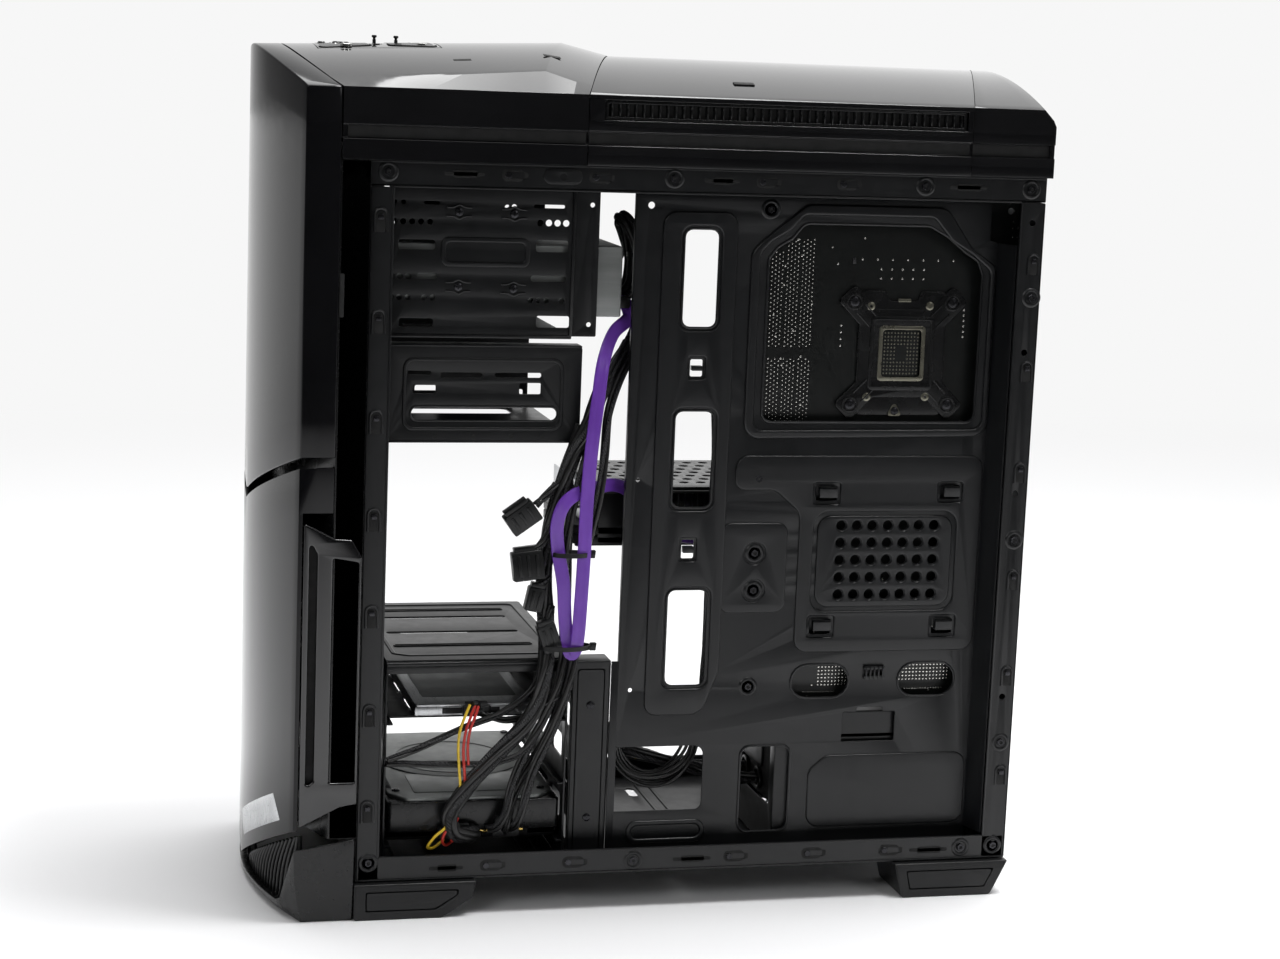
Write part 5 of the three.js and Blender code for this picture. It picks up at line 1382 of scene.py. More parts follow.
# ---- cables ----
ROUTES = {
    "sata_cable": [
        (62, -20.6, 353), (62, -16.5, 352), (65, -14.5, 345), (73, -25, 336.5), (86, -33.5, 322), (90, -37, 299),
        (91, -40, 270), (91, -41.5, 241), (91, -42, 212), (91, -43, 182), (91, -44, 162),
        (90, -45, 154), (88.5, -47, 151), (87.5, -49, 157), (87.5, -51, 170), (88, -53, 193), (88, -57, 214),
        (89.5, -58, 229), (90, -54, 240), (87.5, -45, 246), (79, -32, 247.5), (69, -20, 247), (63.5, -11, 243),
        (61.6, -3, 234), (61.6, 3, 224), (61.6, 13, 217), (61.6, 28, 214.6), (62, 40, 215.2), (62.5, 49.8, 215.6)],
    "main_harness": [
        (60, 82.4, 95), (60.4, 76, 95), (63, 62, 97), (68, 47, 101), (71, 41, 113), (71, 41, 170), (71, 41, 230),
        (71, 41, 280), (64, 40, 306), (52, 42, 322), (45, 49, 328), (48, 55, 328), (59.6, 56, 328)],
    "drive_harness": [
        (42, -20.8, 353), (42, -15, 353.5), (42, -10, 360), (43, -9, 376), (46, -14, 393), (51, -18, 400),
        (55, -14, 397), (57, -8, 384), (55, -5, 356), (56, -8, 334), (61, -19, 317),
        (72, -30, 305), (80, -36, 294), (82.5, -42, 280), (82.5, -48, 268), (81, -55, 246), (79, -60, 222),
        (78, -62, 204), (78, -62, 186), (78, -60, 170), (80, -60, 154), (84, -61, 140), (85, -64, 125),
        (85, -72, 109), (85, -89, 91), (85, -106, 71), (86, -115, 56), (85, -112, 46), (82, -104, 43),
        (79, -100, 43), (74.8, -99, 43)],
    "drive_lead_lower": [
        (79, -51, 146), (82, -51, 122), (81, -60, 98), (81, -70, 80), (81, -78, 60), (80, -80, 48),
        (78, -80, 44), (74.9, -80, 43)],
    "drive_lead_upper": [
        (74, -50, 138), (75, -54, 124), (76, -68, 113), (77, -84, 110), (76, -95, 113.6),
        (72, -97.6, 114.8), (69.8, -98, 114.9)],
    "supply_leads": [
        (40, 82.4, 60), (40, 72, 60), (42, 60, 62), (46, 50, 66), (49, 34, 72), (48, 10, 78),
        (44, -8, 82), (30, -20, 80), (10, -20, 74), (0, -2, 70), (2, 20, 66), (12, 40, 62),
        (14, 66, 60), (14, 82.4, 60)],
}


def moving_frames(line):
    """A pair of sideways directions at each point that turn as little as possible."""
    line = [Vector(p) for p in line]
    tangents = []
    for i in range(len(line)):
        a, b = line[max(i - 1, 0)], line[min(i + 1, len(line) - 1)]
        tangents.append((b - a).normalized())
    side = tangents[0].orthogonal().normalized()
    frames = []
    for p, t in zip(line, tangents):
        side = (side - t * side.dot(t)).normalized()
        frames.append((p, t, side, t.cross(side)))
    return frames


def bundle(piece, line, reach, count, radius, turns, materials=(0,), centre=True):
    """Strands that wind slowly round a line, with one along its middle."""
    frames = moving_frames(line)
    total = len(frames) - 1
    if centre:
        piece.tube([f[0] for f in frames], radius, 3, materials[-1])
    for k in range(count):
        strand = []
        for i, (p, _, u, v) in enumerate(frames):
            t = tau * (k / count + turns * i / total)
            wave = 1 + 0.06 * sin(5.1 * k + 0.37 * i)
            strand.append(p + (u * cos(t) + v * sin(t)) * (reach - radius) * wave)
        piece.tube(strand, radius, 3, materials[k % len(materials)])


def tie(piece, at, across_dir, reach_a, reach_b, along, material=1):
    """A cable tie: a flat band round a bundle, with its square lock and a cut tail."""
    centre, u, w = Vector(at), Vector(across_dir).normalized(), Vector(along).normalized()
    v = w.cross(u)
    loop = []
    for k in range(24):
        t = tau * k / 24
        loop.append(centre + u * reach_a * cos(t) + v * reach_b * sin(t))
    rows = []
    for shift in (-1.3, 1.3):
        rows.append([tuple(p + w * shift) for p in [*loop, loop[0]]])
    piece.add(lattice(rows, 0.9, 0, 1, 40, inside=at), None, material)
    turn = Matrix((u, v, w)).transposed().to_4x4()
    head = centre + u * (reach_a + 1.2)
    piece.block(head.x - 1.8, head.x + 1.8, head.y - 1.8, head.y + 1.8, head.z - 2.2, head.z + 2.2, 0.4, material,
        turn=turn)
    tail = [head, head + v * 3 + u * 1.0, head + v * 6 + u * 2.6]
    piece.tube(tail, 0.8, 2, material)


def ribbon():
    """The flat purple data cable: two rounded cores side by side."""
    frames = moving_frames(catmull(ROUTES["sata_cable"], 7))
    section = [(-4.0, 0.0), (-3.7, 0.62), (-2.9, 0.86), (-1.2, 0.86), (0, 0.6), (1.2, 0.86), (2.9, 0.86), (3.7, 0.62),
        (4.0, 0.0), (3.7, -0.62), (2.9, -0.86), (1.2, -0.86), (0, -0.6), (-1.2, -0.86), (-2.9, -0.86), (-3.7, -0.62)]
    piece = Piece("data_ribbon", PURPLE, WIRE, SHADE_AND_BLACK)
    rings = []
    wide_before = None
    for p, t, _, _ in frames:
        wide = t.cross(Vector((1, 0, 0)))
        if wide.length < 0.25 and wide_before is not None:
            wide = wide_before
        wide = (wide - t * wide.dot(t)).normalized()
        if wide_before is not None:
            if wide.dot(wide_before) < 0:
                wide = -wide
            wide = (wide * 0.35 + wide_before * 0.65)
            wide = (wide - t * wide.dot(t)).normalized()
        wide_before = wide
        thin = t.cross(wide)
        rings.append([piece.bm.verts.new(p + wide * a + thin * b) for a, b in section])
    for a, b in zip(rings, rings[1:]):
        for i in range(len(section)):
            j = (i + 1) % len(section)
            piece.bm.faces.new((a[i], a[j], b[j], b[i]))
    piece.bm.faces.new(rings[0][::-1])
    piece.bm.faces.new(rings[-1])
    # Moulded connectors at both ends.
    piece.block(57.6, 66.4, -21.5, -14.5, 349.6, 356.4, 0.8, 1, 3)
    piece.block(59.0, 66.0, 44.0, 51.0, 211.0, 220.0, 0.8, 1, 3)
    piece.done(replaces=("sata_cable",))


def loom(name, materials, node, steps, strands, block=None, block_material=1, **more):
    """One sleeved run of leads along its route, with the plug it ends in."""
    piece = Piece(name, *materials)
    bundle(piece, catmull(ROUTES[node], steps), *strands, **more)
    if block:
        piece.block(*block, 0.6, block_material, 3)
    piece.done(replaces=(node,))


def harnesses():
    """The five looms inside the case."""
    loom("drive_loom", (SLEEVE, WIRE, RED, YELLOW, SHADE_AND_BLACK), "drive_harness", 7, (5.0, 5, 2.1, 3.2, (0, 1, 0, 1, 1)))
    loom("board_loom", (SLEEVE, WIRE), "main_harness", 8, (4.8, 6, 1.7, 2.0, (0, 1)), (57, 61, 51, 61, 322, 334))
    loom("low_lead", (WIRE, SHADE_AND_BLACK), "drive_lead_lower", 8, (2.6, 4, 1.15, 1.0), (73.8, 77.6, -88, -72, 39.6, 46.4), 0,
         centre=False)
    loom("high_lead", (WIRE, SHADE_AND_BLACK), "drive_lead_upper", 8, (2.2, 3, 1.0, 1.0), (69.2, 73.4, -106, -90, 112.2, 117.6),
        0, centre=False)
    loom("spare_leads", (SLEEVE, WIRE), "supply_leads", 8, (4.0, 4, 1.7, 1.5, (1, 0)))


def coil():
    """Thin spare leads wound into a loose ring behind the notch."""
    piece = Piece("lead_ring", WIRE, SHADE_AND_BLACK)
    for k in range(7):
        radius = 20.6 + 1.25 * k
        lift = ((k * 37) % 7 - 3) * 1.1
        points = []
        for i in range(48):
            t = tau * i / 48
            r = radius + 0.8 * sin(3 * t + k)
            points.append((60 + lift + 0.8 * sin(2 * t + 1.7 * k), 11 + r * cos(t), 92 + r * sin(t)))
        piece.tube(points, 1.0, 3, closed=True)
    tie(piece, (60, 35.4, 92), (1, 0, 0), 5.2, 6.0, (0, 0, 1), 0)
    piece.done(replaces=("lead_coil",))


ribbon()
harnesses()
coil()


def loose_details():
    """Connectors, ties and bare wires along the looms."""
    piece = Piece("loom_fittings", MATTE, WIRE, RED, YELLOW, SLEEVE, SHADE_AND_BLACK)

    def plug(x, y, z, yaw, pitch, w, d, h, ribs=3):
        turn = Matrix.Rotation(yaw, 4, "X") @ Matrix.Rotation(pitch, 4, "Y")
        piece.block(x - d / 2, x + d / 2, y - w / 2, y + w / 2, z - h / 2, z + h / 2, 0.9, 0, 3, turn=turn)
        for k in range(ribs):
            offset = turn @ Vector((d / 2, (k - (ribs - 1) / 2) * w / (ribs + 0.5), 0))
            piece.block(x + offset.x - 0.7, x + offset.x + 0.7, y + offset.y - 0.9, y + offset.y + 0.9,
                z + offset.z - h * 0.36, z + offset.z + h * 0.36, 0.3, 0, 2, turn=turn)
        step = turn @ Vector((0, 0, h / 2 + 1.2))
        piece.block(x + step.x - d * 0.38, x + step.x + d * 0.38, y + step.y - w * 0.4, y + step.y + w * 0.4,
            z + step.z - 1.4, z + step.z + 1.4, 0.5, 0, 2, turn=turn)

    # Two unused four-pin plugs hanging from the loom, and a narrower one under them.
    plug(84, -77.5, 231, 0.62, 0.1, 19, 9, 13)
    plug(84, -73.5, 203, 0.12, -0.1, 18, 9, 17)
    plug(83, -68.5, 183, -0.2, 0.0, 10, 8, 14, 2)
    plug(86, -60, 161, 0.35, 0.1, 11, 7, 17, 2)
    # Short sleeves that join them to the loom.
    for pts in ([(83, -58, 250), (85, -64, 244), (84.5, -70, 238)], [(82, -60, 226), (85.5, -66, 216),
            (84.5, -71, 211)], [(81, -60, 196), (84, -65, 192), (83.5, -67.5, 190)],
            [(82, -58, 178), (86, -60, 173), (86, -60, 168)]):
        bundle(piece, catmull(pts, 8), 2.4, 4, 0.95, 0.4, (1, 4), centre=False)
    # More leads in the thick of the loom, side by side with it.
    extra = [[(60, -14, 330), (70, -26, 312), (79, -33, 296), (83, -37, 280), (86, -43, 262), (86, -48, 240),
        (84, -51, 216), (83, -52, 190), (83, -51, 165), (83, -50, 150), (86, -54, 132), (86, -62, 112), (86, -72, 92),
        (86, -79, 72), (84, -82, 56), (80, -86, 47), (76, -90, 44)], [(62, -12, 322), (72, -22, 306), (80, -28, 290),
        (85, -31, 268), (86, -34, 240), (84, -40, 206), (84, -42, 176), (85, -44, 150), (87, -48, 132), (88, -56, 108),
        (88, -66, 84), (87, -72, 62), (84, -75, 50), (77, -77, 45)], [(78, -45, 284), (77, -52, 262), (75, -58, 236),
        (74, -62, 206), (74, -63, 178), (75, -62, 152), (78, -66, 130), (80, -84, 116), (80, -104, 108),
        (82, -124, 100), (84, -140, 94), (86, -152, 90)], [(80, -50, 262), (76, -48, 236), (74, -47, 204),
        (74, -47, 176), (76, -47, 156), (82, -49, 142), (85, -56, 122), (87, -66, 104), (87, -76, 92), (84, -96, 86),
        (82, -118, 86), (83, -138, 87), (86, -153, 88)],]
    for i, pts in enumerate(extra):
        bundle(piece, catmull(pts, 6), 2.9 if i < 2 else 2.2, 3, 1.35 if i < 2 else 1.05, 1.6, (1, 4, 1), centre=False)
    # Coloured wires where the sleeves end at the drives.
    fan_out = [([(84, -104.5, 121.5), (86, -108, 114), (86.5, -110.5, 106), (86, -111, 96), (85, -110, 84),
        (85, -109, 70), (85.5, -111, 60)], 3), ([(84, -101.5, 121), (86, -104.5, 114), (86.5, -107, 106),
        (86, -108, 96), (85, -107, 84), (85, -106, 72)], 2), ([(84, -99.5, 120.5), (86, -102, 114), (86, -104.6, 106),
        (85.6, -105.4, 96), (85, -104.6, 86)], 2), ([(86, -113.5, 57), (88, -117.5, 50), (88, -124, 44),
        (87, -127.5, 38), (84, -124, 36.5), (80, -117, 40)], 3), ([(86, -111.5, 56), (88, -115, 50), (88, -118, 46),
        (87, -119, 41), (84, -116, 38), (79, -110, 41)], 2), ([(86, -110, 55), (87.5, -112.5, 50), (87.5, -114, 45),
        (86, -113, 41), (79, -106, 42)], 2),]
    for pts, colour in fan_out:
        piece.tube(catmull(pts, 6), 0.85, 3, colour)
    for pts in ([(84, -103, 122), (82, -100, 122), (76, -98, 117)], [(60, -41, 158), (70, -47, 153), (79, -50, 150)]):
        piece.tube(catmull(pts, 6), 1.6, 3, 1)
    plug(74, -99, 115.2, 0.0, 0.0, 16, 5, 6, 2)
    plug(77.5, -110, 43.2, 0.0, 0.0, 20, 5, 7, 2)
    # Ties: two round the purple ribbon, two round the lower loom.
    tie(piece, (88, -49, 210), (0, 1, 0), 11, 6.4, (0, 0.1, 1), 0)
    tie(piece, (85.5, -50, 155), (0, 1, 0), 15, 8.2, (0, 0.12, 1), 0)
    tie(piece, (85.5, -60, 122), (0, 1, 0.5), 13, 6, (0, 0.55, 0.8), 0)
    tie(piece, (56, -9, 380), (0, 1, 0), 6.2, 6.2, (0, 0, 1), 0)
    piece.done()


loose_details()


GREEN_BOARD = material("green_laminate", (0.010, 0.030, 0.016), (0.016, 0.045, 0.024), (0.3, 0.42), coat=0.3)
NICKEL = material("nickel_frame", (0.17, 0.165, 0.13), (0.26, 0.25, 0.20), (0.24, 0.34), metal=0.9)
BLACKISH = material("chip_black", (0.012, 0.012, 0.013), (0.022, 0.022, 0.024), (0.38, 0.48))


# ---- steel frame ----
def pans():
    """The floor, the roof and the inner front sheet."""
    piece = Piece("floor_pan", STEEL, SHADE_AND_BLACK, SCREW, BARE)
    vent = circle(0, SUPPLY_Y, 60, 64)
    ovals = [rect(x - 9, x + 9, y - 3, y + 3, 2.8) for x in (-60, 60) for y in (-120, -40, 30)]
    piece.plate("z", rect(-96, 96, -169, 223.5, 1), 21.6, 22.8, [vent, *ovals], 0.25)
    for x0, x1 in ((-96, -94.8), (94.8, 96)):
        piece.plate("x", rect(-169, 223.5, 21.6, 35.5, 1), x0, x1, (), 0.2)
    for y in (-146, -60, 40):
        ridge = rect(-78, 78, y - 5, y + 5, 4)
        piece.plate("z", ridge, 22.6, 23.6, [rect(-75, 75, y - 3.4, y + 3.4, 3)], 0.4)
    piece.wire_wheel(0, SUPPLY_Y, 23.6, (14, 26, 38, 50), 48, 0.7, 3)
    piece.spokes(0, SUPPLY_Y, 22.9, 12, 59.5, 0.8, 3)
    piece.done(replaces=("base_pan",))

    piece = Piece("roof_sheet", STEEL, SHADE_AND_BLACK, BARE)
    vents = [circle(-8, y, 55, 64) for y in (-40, 90)]
    screws = [circle(-8 + BOLT * a, y + BOLT * b, 2.4, 12) for y in (-40, 90) for a in (-1.0, 1.0)
        for b in (-1.0, 1.0) if abs(y + BOLT * b - 25) > 20]
    piece.plate("z", rect(-96, 96, -170.5, 225, 1), 438.0, 439.2, [*vents, *screws], 0.2)
    for s in (-1, 1):
        lo, hi = mirrored(s, 94.8, 96)
        piece.plate("x", rect(-170.5, 225, 418, 439, 0.8), lo, hi, (), 0.2)
        lo, hi = mirrored(s, 86, 96)
        piece.plate("z", rect(lo, hi, -170.5, 225, 0.8), 418, 419.2, (), 0.2)
    for y in (-40, 90):
        piece.wire_wheel(-8, y, 438.6, (16, 29, 42, 54.5), 48, 0.7, 2)
        piece.spokes(-8, y, 438.6, 12, 55.4, 0.8, 2)
    piece.done(replaces=("roof_pan",))

    # The inner front: a sheet with openings for the drives and the fan, folded along both sides.
    piece = Piece("front_sheet", STEEL, SHADE_AND_BLACK, SCREW)
    holes = [rect(-75, 75, 342, 414, 3), rect(-52, 52, 296, 326, 3), circle(0, 150, 56, 64), rect(-60, 60, 226, 282, 4)]
    holes += [circle(BOLT * a, 150 + BOLT * b, 2.2, 12) for a in (-1, 1) for b in (-1, 1)]
    holes += [rect(-88, -80, z, z + 16, 2) for z in (60, 120, 180, 300, 360)] + [rect(80, 88, z, z + 16, 2)
        for z in (60, 120, 180, 300, 360)]
    piece.plate("y", rect(-96, 96, 21.9, 417.6, 1), -170.5, -169.3, holes, 0.25)
    piece.plate("y", rect(-85.4, 85.4, 416, 437.4, 1), -170.5, -169.3, (), 0.2)
    for s in (-1, 1):
        lo, hi = mirrored(s, 94.8, 96)
        piece.plate("x", rect(-170.5, -157.4, 21.9, 417.6, 0.8), lo, hi, (), 0.2)
    piece.screws("-y", [(x, -170.4, z) for x, z in ((-40, 212), (40, 212), (-66, 60), (66, 60))])
    piece.done(replaces=("front_frame",))


# Openings of the rear ports, as (x0, x1, z0, z1).
PORTS = ((50, 62, 384, 400), (36, 64, 360, 374), (36, 64, 334, 350), (36, 64, 300, 316), (40, 62, 268, 286))


def rear():
    """The rear panel with its guard and slot covers, and the port shield."""
    piece = Piece("rear_sheet", STEEL, SHADE_AND_BLACK, SCREW, BARE)
    holes = [rect(25, 70, 256.5, 415, 1), circle(FAN_X, FAN_Z, 56, 72), rect(-72, 72, 27, 107, 2),
        rect(-55, 59, 206, 242, 1)]
    holes += [circle(FAN_X + BOLT * a, FAN_Z + BOLT * b, 2.3, 12) for a in (-1, 1) for b in (-1, 1)]
    holes += [circle(-88 + 7 * i, 258 + 7 * j, 2.2, 6) for i in range(4) for j in range(4)]
    holes += [rect(74, 88, z, z + 5, 2) for z in (124, 142, 160)]
    piece.plate("y", rect(-96, 96, 21.9, 417.6, 1), 223.8, 225.0, holes, 0.25)
    piece.plate("y", rect(-85.4, 85.4, 416, 437.4, 1), 223.8, 225.0,
        [circle(-60 + 8 * k, 427.5, 2.4, 6) for k in range(16)], 0.2)
    for s in (-1, 1):
        lo, hi = mirrored(s, 94.8, 96)
        piece.plate("x", rect(210.1, 225, 21.9, 417.6, 0.8), lo, hi, [circle(217.5, z, 1.9, 12)
            for z in (34, 122, 246, 330, 406)], 0.2)
    # Slot covers, each with a perforated middle, a folded tab and a thumb screw.
    for k in range(5):
        z = 118 + 17.8 * k
        perforations = [rect(-46 + 13 * i, -37 + 13 * i, z + 3.2, z + 5.2, 0.95) for i in range(7)]
        perforations += [rect(-46 + 13 * i, -37 + 13 * i, z + 8.2, z + 10.2, 0.95) for i in range(7)]
        if z < 200:
            piece.plate("y", rect(-57, 60, z - 1.4, z + 14.4, 1), 224.6, 225.6, perforations, 0.2, 0)
            # A near-black plate behind the perforations is painted shade.
            piece.plate("y", rect(-49, 48, z + 1.4, z + 12.0, 1), 224.2, 224.7, (), 0.05, 1)
        piece.stamp(revolved([(3.4, 0), (3.4, 0.5), (3.0, 0.8), (1.8, 0.8), (1.7, 0.3), (0, 0.3)], 20),
            [facing("+y", 64.5, 225.0, z + 6)], 2)
    # Fan guard: rings of wire on four legs.
    for r in (13, 24, 35, 46, 55):
        piece.tube([(x, 225.0, z) for x, z in circle(FAN_X, FAN_Z, r, 56)], 0.75, 2, 3, closed=True)
    for k in range(4):
        t = pi / 4 + k * pi / 2
        c, s = cos(t), sin(t)
        piece.tube([(FAN_X + 10 * c, 224.4, FAN_Z + 10 * s), (FAN_X + 56 * c, 224.4, FAN_Z + 56 * s)], 0.85, 2, 3)
    piece.screws("+y", [(FAN_X + BOLT * a, 224.4, FAN_Z + BOLT * b) for a in (-1, 1) for b in (-1, 1)])
    corners = ((-82, 60), (82, 60), (-82, 200), (86, 206), (82, 400), (-90, 404))
    piece.screws("+y", [(x, 224.5, z) for x, z in corners])
    piece.done(replaces=("rear_panel",))

    piece = Piece("port_shield", BARE, SHADE_AND_BLACK, BLUE, GREEN, PINK, BLACKISH, GOLD)
    holes = [rect(*port, 1) for port in PORTS]
    piece.plate("y", rect(25.6, 69.4, 257.2, 414.4, 1), 224.0, 225.1, holes, 0.2)
    ring_out, ring_in = rect(27.5, 67.5, 259.4, 412.4, 2), rect(29, 66, 260.9, 410.9, 1.5)
    piece.plate("y", ring_out, 224.8, 225.5, [ring_in], 0.3)
    for x0, x1, z0, z1 in PORTS:
        piece.plate("y", rect(x0 - 1.2, x1 + 1.2, z0 - 1.2, z1 + 1.2, 1.2), 224.9, 225.6, [rect(x0, x1, z0, z1, 0.8)],
            0.25)
    piece.done(replaces=("io_shield",))


def post():
    """The upright post behind the drive cage."""
    piece = Piece("rack_post", STEEL, SHADE_AND_BLACK, SCREW)
    piece.plate("y", rect(60, 78, 23.1, 144.4, 1.5), -43.5, -42.3, [rect(64, 74, z, z + 14, 2) for z in (36, 70, 104)],
        0.3)
    piece.plate("x", rect(-43.5, -20.5, 23.1, 144.4, 1.5), 76.8, 78.0, (), 0.4)
    piece.plate("x", rect(-40.6, -23.5, 27, 140, 2), 77.4, 78.0, [rect(-39.4, -24.7, 28.2, 138.8, 1.4)], 0.25)
    piece.plate("y", rect(60, 78, 23.1, 144.4, 1.5), -21.7, -20.5, (), 0.3)
    piece.block(60.4, 77.6, -43.2, -20.8, 23.1, 24.3, 0.3)
    piece.block(60.4, 77.6, -43.2, -20.8, 143.2, 144.4, 0.3)
    piece.screws("+x", [(78, -32, 50), (78, -32, 118)])
    piece.done(replaces=("cage_post",))


def feet():
    """The four moulded feet."""
    piece = Piece("floor_feet", MATTE, RUBBER, SHADE_AND_BLACK)
    for s in (-1, 1):
        lo, hi = mirrored(s, 60, 101)
        front = [(-171.6, 0.0), (-120.5, 0.0), (-103, 11), (-100.9, 21.2), (-171.6, 21.2)]
        piece.plate("x", rounded(front, [2, 3, 4, 0.6, 0.6]), lo, hi, (), 0.9, 0, 3)
        back = [(159, 0), (215.5, 0), (225.9, 21.2), (153.6, 21.2)]
        piece.plate("x", rounded(back, [2.5, 3, 0.6, 0.6]), lo, hi, (), 0.9, 0, 3)
        a, b = mirrored(s, 66, 95)
        piece.plate("z", rect(a, b, -166, -126, 5), 0.0, 1.4, (), 0.4, 1)
        piece.plate("z", rect(a, b, 164, 211, 5), 0.0, 1.4, (), 0.4, 1)
        outer = s * 101
        a, b = sorted((outer - s * 0.3, outer))
        piece.plate("x", rounded([(-165, 5), (-124, 5), (-111, 13.5), (-111, 17), (-165, 17)], [1, 1, 1, 1, 1]),
            a - 0.02, b, [rounded([(-164, 6), (-124.5, 6), (-112, 13.8), (-112, 16), (-164, 16)], [1, 1, 1, 1, 1])],
            0.12, 0)
        piece.plate("x", rounded([(163.5, 5), (211.5, 5), (217.5, 17), (161, 17)], [1, 1, 1, 1]), a - 0.02, b,
            [rounded([(164.4, 6), (211, 6), (216, 16), (162, 16)], [1, 1, 1, 1])], 0.12, 0)
    piece.done(replaces=("front_foot_right", "front_foot_left", "rear_foot_right", "rear_foot_left"))


pans()
rear()
post()
feet()


# ---- electronics ----
def scatter(seed):
    """A plain repeatable stream of numbers from 0 to 1."""
    while True:
        seed = (seed * 1103515245 + 12345) % 2147483648
        yield ((seed >> 8) % 1000) / 1000


def board():
    """The main board with both of its sides, and the plate under the cooler."""
    piece = Piece("main_board", BOARD, SOLDER, SHADE_AND_BLACK, MATTE, BARE, BLACKISH, GOLD, BLUE, SILVER_CASE, SCREW, LABEL,
        GREEN)
    holes = [circle(y, z, 2.0, 14) for y, z in ((56, 127), (56, 252), (56, 409), (214, 127), (214, 411), (140, 127))]
    piece.plate("x", rect(49.1, 223, 114.2, 418.8, 2), 69.5, 70.9, holes, 0.15)
    # Solder points on the back: memory, power, slots and a scatter of small joints.
    dot = revolved([(0.75, -0.05), (0.55, 0.35), (0, 0.55)], 8)
    fine = revolved([(0.55, -0.05), (0.4, 0.25), (0, 0.4)], 6)
    spots, small = [], []

    def joint(y, z):
        return facing("+x", BOARD_X, y, z)

    # Three groups of memory joints, broken once along their length.
    for group in (68.2, 77.6, 86.8):
        for col in range(4):
            for i in range(50):
                z = 266.0 + PIN_PITCH * i + PIN_PITCH / 2 * (col % 2)
                if 322.4 < z < 328.6 or z > 384 + (group - 68) * 0.9:
                    continue
                small.append(joint(group + 2.1 * col, z))
    spots += [joint(y, 266 + 5.4 * i) for y in (216, 219) for i in range(26)]
    spots += [joint(y, 305 + 3.9 * i) for i in range(12) for y in (52.6, 55.4)]
    spots += [joint(y + 1.3 * i, z) for z0 in (199.6, 219.4, 240.2) for i in range(18) for y,
        z in ((190, z0), (190.6, z0 + 2.2))]
    for y0, y1, z0, z1, dy, dz in ((109, 128, 125.5, 136.5, 2.2, 2.2), (158, 192, 128, 137, 2.2, 2.2),
            (100, 120, 121, 122, 1.6, 3), (164, 188, 122, 123, 1.7, 3), (123, 183, 381, 384, 9.4, 4),
            (135, 164, 370, 377, 6.6, 5.4), (188, 190, 336, 358, 3, 3.2), (112, 114, 330, 344, 3, 4)):
        y = y0
        while y <= y1:
            z = z0
            while z <= z1:
                spots.append(joint(y, z))
                z += dz
            y += dy
    draw = scatter(7)
    for i in range(190):
        y = 52 + 168 * next(draw)
        z = 117 + 299 * next(draw)
        if abs(y - CPU_Y) < 50 and abs(z - CPU_Z) < 50:
            continue
        (spots if i % 3 else small).append(joint(y, z))
    piece.stamp(dot, spots, 1)
    piece.stamp(fine, small, 1)
    for y, z, w, h in ((112, 214, 3, 1.6), (118, 380, 2.2, 3.4), (178, 396, 4, 2), (60, 262, 2, 3), (204, 250, 3, 2),
            (96, 402, 3, 1.6), (190, 284, 2, 4)):
        piece.block(70.8, 71.6, y - w / 2, y + w / 2, z - h / 2, z + h / 2, 0.15, 5, 2)
    # Component side.
    piece.block(61.4, 69.6, 127.5, 171.5, 304, 348, 0.8, 5, 3)
    piece.plate("x", rect(130, 169, 306, 346, 2), 61.0, 62.0, [rect(136, 163, 312, 340, 2)], 0.4, 4)
    for y in (66, 84):
        piece.plate("x", rect(y, y + 1.8, 264, 400, 0.5), 61.2, 69.6, (), 0.2, 5)
        piece.plate("x", rect(y + 4.2, y + 6, 264, 400, 0.5), 61.2, 69.6, (), 0.2, 5)
        piece.plate("x", rect(y + 1.5, y + 4.5, 264, 400, 0.5), 66, 69.6, (), 0.2, 7)
        for z in (261.5, 397.5):
            piece.block(57.5 if z > 300 else 60, 69.5, y + 0.6, y + 5.4, z, z + 4.4, 0.6, 3, 3)
    for z, y0, mat in ((237, 135, 5), (216, 189, 5), (196.5, 189, 5), (160, 128, 7), (142, 189, 5)):
        piece.plate("z", rect(58.9, 69.6, y0, 214, 0.8), z, z + 2.6, (), 0.3, mat)
        piece.plate("z", rect(58.9, 69.6, y0, 214, 0.8), z + 3.9, z + 6.5, (), 0.3, mat)
        piece.plate("z", rect(64, 69.6, y0, 214, 0.5), z + 2.4, z + 4.1, (), 0.1, 6)
    # Stack of rear ports, each a shell with a tongue.
    for (x0, x1, z0, z1), mat in zip(PORTS, (8, 8, 8, 8, 5)):
        piece.plate("y", rect(x0 - 1.6, 69.4, z0 - 1.6, z1 + 1.6, 1), 196.4, 222.0,
            [rect(x0 + 0.4, x1 - 0.4, z0 + 0.4, z1 - 0.4, 0.8)], 0.3, mat)
        # A near-black block closes the back of each shell as painted shade.
        piece.block(x0 - 1.4, 69.3, 196.2, 199, z0 - 1.4, z1 + 1.4, 0.3, 2)
        piece.block(x0 + 3, x1 - 3, 199, 220.6, (z0 + z1) / 2 - 1.4, (z0 + z1) / 2 + 1.4, 0.3, 7 if z0 == 360 else 5)
    piece.block(32, 69.3, 200, 221.6, 320, 330, 0.6, 8)
    piece.block(36, 69.3, 200, 221.6, 354, 358, 0.6, 8)
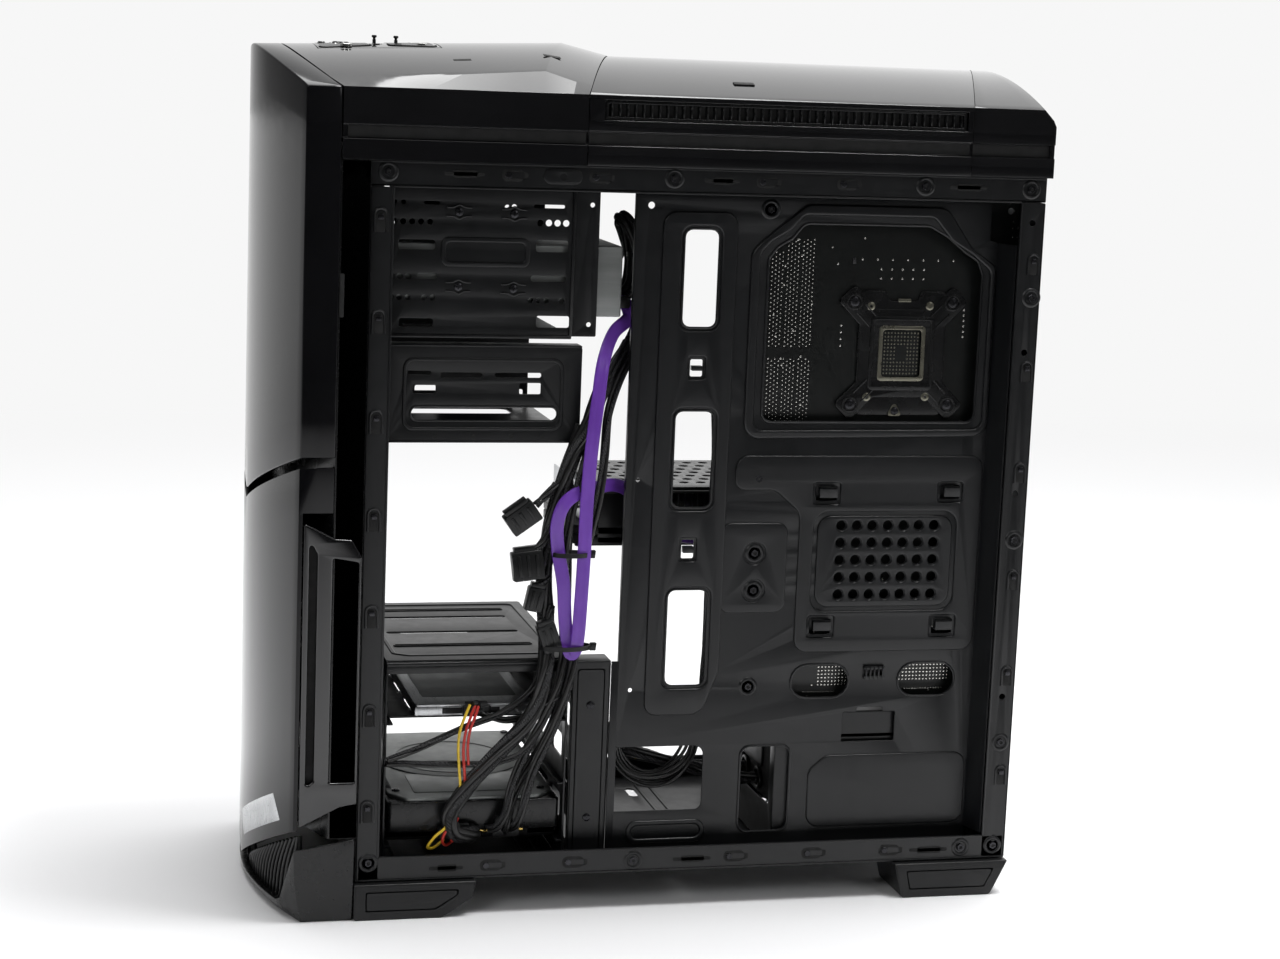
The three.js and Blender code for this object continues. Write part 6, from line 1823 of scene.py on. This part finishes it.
    # Chips, coils and capacitors.
    piece.plate("x", rect(96, 126, 214.2, 229.8, 1), 62.2, 69.6, (), 0.4, 8)
    for i in range(5):
        piece.plate("x", rect(98 + 5.6 * i, 100.6 + 5.6 * i, 215, 229, 0.8), 61.9, 63, (), 0.3, 8)
    for i in range(6):
        z = 299 + 13.6 * i
        piece.block(60, 69.6, 100.4, 111.6, z, z + 10.5, 0.9, 5, 3)
    can = revolved([(3.4, 0), (3.4, 8.6), (2.9, 9.2), (1.2, 9.0), (0, 9.0)], 20)
    piece.stamp(can, [facing("-x", 69.5, 117.5, 302 + 12 * k) for k in range(5)], 8)
    piece.stamp(can, [facing("-x", 69.5, y, 256) for y in (104, 116, 176, 188)], 8)
    piece.block(60.2, 69.6, 51.2, 59.8, 300.4, 351.8, 0.6, 5, 3)
    piece.block(59.2, 69.6, 51.4, 63.8, 206.4, 223.6, 0.6, 5, 3)
    piece.plate("x", rect(60, 88, 232, 248, 1), 67.5, 69.6, (), 0.3, 5)
    for y, z in ((140, 226), (160, 222), (120, 204), (80, 210), (150, 270), (180, 380)):
        piece.block(67.6, 69.6, y - 4, y + 4, z - 4, z + 4, 0.3, 5, 2)
    piece.done(replaces=("motherboard",))

    # The plate under the processor cooler: arms to the four screws and a window to the pins.
    piece = Piece("cooler_back_plate", SATIN, SHADE_AND_BLACK, SCREW, NICKEL, BOARD, SOLDER)
    y0, z0 = CPU_Y, CPU_Z
    arms = []
    for k in range(4):
        t = pi / 4 + k * pi / 2
        d, n = Vector((cos(t), sin(t))), Vector((-sin(t), cos(t)))
        for tip in ((48.5, -7), (50, -5), (50, 5), (48.5, 7)):
            p = d * tip[0] + n * tip[1]
            arms.append((y0 + p.x, z0 + p.y))
        corner1 = d * 30 + n * 7
        t_next = t + pi / 2
        corner2 = Vector((cos(t_next), sin(t_next))) * 30 - Vector((-sin(t_next), cos(t_next))) * 7
        arms.append((y0 + corner1.x, z0 + corner1.y))
        arms.append((y0 + corner2.x, z0 + corner2.y))
    window = rect(y0 - 12, y0 + 12, z0 - 14, z0 + 14, 2)
    piece.plate("x", rounded(arms, 2.2, 4), 71.4, 73.0, [window], 0.4, 0, 3)
    rim_out, rim_in = rect(y0 - 20, y0 + 20, z0 - 22, z0 + 22, 3), rect(y0 - 17.6, y0 + 17.6, z0 - 19.6, z0 + 19.6, 2)
    piece.plate("x", rim_out, 72.8, 73.6, [rim_in], 0.35)
    piece.plate("x", rect(y0 - 14.4, y0 + 14.4, z0 - 16.4, z0 + 16.4, 2.4), 72.7, 73.5, [window], 0.3, 3)
    piece.plate("x", rect(y0 - 11.6, y0 + 11.6, z0 - 13.6, z0 + 13.6, 1), 71.35, 71.7, (), 0.05, 4)
    pins = [facing("+x", 71.7, y0 - 10.2 + 2.04 * i, z0 - 12 + 2.18 * j) for i in range(11) for j in range(12)
            if not (4 <= i <= 6 and 4 <= j <= 7)]
    piece.stamp(revolved([(0.6, -0.05), (0.4, 0.3), (0, 0.45)], 6), pins, 3)
    for k in range(4):
        t = pi / 4 + k * pi / 2
        a, b = y0 + 43 * cos(t), z0 + 43 * sin(t)
        piece.plate("x", circle(a, b, 5.2, 24), 72.8, 73.4, [circle(a, b, 3.6, 20)], 0.2)
        piece.stamp(revolved([(2.9, -0.1), (2.9, 0.35), (2.3, 0.62), (1.0, 0.62), (0.9, 0.2), (0, 0.2)], 18),
            [facing("+x", 72.9, a, b)], 2)
        # Pressed ribs along each arm.
        d = Vector((0, cos(t), sin(t)))
        n = Vector((0, -sin(t), cos(t)))
        base = Vector((73.0, y0, z0))
        for off in (-3.6, 3.6):
            piece.tube([base + d * 26 + n * off, base + d * 37 + n * off], 0.5, 2)
    body_out = rounded([(y0 - 27, z0 - 37), (y0 + 27, z0 - 37), (y0 + 27, z0 + 37), (y0 + 11, z0 + 37),
        (y0 + 9, z0 + 31), (y0 - 9, z0 + 31), (y0 - 11, z0 + 37), (y0 - 27, z0 + 37)], [4, 4, 4, 2, 3, 3, 2, 4])
    piece.plate("x", body_out, 71.4, 72.6, [rect(y0 - 14, y0 + 14, z0 - 16, z0 + 16, 2)], 0.35, 0, 2)
    for y, z in ((129.3, 353.7), (165.8, 354.3), (129.3, 300.0), (165.8, 300.3)):
        piece.stamp(revolved([(2.6, -0.1), (2.5, 0.5), (1.9, 0.8), (1.0, 0.75), (0.8, 0.4), (0, 0.4)], 16),
            [facing("+x", 72.5, y, z)], 3)
    piece.plate("x", rounded([(141.8, 288.6), (152.2, 288.6), (147, 297.4)], 1.6), 72.5, 73.3, (), 0.2, 3)
    piece.screws("+x", [(73.0, 147, 291.8)])
    piece.plate("x", rect(146.0, 154.0, 356.4, 358.4, 0.6), 72.4, 73.0, (), 0.2, 3)
    piece.done(replaces=("cpu_back_plate",))


def cooler():
    """The processor heatsink and the two memory sticks."""
    piece = Piece("fin_stack", BARE, BRIGHT, SHADE_AND_BLACK, SCREW)
    for i in range(34):
        z = 288.4 + 2.27 * i
        piece.plate("z", rect(12.2, 55, 109.7, 189.3, 1.5), z, z + 0.7, (), 0.1)
    piece.block(54, 60.6, 130, 169, 306, 346, 0.8, 1, 3)
    for y in (124, 141, 158, 175):
        piece.tube([(34, y, 288.6), (34, y, 363.6)], 3.0, 4, 1)
        piece.tube([(34, y, 363.0), (34, y, 364.0)], 2.4, 3, 1)
    for y in (112, 187):
        piece.block(12.6, 54, y - 1, y + 1, 288.6, 363.4, 0.4, 0)
    piece.done(replaces=("cpu_heatsink",))

    for word, y in (("1", 66), ("2", 84)):
        piece = Piece("memory_board_" + word, GREEN_BOARD, BLACKISH, GOLD, SHADE_AND_BLACK, LABEL)
        piece.plate("y", rounded([(31.2, 266.2), (60.6, 266.2), (60.6, 398.8), (31.2, 398.8)], [1, 0.4, 0.4, 1]),
            y + 2.4, y + 3.6, (), 0.15)
        for side in (0, 1):
            lo, hi = ((y + 1.5, y + 2.5), (y + 3.5, y + 4.5))[side]
            for k in range(8):
                z = 270.5 + 15.9 * k
                piece.block(36, 52, lo, hi, z, z + 12.5, 0.25, 1, 2)
            pads = ((lo + 0.8, lo + 0.99), (hi - 0.99, hi - 0.8))[side]
            for k in range(0, 40, 2):
                piece.block(56.8, 60.6, *pads, 268.5 + 3.24 * k, 270.6 + 3.24 * k, 0.0, 2, 1)
        piece.done(replaces=("memory_stick_" + word,))


def fan_frame(name, node, size, depth, bore, matrix, hub=20):
    """Square frame with a round bore, corner lugs, a motor carrier and stator spokes. Air leaves along +z."""
    h = size / 2
    piece = Piece(name, MATTE, SHADE_AND_BLACK, WIRE, LABEL)
    corner = h - size * 0.0625
    holes = [circle(0, 0, bore, 72)] + [circle(a * corner, b * corner, 2.2, 14) for a in (-1, 1) for b in (-1, 1)]
    outer = rect(-h, h, -h, h, size * 0.05, 5)
    piece.plate("z", outer, 0, 4.0, holes, 0.5, 0, 3)
    piece.plate("z", outer, depth - 4.0, depth, holes, 0.5, 0, 3)
    barrel = circle(0, 0, min(bore + 2.0, h - 0.3), 72)
    piece.plate("z", barrel, 3.6, depth - 3.6, [circle(0, 0, bore, 72)], 0.2)
    for a in (-1, 1):
        for b in (-1, 1):
            c = [(a * h * 0.995, b * (h - size * 0.14)), (a * h * 0.995, b * h * 0.96), (a * h * 0.96, b * h * 0.995),
                (a * (h - size * 0.14), b * h * 0.995)]
            piece.plate("z", c if a * b > 0 else c[::-1], 3.6, depth - 3.6, [], 0.2)
    piece.plate("z", circle(0, 0, hub, 40), 0.4, 3.2, (), 0.6, 0, 3)
    piece.plate("z", circle(0, 0, hub * 0.72, 32), 0.0, 0.7, (), 0.15, 3)
    for k in range(4):
        t = tau * (k + 0.18) / 4
        c, s = cos(t), sin(t)
        d = Vector((c, s, 0))
        n = Vector((-s, c, 0))
        p0, p1 = d * (hub - 1), d * (bore + 0.6) + n * (bore * 0.25)
        along = (p1 - p0).normalized()
        turn = Matrix((along, Vector((-along.y, along.x, 0)), Vector((0, 0, 1)))).transposed().to_4x4()
        mid = (p0 + p1) / 2
        length = (p1 - p0).length / 2
        piece.block(mid.x - length, mid.x + length, mid.y - 1.6, mid.y + 1.6, 0.6, 2.8, 0.4, 0, 2, turn=turn)
    bmesh.ops.transform(piece.bm, matrix=matrix, verts=piece.bm.verts)
    piece.done(replaces=(node,))


def fan_rotor(name, node, radius, hub, height, blades, matrix, body, twist=0.62):
    """Hub with a recessed ring and thin swept blades."""
    piece = Piece(name, SATIN, SHADE_AND_BLACK, LABEL)
    profile = [(hub - 0.4, -height / 2), (hub, -height / 2 + 0.5), (hub, height / 2 - 1.2),
        (hub - 1.2, height / 2 - 0.2), (hub * 0.66, height / 2), (hub * 0.62, height / 2 - 0.5), (0, height / 2 - 0.5)]
    piece.stamp(revolved(profile, 40), [Matrix.Identity(4)], 0)
    piece.plate("z", circle(0, 0, hub - 0.6, 40), -height / 2, -height / 2 + 0.6, (), 0.1)
    piece.plate("z", circle(0, 0, hub * 0.58, 32), height / 2 - 0.6, height / 2 - 0.2, (), 0.1, 2)
    for k in range(blades):
        t0 = tau * k / blades
        rows = []
        for i in range(7):
            f = i / 6
            r = hub - 0.8 + (radius - hub + 0.6) * f
            row = []
            for j in range(7):
                g = j / 6 - 0.5
                span = twist * (1.25 - 0.35 * f)
                t = t0 + g * span * 1.9 + 0.28 * f * f
                z = g * height * 0.84 * (1.1 - 0.35 * f) - 0.9 * cos(pi * g)
                row.append((r * cos(t), r * sin(t), z))
            rows.append(row)
        piece.add(lattice(rows, 0.9, 0, 1, 60, inside=(0, 0, -400)))
    bmesh.ops.transform(piece.bm, matrix=matrix, verts=piece.bm.verts)
    piece.done(body, replaces=(node,))


def aim(axis, x, y, z):
    """Puts a fan at a point so that its +z looks along the axis."""
    return Matrix.Translation((x, y, z)) @ Vector(axis).to_track_quat("Z", "Y").to_matrix().to_4x4()


def fans():
    """Every fan in the case, frame and blades."""
    fan_frame("exhaust_fan_frame", "rear_fan_frame", 120, 25, 56, aim((0, -1, 0), FAN_X, 223.2, FAN_Z))
    fan_rotor("exhaust_fan_blades", "rear_fan_rotor", 51, 20, 19, 7, aim((0, -1, 0), FAN_X, 211.5, FAN_Z), "rear_fan")
    fan_frame("intake_fan_frame", "front_fan_frame", 120, 25, 56, aim((0, -1, 0), 0, -171.6, 150))
    fan_rotor("intake_fan_blades", "front_fan_rotor", 51, 20, 19, 7, aim((0, -1, 0), 0, -184.9, 150), "front_fan")
    fan_frame("cooler_fan_frame", "cpu_fan_frame", 92, 25, 43, aim((-1, 0, 0), 11.6, CPU_Y, CPU_Z), hub=17)
    fan_rotor("cooler_fan_blades", "cpu_fan_rotor", 37.5, 17, 19, 7, aim((-1, 0, 0), -1.7, CPU_Y, CPU_Z), "cpu_fan")
    fan_rotor("supply_fan_blades", "power_supply_fan", 54, 20, 14, 7, aim((0, 0, -1), 0, SUPPLY_Y, 35), "supply_fan")
    for k, y in ((1, 28), (2, 130)):
        fan_rotor("card_fan_blades_" + str(k), "card_fan_rotor_" + str(k), 39, 17, 9, 9, aim((0, 0, -1), -3, y, 213),
            "card_fan_" + str(k), twist=0.5)


def card():
    """The graphics card."""
    piece = Piece("video_card", MATTE, SHADE_AND_BLACK, BARE, BOARD, GOLD, SCREW, SATIN, BRIGHT)
    piece.plate("z", rounded([(-44, -26), (58.2, -26), (58.2, 220.5), (-44, 220.5)], 1.5), 240.0, 241.4, (), 0.15, 3)
    perforated = [circle(-34 + 12 * i, -12 + 10.4 * j + 5.2 * (i % 2), 3.2, 6) for i in range(7) for j in range(20)]
    piece.plate("z", rounded([(-44, -26), (54, -26), (54, 214), (-44, 214)], 3), 241.6, 243.0, perforated, 0.25, 6)
    for x, y in ((-38, -20), (48, -20), (-38, 100), (48, 100), (-38, 208), (48, 208)):
        piece.screws("+z", [(x, y, 242.6)], 5)
    wells = [circle(-3, y, 45, 64) for y in (28, 130)]
    shroud = rounded([(-52, -30), (-44, -38), (38, -38), (46, -30), (46, 207), (38, 215), (-44, 215), (-52, 207)], 3)
    piece.plate("z", shroud, 206.2, 213, wells, 1.6, 0, 3)
    piece.plate("z", shroud, 213, 218, wells, 0.6, 0, 2)
    for s in (-1, 1):
        for y in (-24, 78, 178):
            x0, x1 = (-52, -50.5) if s < 0 else (44.5, 46)
            piece.block(x0, x1, y, y + 22, 208, 238, 0.6, 0)
    for i in range(60):
        y = -31 + 4.0 * i
        piece.block(-49, 43, y, y + 0.8, 219.5, 239.8, 0.0, 2, 1)
    for x in (-30, 6, 30):
        piece.tube([(x, -35.5, 229), (x, 213, 229)], 2.8, 4, 7)
    for y in (28, 130):
        piece.plate("z", circle(-3, y, 46.6, 64), 206.0, 207.2, [circle(-3, y, 44.4, 64)], 0.4, 6)
        for k in range(3):
            t = tau * k / 3 + 0.3
            c, s = cos(t), sin(t)
            piece.tube([(-3 + 6 * c, y + 6 * s, 218.6), (-3 + 45 * c, y + 45 * s, 218.6)], 0.9, 2)
    piece.screws("-z", [(x, y, 206.4) for y in (-34, 79, 208) for x in (-46, 40)], 5)
    # Edge contacts and the bracket with its sockets.
    for i in range(36):
        y = 138 + 2.1 * i
        piece.block(58.0, 58.3, y, y + 1.2, 240.1, 241.3, 0.0, 4, 1)
    slots = [rect(-48 + 6.4 * i, -45 + 6.4 * i, 233, 238.6, 1.2) for i in range(15)]
    piece.plate("y", rect(-56, 60, 207, 242, 1), 220.5, 221.7, [*slots, rect(-40, -18, 212, 219, 1.2),
        rect(-8, 14, 212, 219, 1.2), rect(22, 46, 211, 222, 1.5)], 0.25, 2)
    for x0, x1, z1 in ((-39.5, -18.5, 218.5), (-7.5, 13.5, 218.5), (22.5, 45.5, 221.5)):
        piece.plate("y", rect(x0, x1, 212 if x0 < 20 else 211.5, z1, 1), 208, 222.6,
            [rect(x0 + 1.2, x1 - 1.2, 213, z1 - 1.2, 0.6)], 0.2, 7)
        piece.block(x0 + 3, x1 - 3, 209, 221.4, 214.4, 216.2, 0.2, 1)
    piece.done(replaces=("graphics_card",))


def supply():
    """The power supply and its rocker."""
    piece = Piece("supply_case", STEEL, SHADE_AND_BLACK, SCREW, MATTE, BARE, LABEL, WIRE)
    x0, x1, y0, y1, z0, z1 = -75, 75, 83, 223.4, 24, 110
    outline = rect(x0 + 0.1, x1 - 0.1, y0 + 0.1, y1 - 0.2, 1.5)
    piece.plate("z", outline, z1 - 1.2, z1 - 0.1, (), 0.4, 0, 3)
    piece.plate("z", outline, z0, z0 + 1.2, [circle(0, SUPPLY_Y, 60.5, 72)], 0.3)
    panel = rounded([(100, 38), (205, 38), (205, 96), (100, 96)], 6)
    inner = rounded([(102.5, 40.5), (202.5, 40.5), (202.5, 93.5), (102.5, 93.5)], 4)
    for s in (-1, 1):
        lo, hi = mirrored(s, 75, 73.8)
        piece.plate("x", rect(y0 + 0.2, y1 - 0.4, z0 + 0.2, z1 - 0.4, 1.2), lo, hi, (), 0.3)
        lo, hi = mirrored(s, 74.4, 75.0)
        piece.plate("x", panel, lo, hi, [inner], 0.25)
    # Front end, with the hole the leads come out of.
    vents = [circle(-64 + 8 * i, 88 + 7 * (j - 1), 2.5, 6) for i in range(9) for j in range(3)]
    piece.plate("y", rect(x0 + 0.3, x1 - 0.3, z0 + 0.3, z1 - 0.3, 1.2), y0, y0 + 1.2,
        [*vents, rounded([(8, 50), (66, 50), (66, 102), (48, 102), (48, 68), (8, 68)], 3)], 0.3)
    # A near-black plate behind the lead hole is painted shade.
    piece.block(9, 65, 84.6, 86, 51, 101, 0.3, 1)
    for x, z in ((60, 95), (40, 60), (14, 60)):
        piece.plate("y", circle(x, z, 7.0, 28), 82.6, 84.6, [circle(x, z, 5.0, 24)], 0.5, 3)
    # Rear end: a hexagon grille, the mains inlet and the rocker.
    comb = []
    for i in range(19):
        for j in range(11):
            a, b = -68 + 7.0 * i, 32 + 6.6 * j + 3.3 * (i % 2)
            if -62 < a < -4 and 59 < b < 97 or b > 104 or a > 68:
                continue
            comb.append(circle(a, b, 2.7, 6))
    inlet = rect(-58, -30, 66, 90, 2.5)
    well = rect(-22, -8, 67, 89, 1)
    piece.plate("y", rect(x0 + 0.3, x1 - 0.3, z0 + 0.3, z1 - 0.3, 1.2), y1 - 1.3, y1 - 0.1, [*comb, inlet, well], 0.15)
    piece.plate("y", rounded([(-63, 62), (-25, 62), (-25, 94), (-63, 94)], 3), y1 - 0.8, y1, [inlet], 0.5, 3)
    piece.plate("y", rect(-59.4, -28.6, 64.6, 91.4, 3), y1 - 10, y1 - 0.8, [inlet], 0.1, 3)
    piece.plate("y", rect(-59, -29, 65, 91, 3), y1 - 10.6, y1 - 9.6, (), 0.1, 3)
    for x, z in ((-51, 75), (-37, 75), (-44, 83)):
        piece.block(x - 1, x + 1, y1 - 10, y1 - 2, z - 2.6, z + 2.6, 0.3, 4)
    piece.plate("y", rect(-23.6, -6.4, 65.4, 90.6, 2), y1 - 1.0, y1, [well], 0.4, 3)
    piece.plate("y", rect(-23, -7, 66, 90, 1), y1 - 9, y1 - 0.9, [well], 0.1, 3)
    piece.screws("+y", [(x, y1 - 0.4, z) for x, z in ((-69, 30), (69, 30), (-69, 104), (69, 104))])
    piece.wire_wheel(0, SUPPLY_Y, 25.6, (13, 24, 35, 46, 57), 56, 0.8, 4)
    piece.spokes(0, SUPPLY_Y, 25.2, 10, 62, 0.9, 4, 0)
    piece.plate("z", circle(0, SUPPLY_Y, 64, 64), 25.0, 27.4, [circle(0, SUPPLY_Y, 60.8, 64)], 0.3, 3)
    piece.plate("z", circle(0, SUPPLY_Y, 22, 40), 43.0, 45.0, (), 0.4, 3)
    piece.spokes(0, SUPPLY_Y, 44.4, 20, 66, 1.6, 3)
    piece.done(replaces=("power_supply",))

    piece = Piece("rocker", GLOSS, SHADE_AND_BLACK, LABEL)
    prof = rounded([(218.5, 67.8), (222.6, 67.8), (224.4, 69.0), (221.4, 78), (222.9, 88.2), (218.5, 88.2)],
        [0.6, 0.6, 0.8, 6, 0.8, 0.6], 4)
    piece.plate("x", prof, -20.9, -9.1, (), 0.5, 0, 3)
    piece.block(-15.4, -14.6, 223.1, 223.5, 70.5, 74, 0.1, 2)
    piece.done("supply_switch", replaces=("power_supply_switch",))


board()
cooler()
fans()
card()
supply()


# ---- plain studio ----
def studio():
    """A white sheet, a bright backdrop and four soft lamps."""
    mesh = bpy.data.meshes.new("floor")
    bm = bmesh.new()
    bmesh.ops.create_circle(bm, cap_ends=True, segments=96, radius=14.0)
    bm.to_mesh(mesh)
    bm.free()
    floor = bpy.data.objects.new("floor", mesh)
    scene.collection.objects.link(floor)
    paper = bpy.data.materials.new("paper")
    paper.use_nodes = True
    # The sheet's far side glows, standing in for a lit backdrop behind the tower.
    m = Nodes(paper.node_tree)
    surface = m.add("ShaderNodeOutputMaterial")
    bsdf = m.add("ShaderNodeBsdfPrincipled")
    bsdf.inputs["Roughness"].default_value = 0.6
    bsdf.inputs["Specular IOR Level"].default_value = 0.2
    where = m.add("ShaderNodeTexCoord")
    parts = m.add("ShaderNodeSeparateXYZ")
    m.link(where.outputs["Object"], parts.inputs[0])
    # The far floor on the camera's side is dim in reflections, so upright steel darkens towards the top.
    eye = m.add("ShaderNodeLightPath")
    level = m.math("MAXIMUM", eye.outputs["Is Camera Ray"], m.span(parts.outputs["X"], 1.0, 0.0, 0.45, 1.8))
    m.link(m.mix(level, (0.05, 0.05, 0.05), (0.9, 0.9, 0.91)), bsdf.inputs["Base Color"])
    glow = m.add("ShaderNodeEmission")
    glow.inputs["Strength"].default_value = 0.93
    blend = m.add("ShaderNodeMixShader")
    m.link(m.span(parts.outputs["X"], 1.0, 0.0, -1.9, -0.35), blend.inputs[0])
    m.link(bsdf.outputs[0], blend.inputs[1])
    m.link(glow.outputs[0], blend.inputs[2])
    m.link(blend.outputs[0], surface.inputs[0])
    mesh.materials.append(paper)

    world = bpy.data.worlds.new("studio")
    world.use_nodes = True
    scene.world = world
    n = Nodes(world.node_tree)
    out = n.add("ShaderNodeOutputWorld")
    back = n.add("ShaderNodeBackground")
    place_at = n.add("ShaderNodeTexCoord")
    split = n.add("ShaderNodeSeparateXYZ")
    n.link(place_at.outputs["Generated"], split.inputs[0])
    # Reflections see a white backdrop behind the tower and a dim room on the camera's side.
    room = n.span(split.outputs["X"], 1.0, 0.05, -0.3, 0.35)
    dusk = n.span(split.outputs["Y"], 0.22, 1.0, -0.45, 0.35)
    room = n.times(room, dusk)
    camera_rays = n.add("ShaderNodeLightPath")
    chosen = n.add("ShaderNodeMix", data_type="FLOAT")
    n.link(camera_rays.outputs["Is Camera Ray"], chosen.inputs[0])
    n.link(room, chosen.inputs[2])
    chosen.inputs[3].default_value = 0.93
    n.link(chosen.outputs[0], back.inputs["Strength"])
    back.inputs["Color"].default_value = (1, 1, 1, 1)
    n.link(back.outputs[0], out.inputs[0])

    def softbox(name, at, look, size, power):
        data = bpy.data.lights.new(name, "AREA")
        data.shape = "RECTANGLE"
        data.size, data.size_y = size
        data.energy = power
        lamp = bpy.data.objects.new(name, data)
        lamp.location = at
        lamp.rotation_euler = (Vector(look) - Vector(at)).to_track_quat("-Z", "Y").to_euler()
        scene.collection.objects.link(lamp)

    softbox("overhead", (-0.3, 0.2, 2.6), (0, 0, 0.3), (2.6, 2.6), 70)
    softbox("key", (1.9, -1.7, 1.9), (0, 0, 0.25), (1.0, 1.0), 13)
    softbox("fill", (2.2, 1.4, 1.5), (0, 0, 0.25), (0.8, 0.8), 5)
    softbox("strip", (0.27, 0.58, 2.4), (0.2, 0.3, 0.4), (0.6, 0.66), 30)
    scene.view_settings.view_transform = "Standard"


studio()
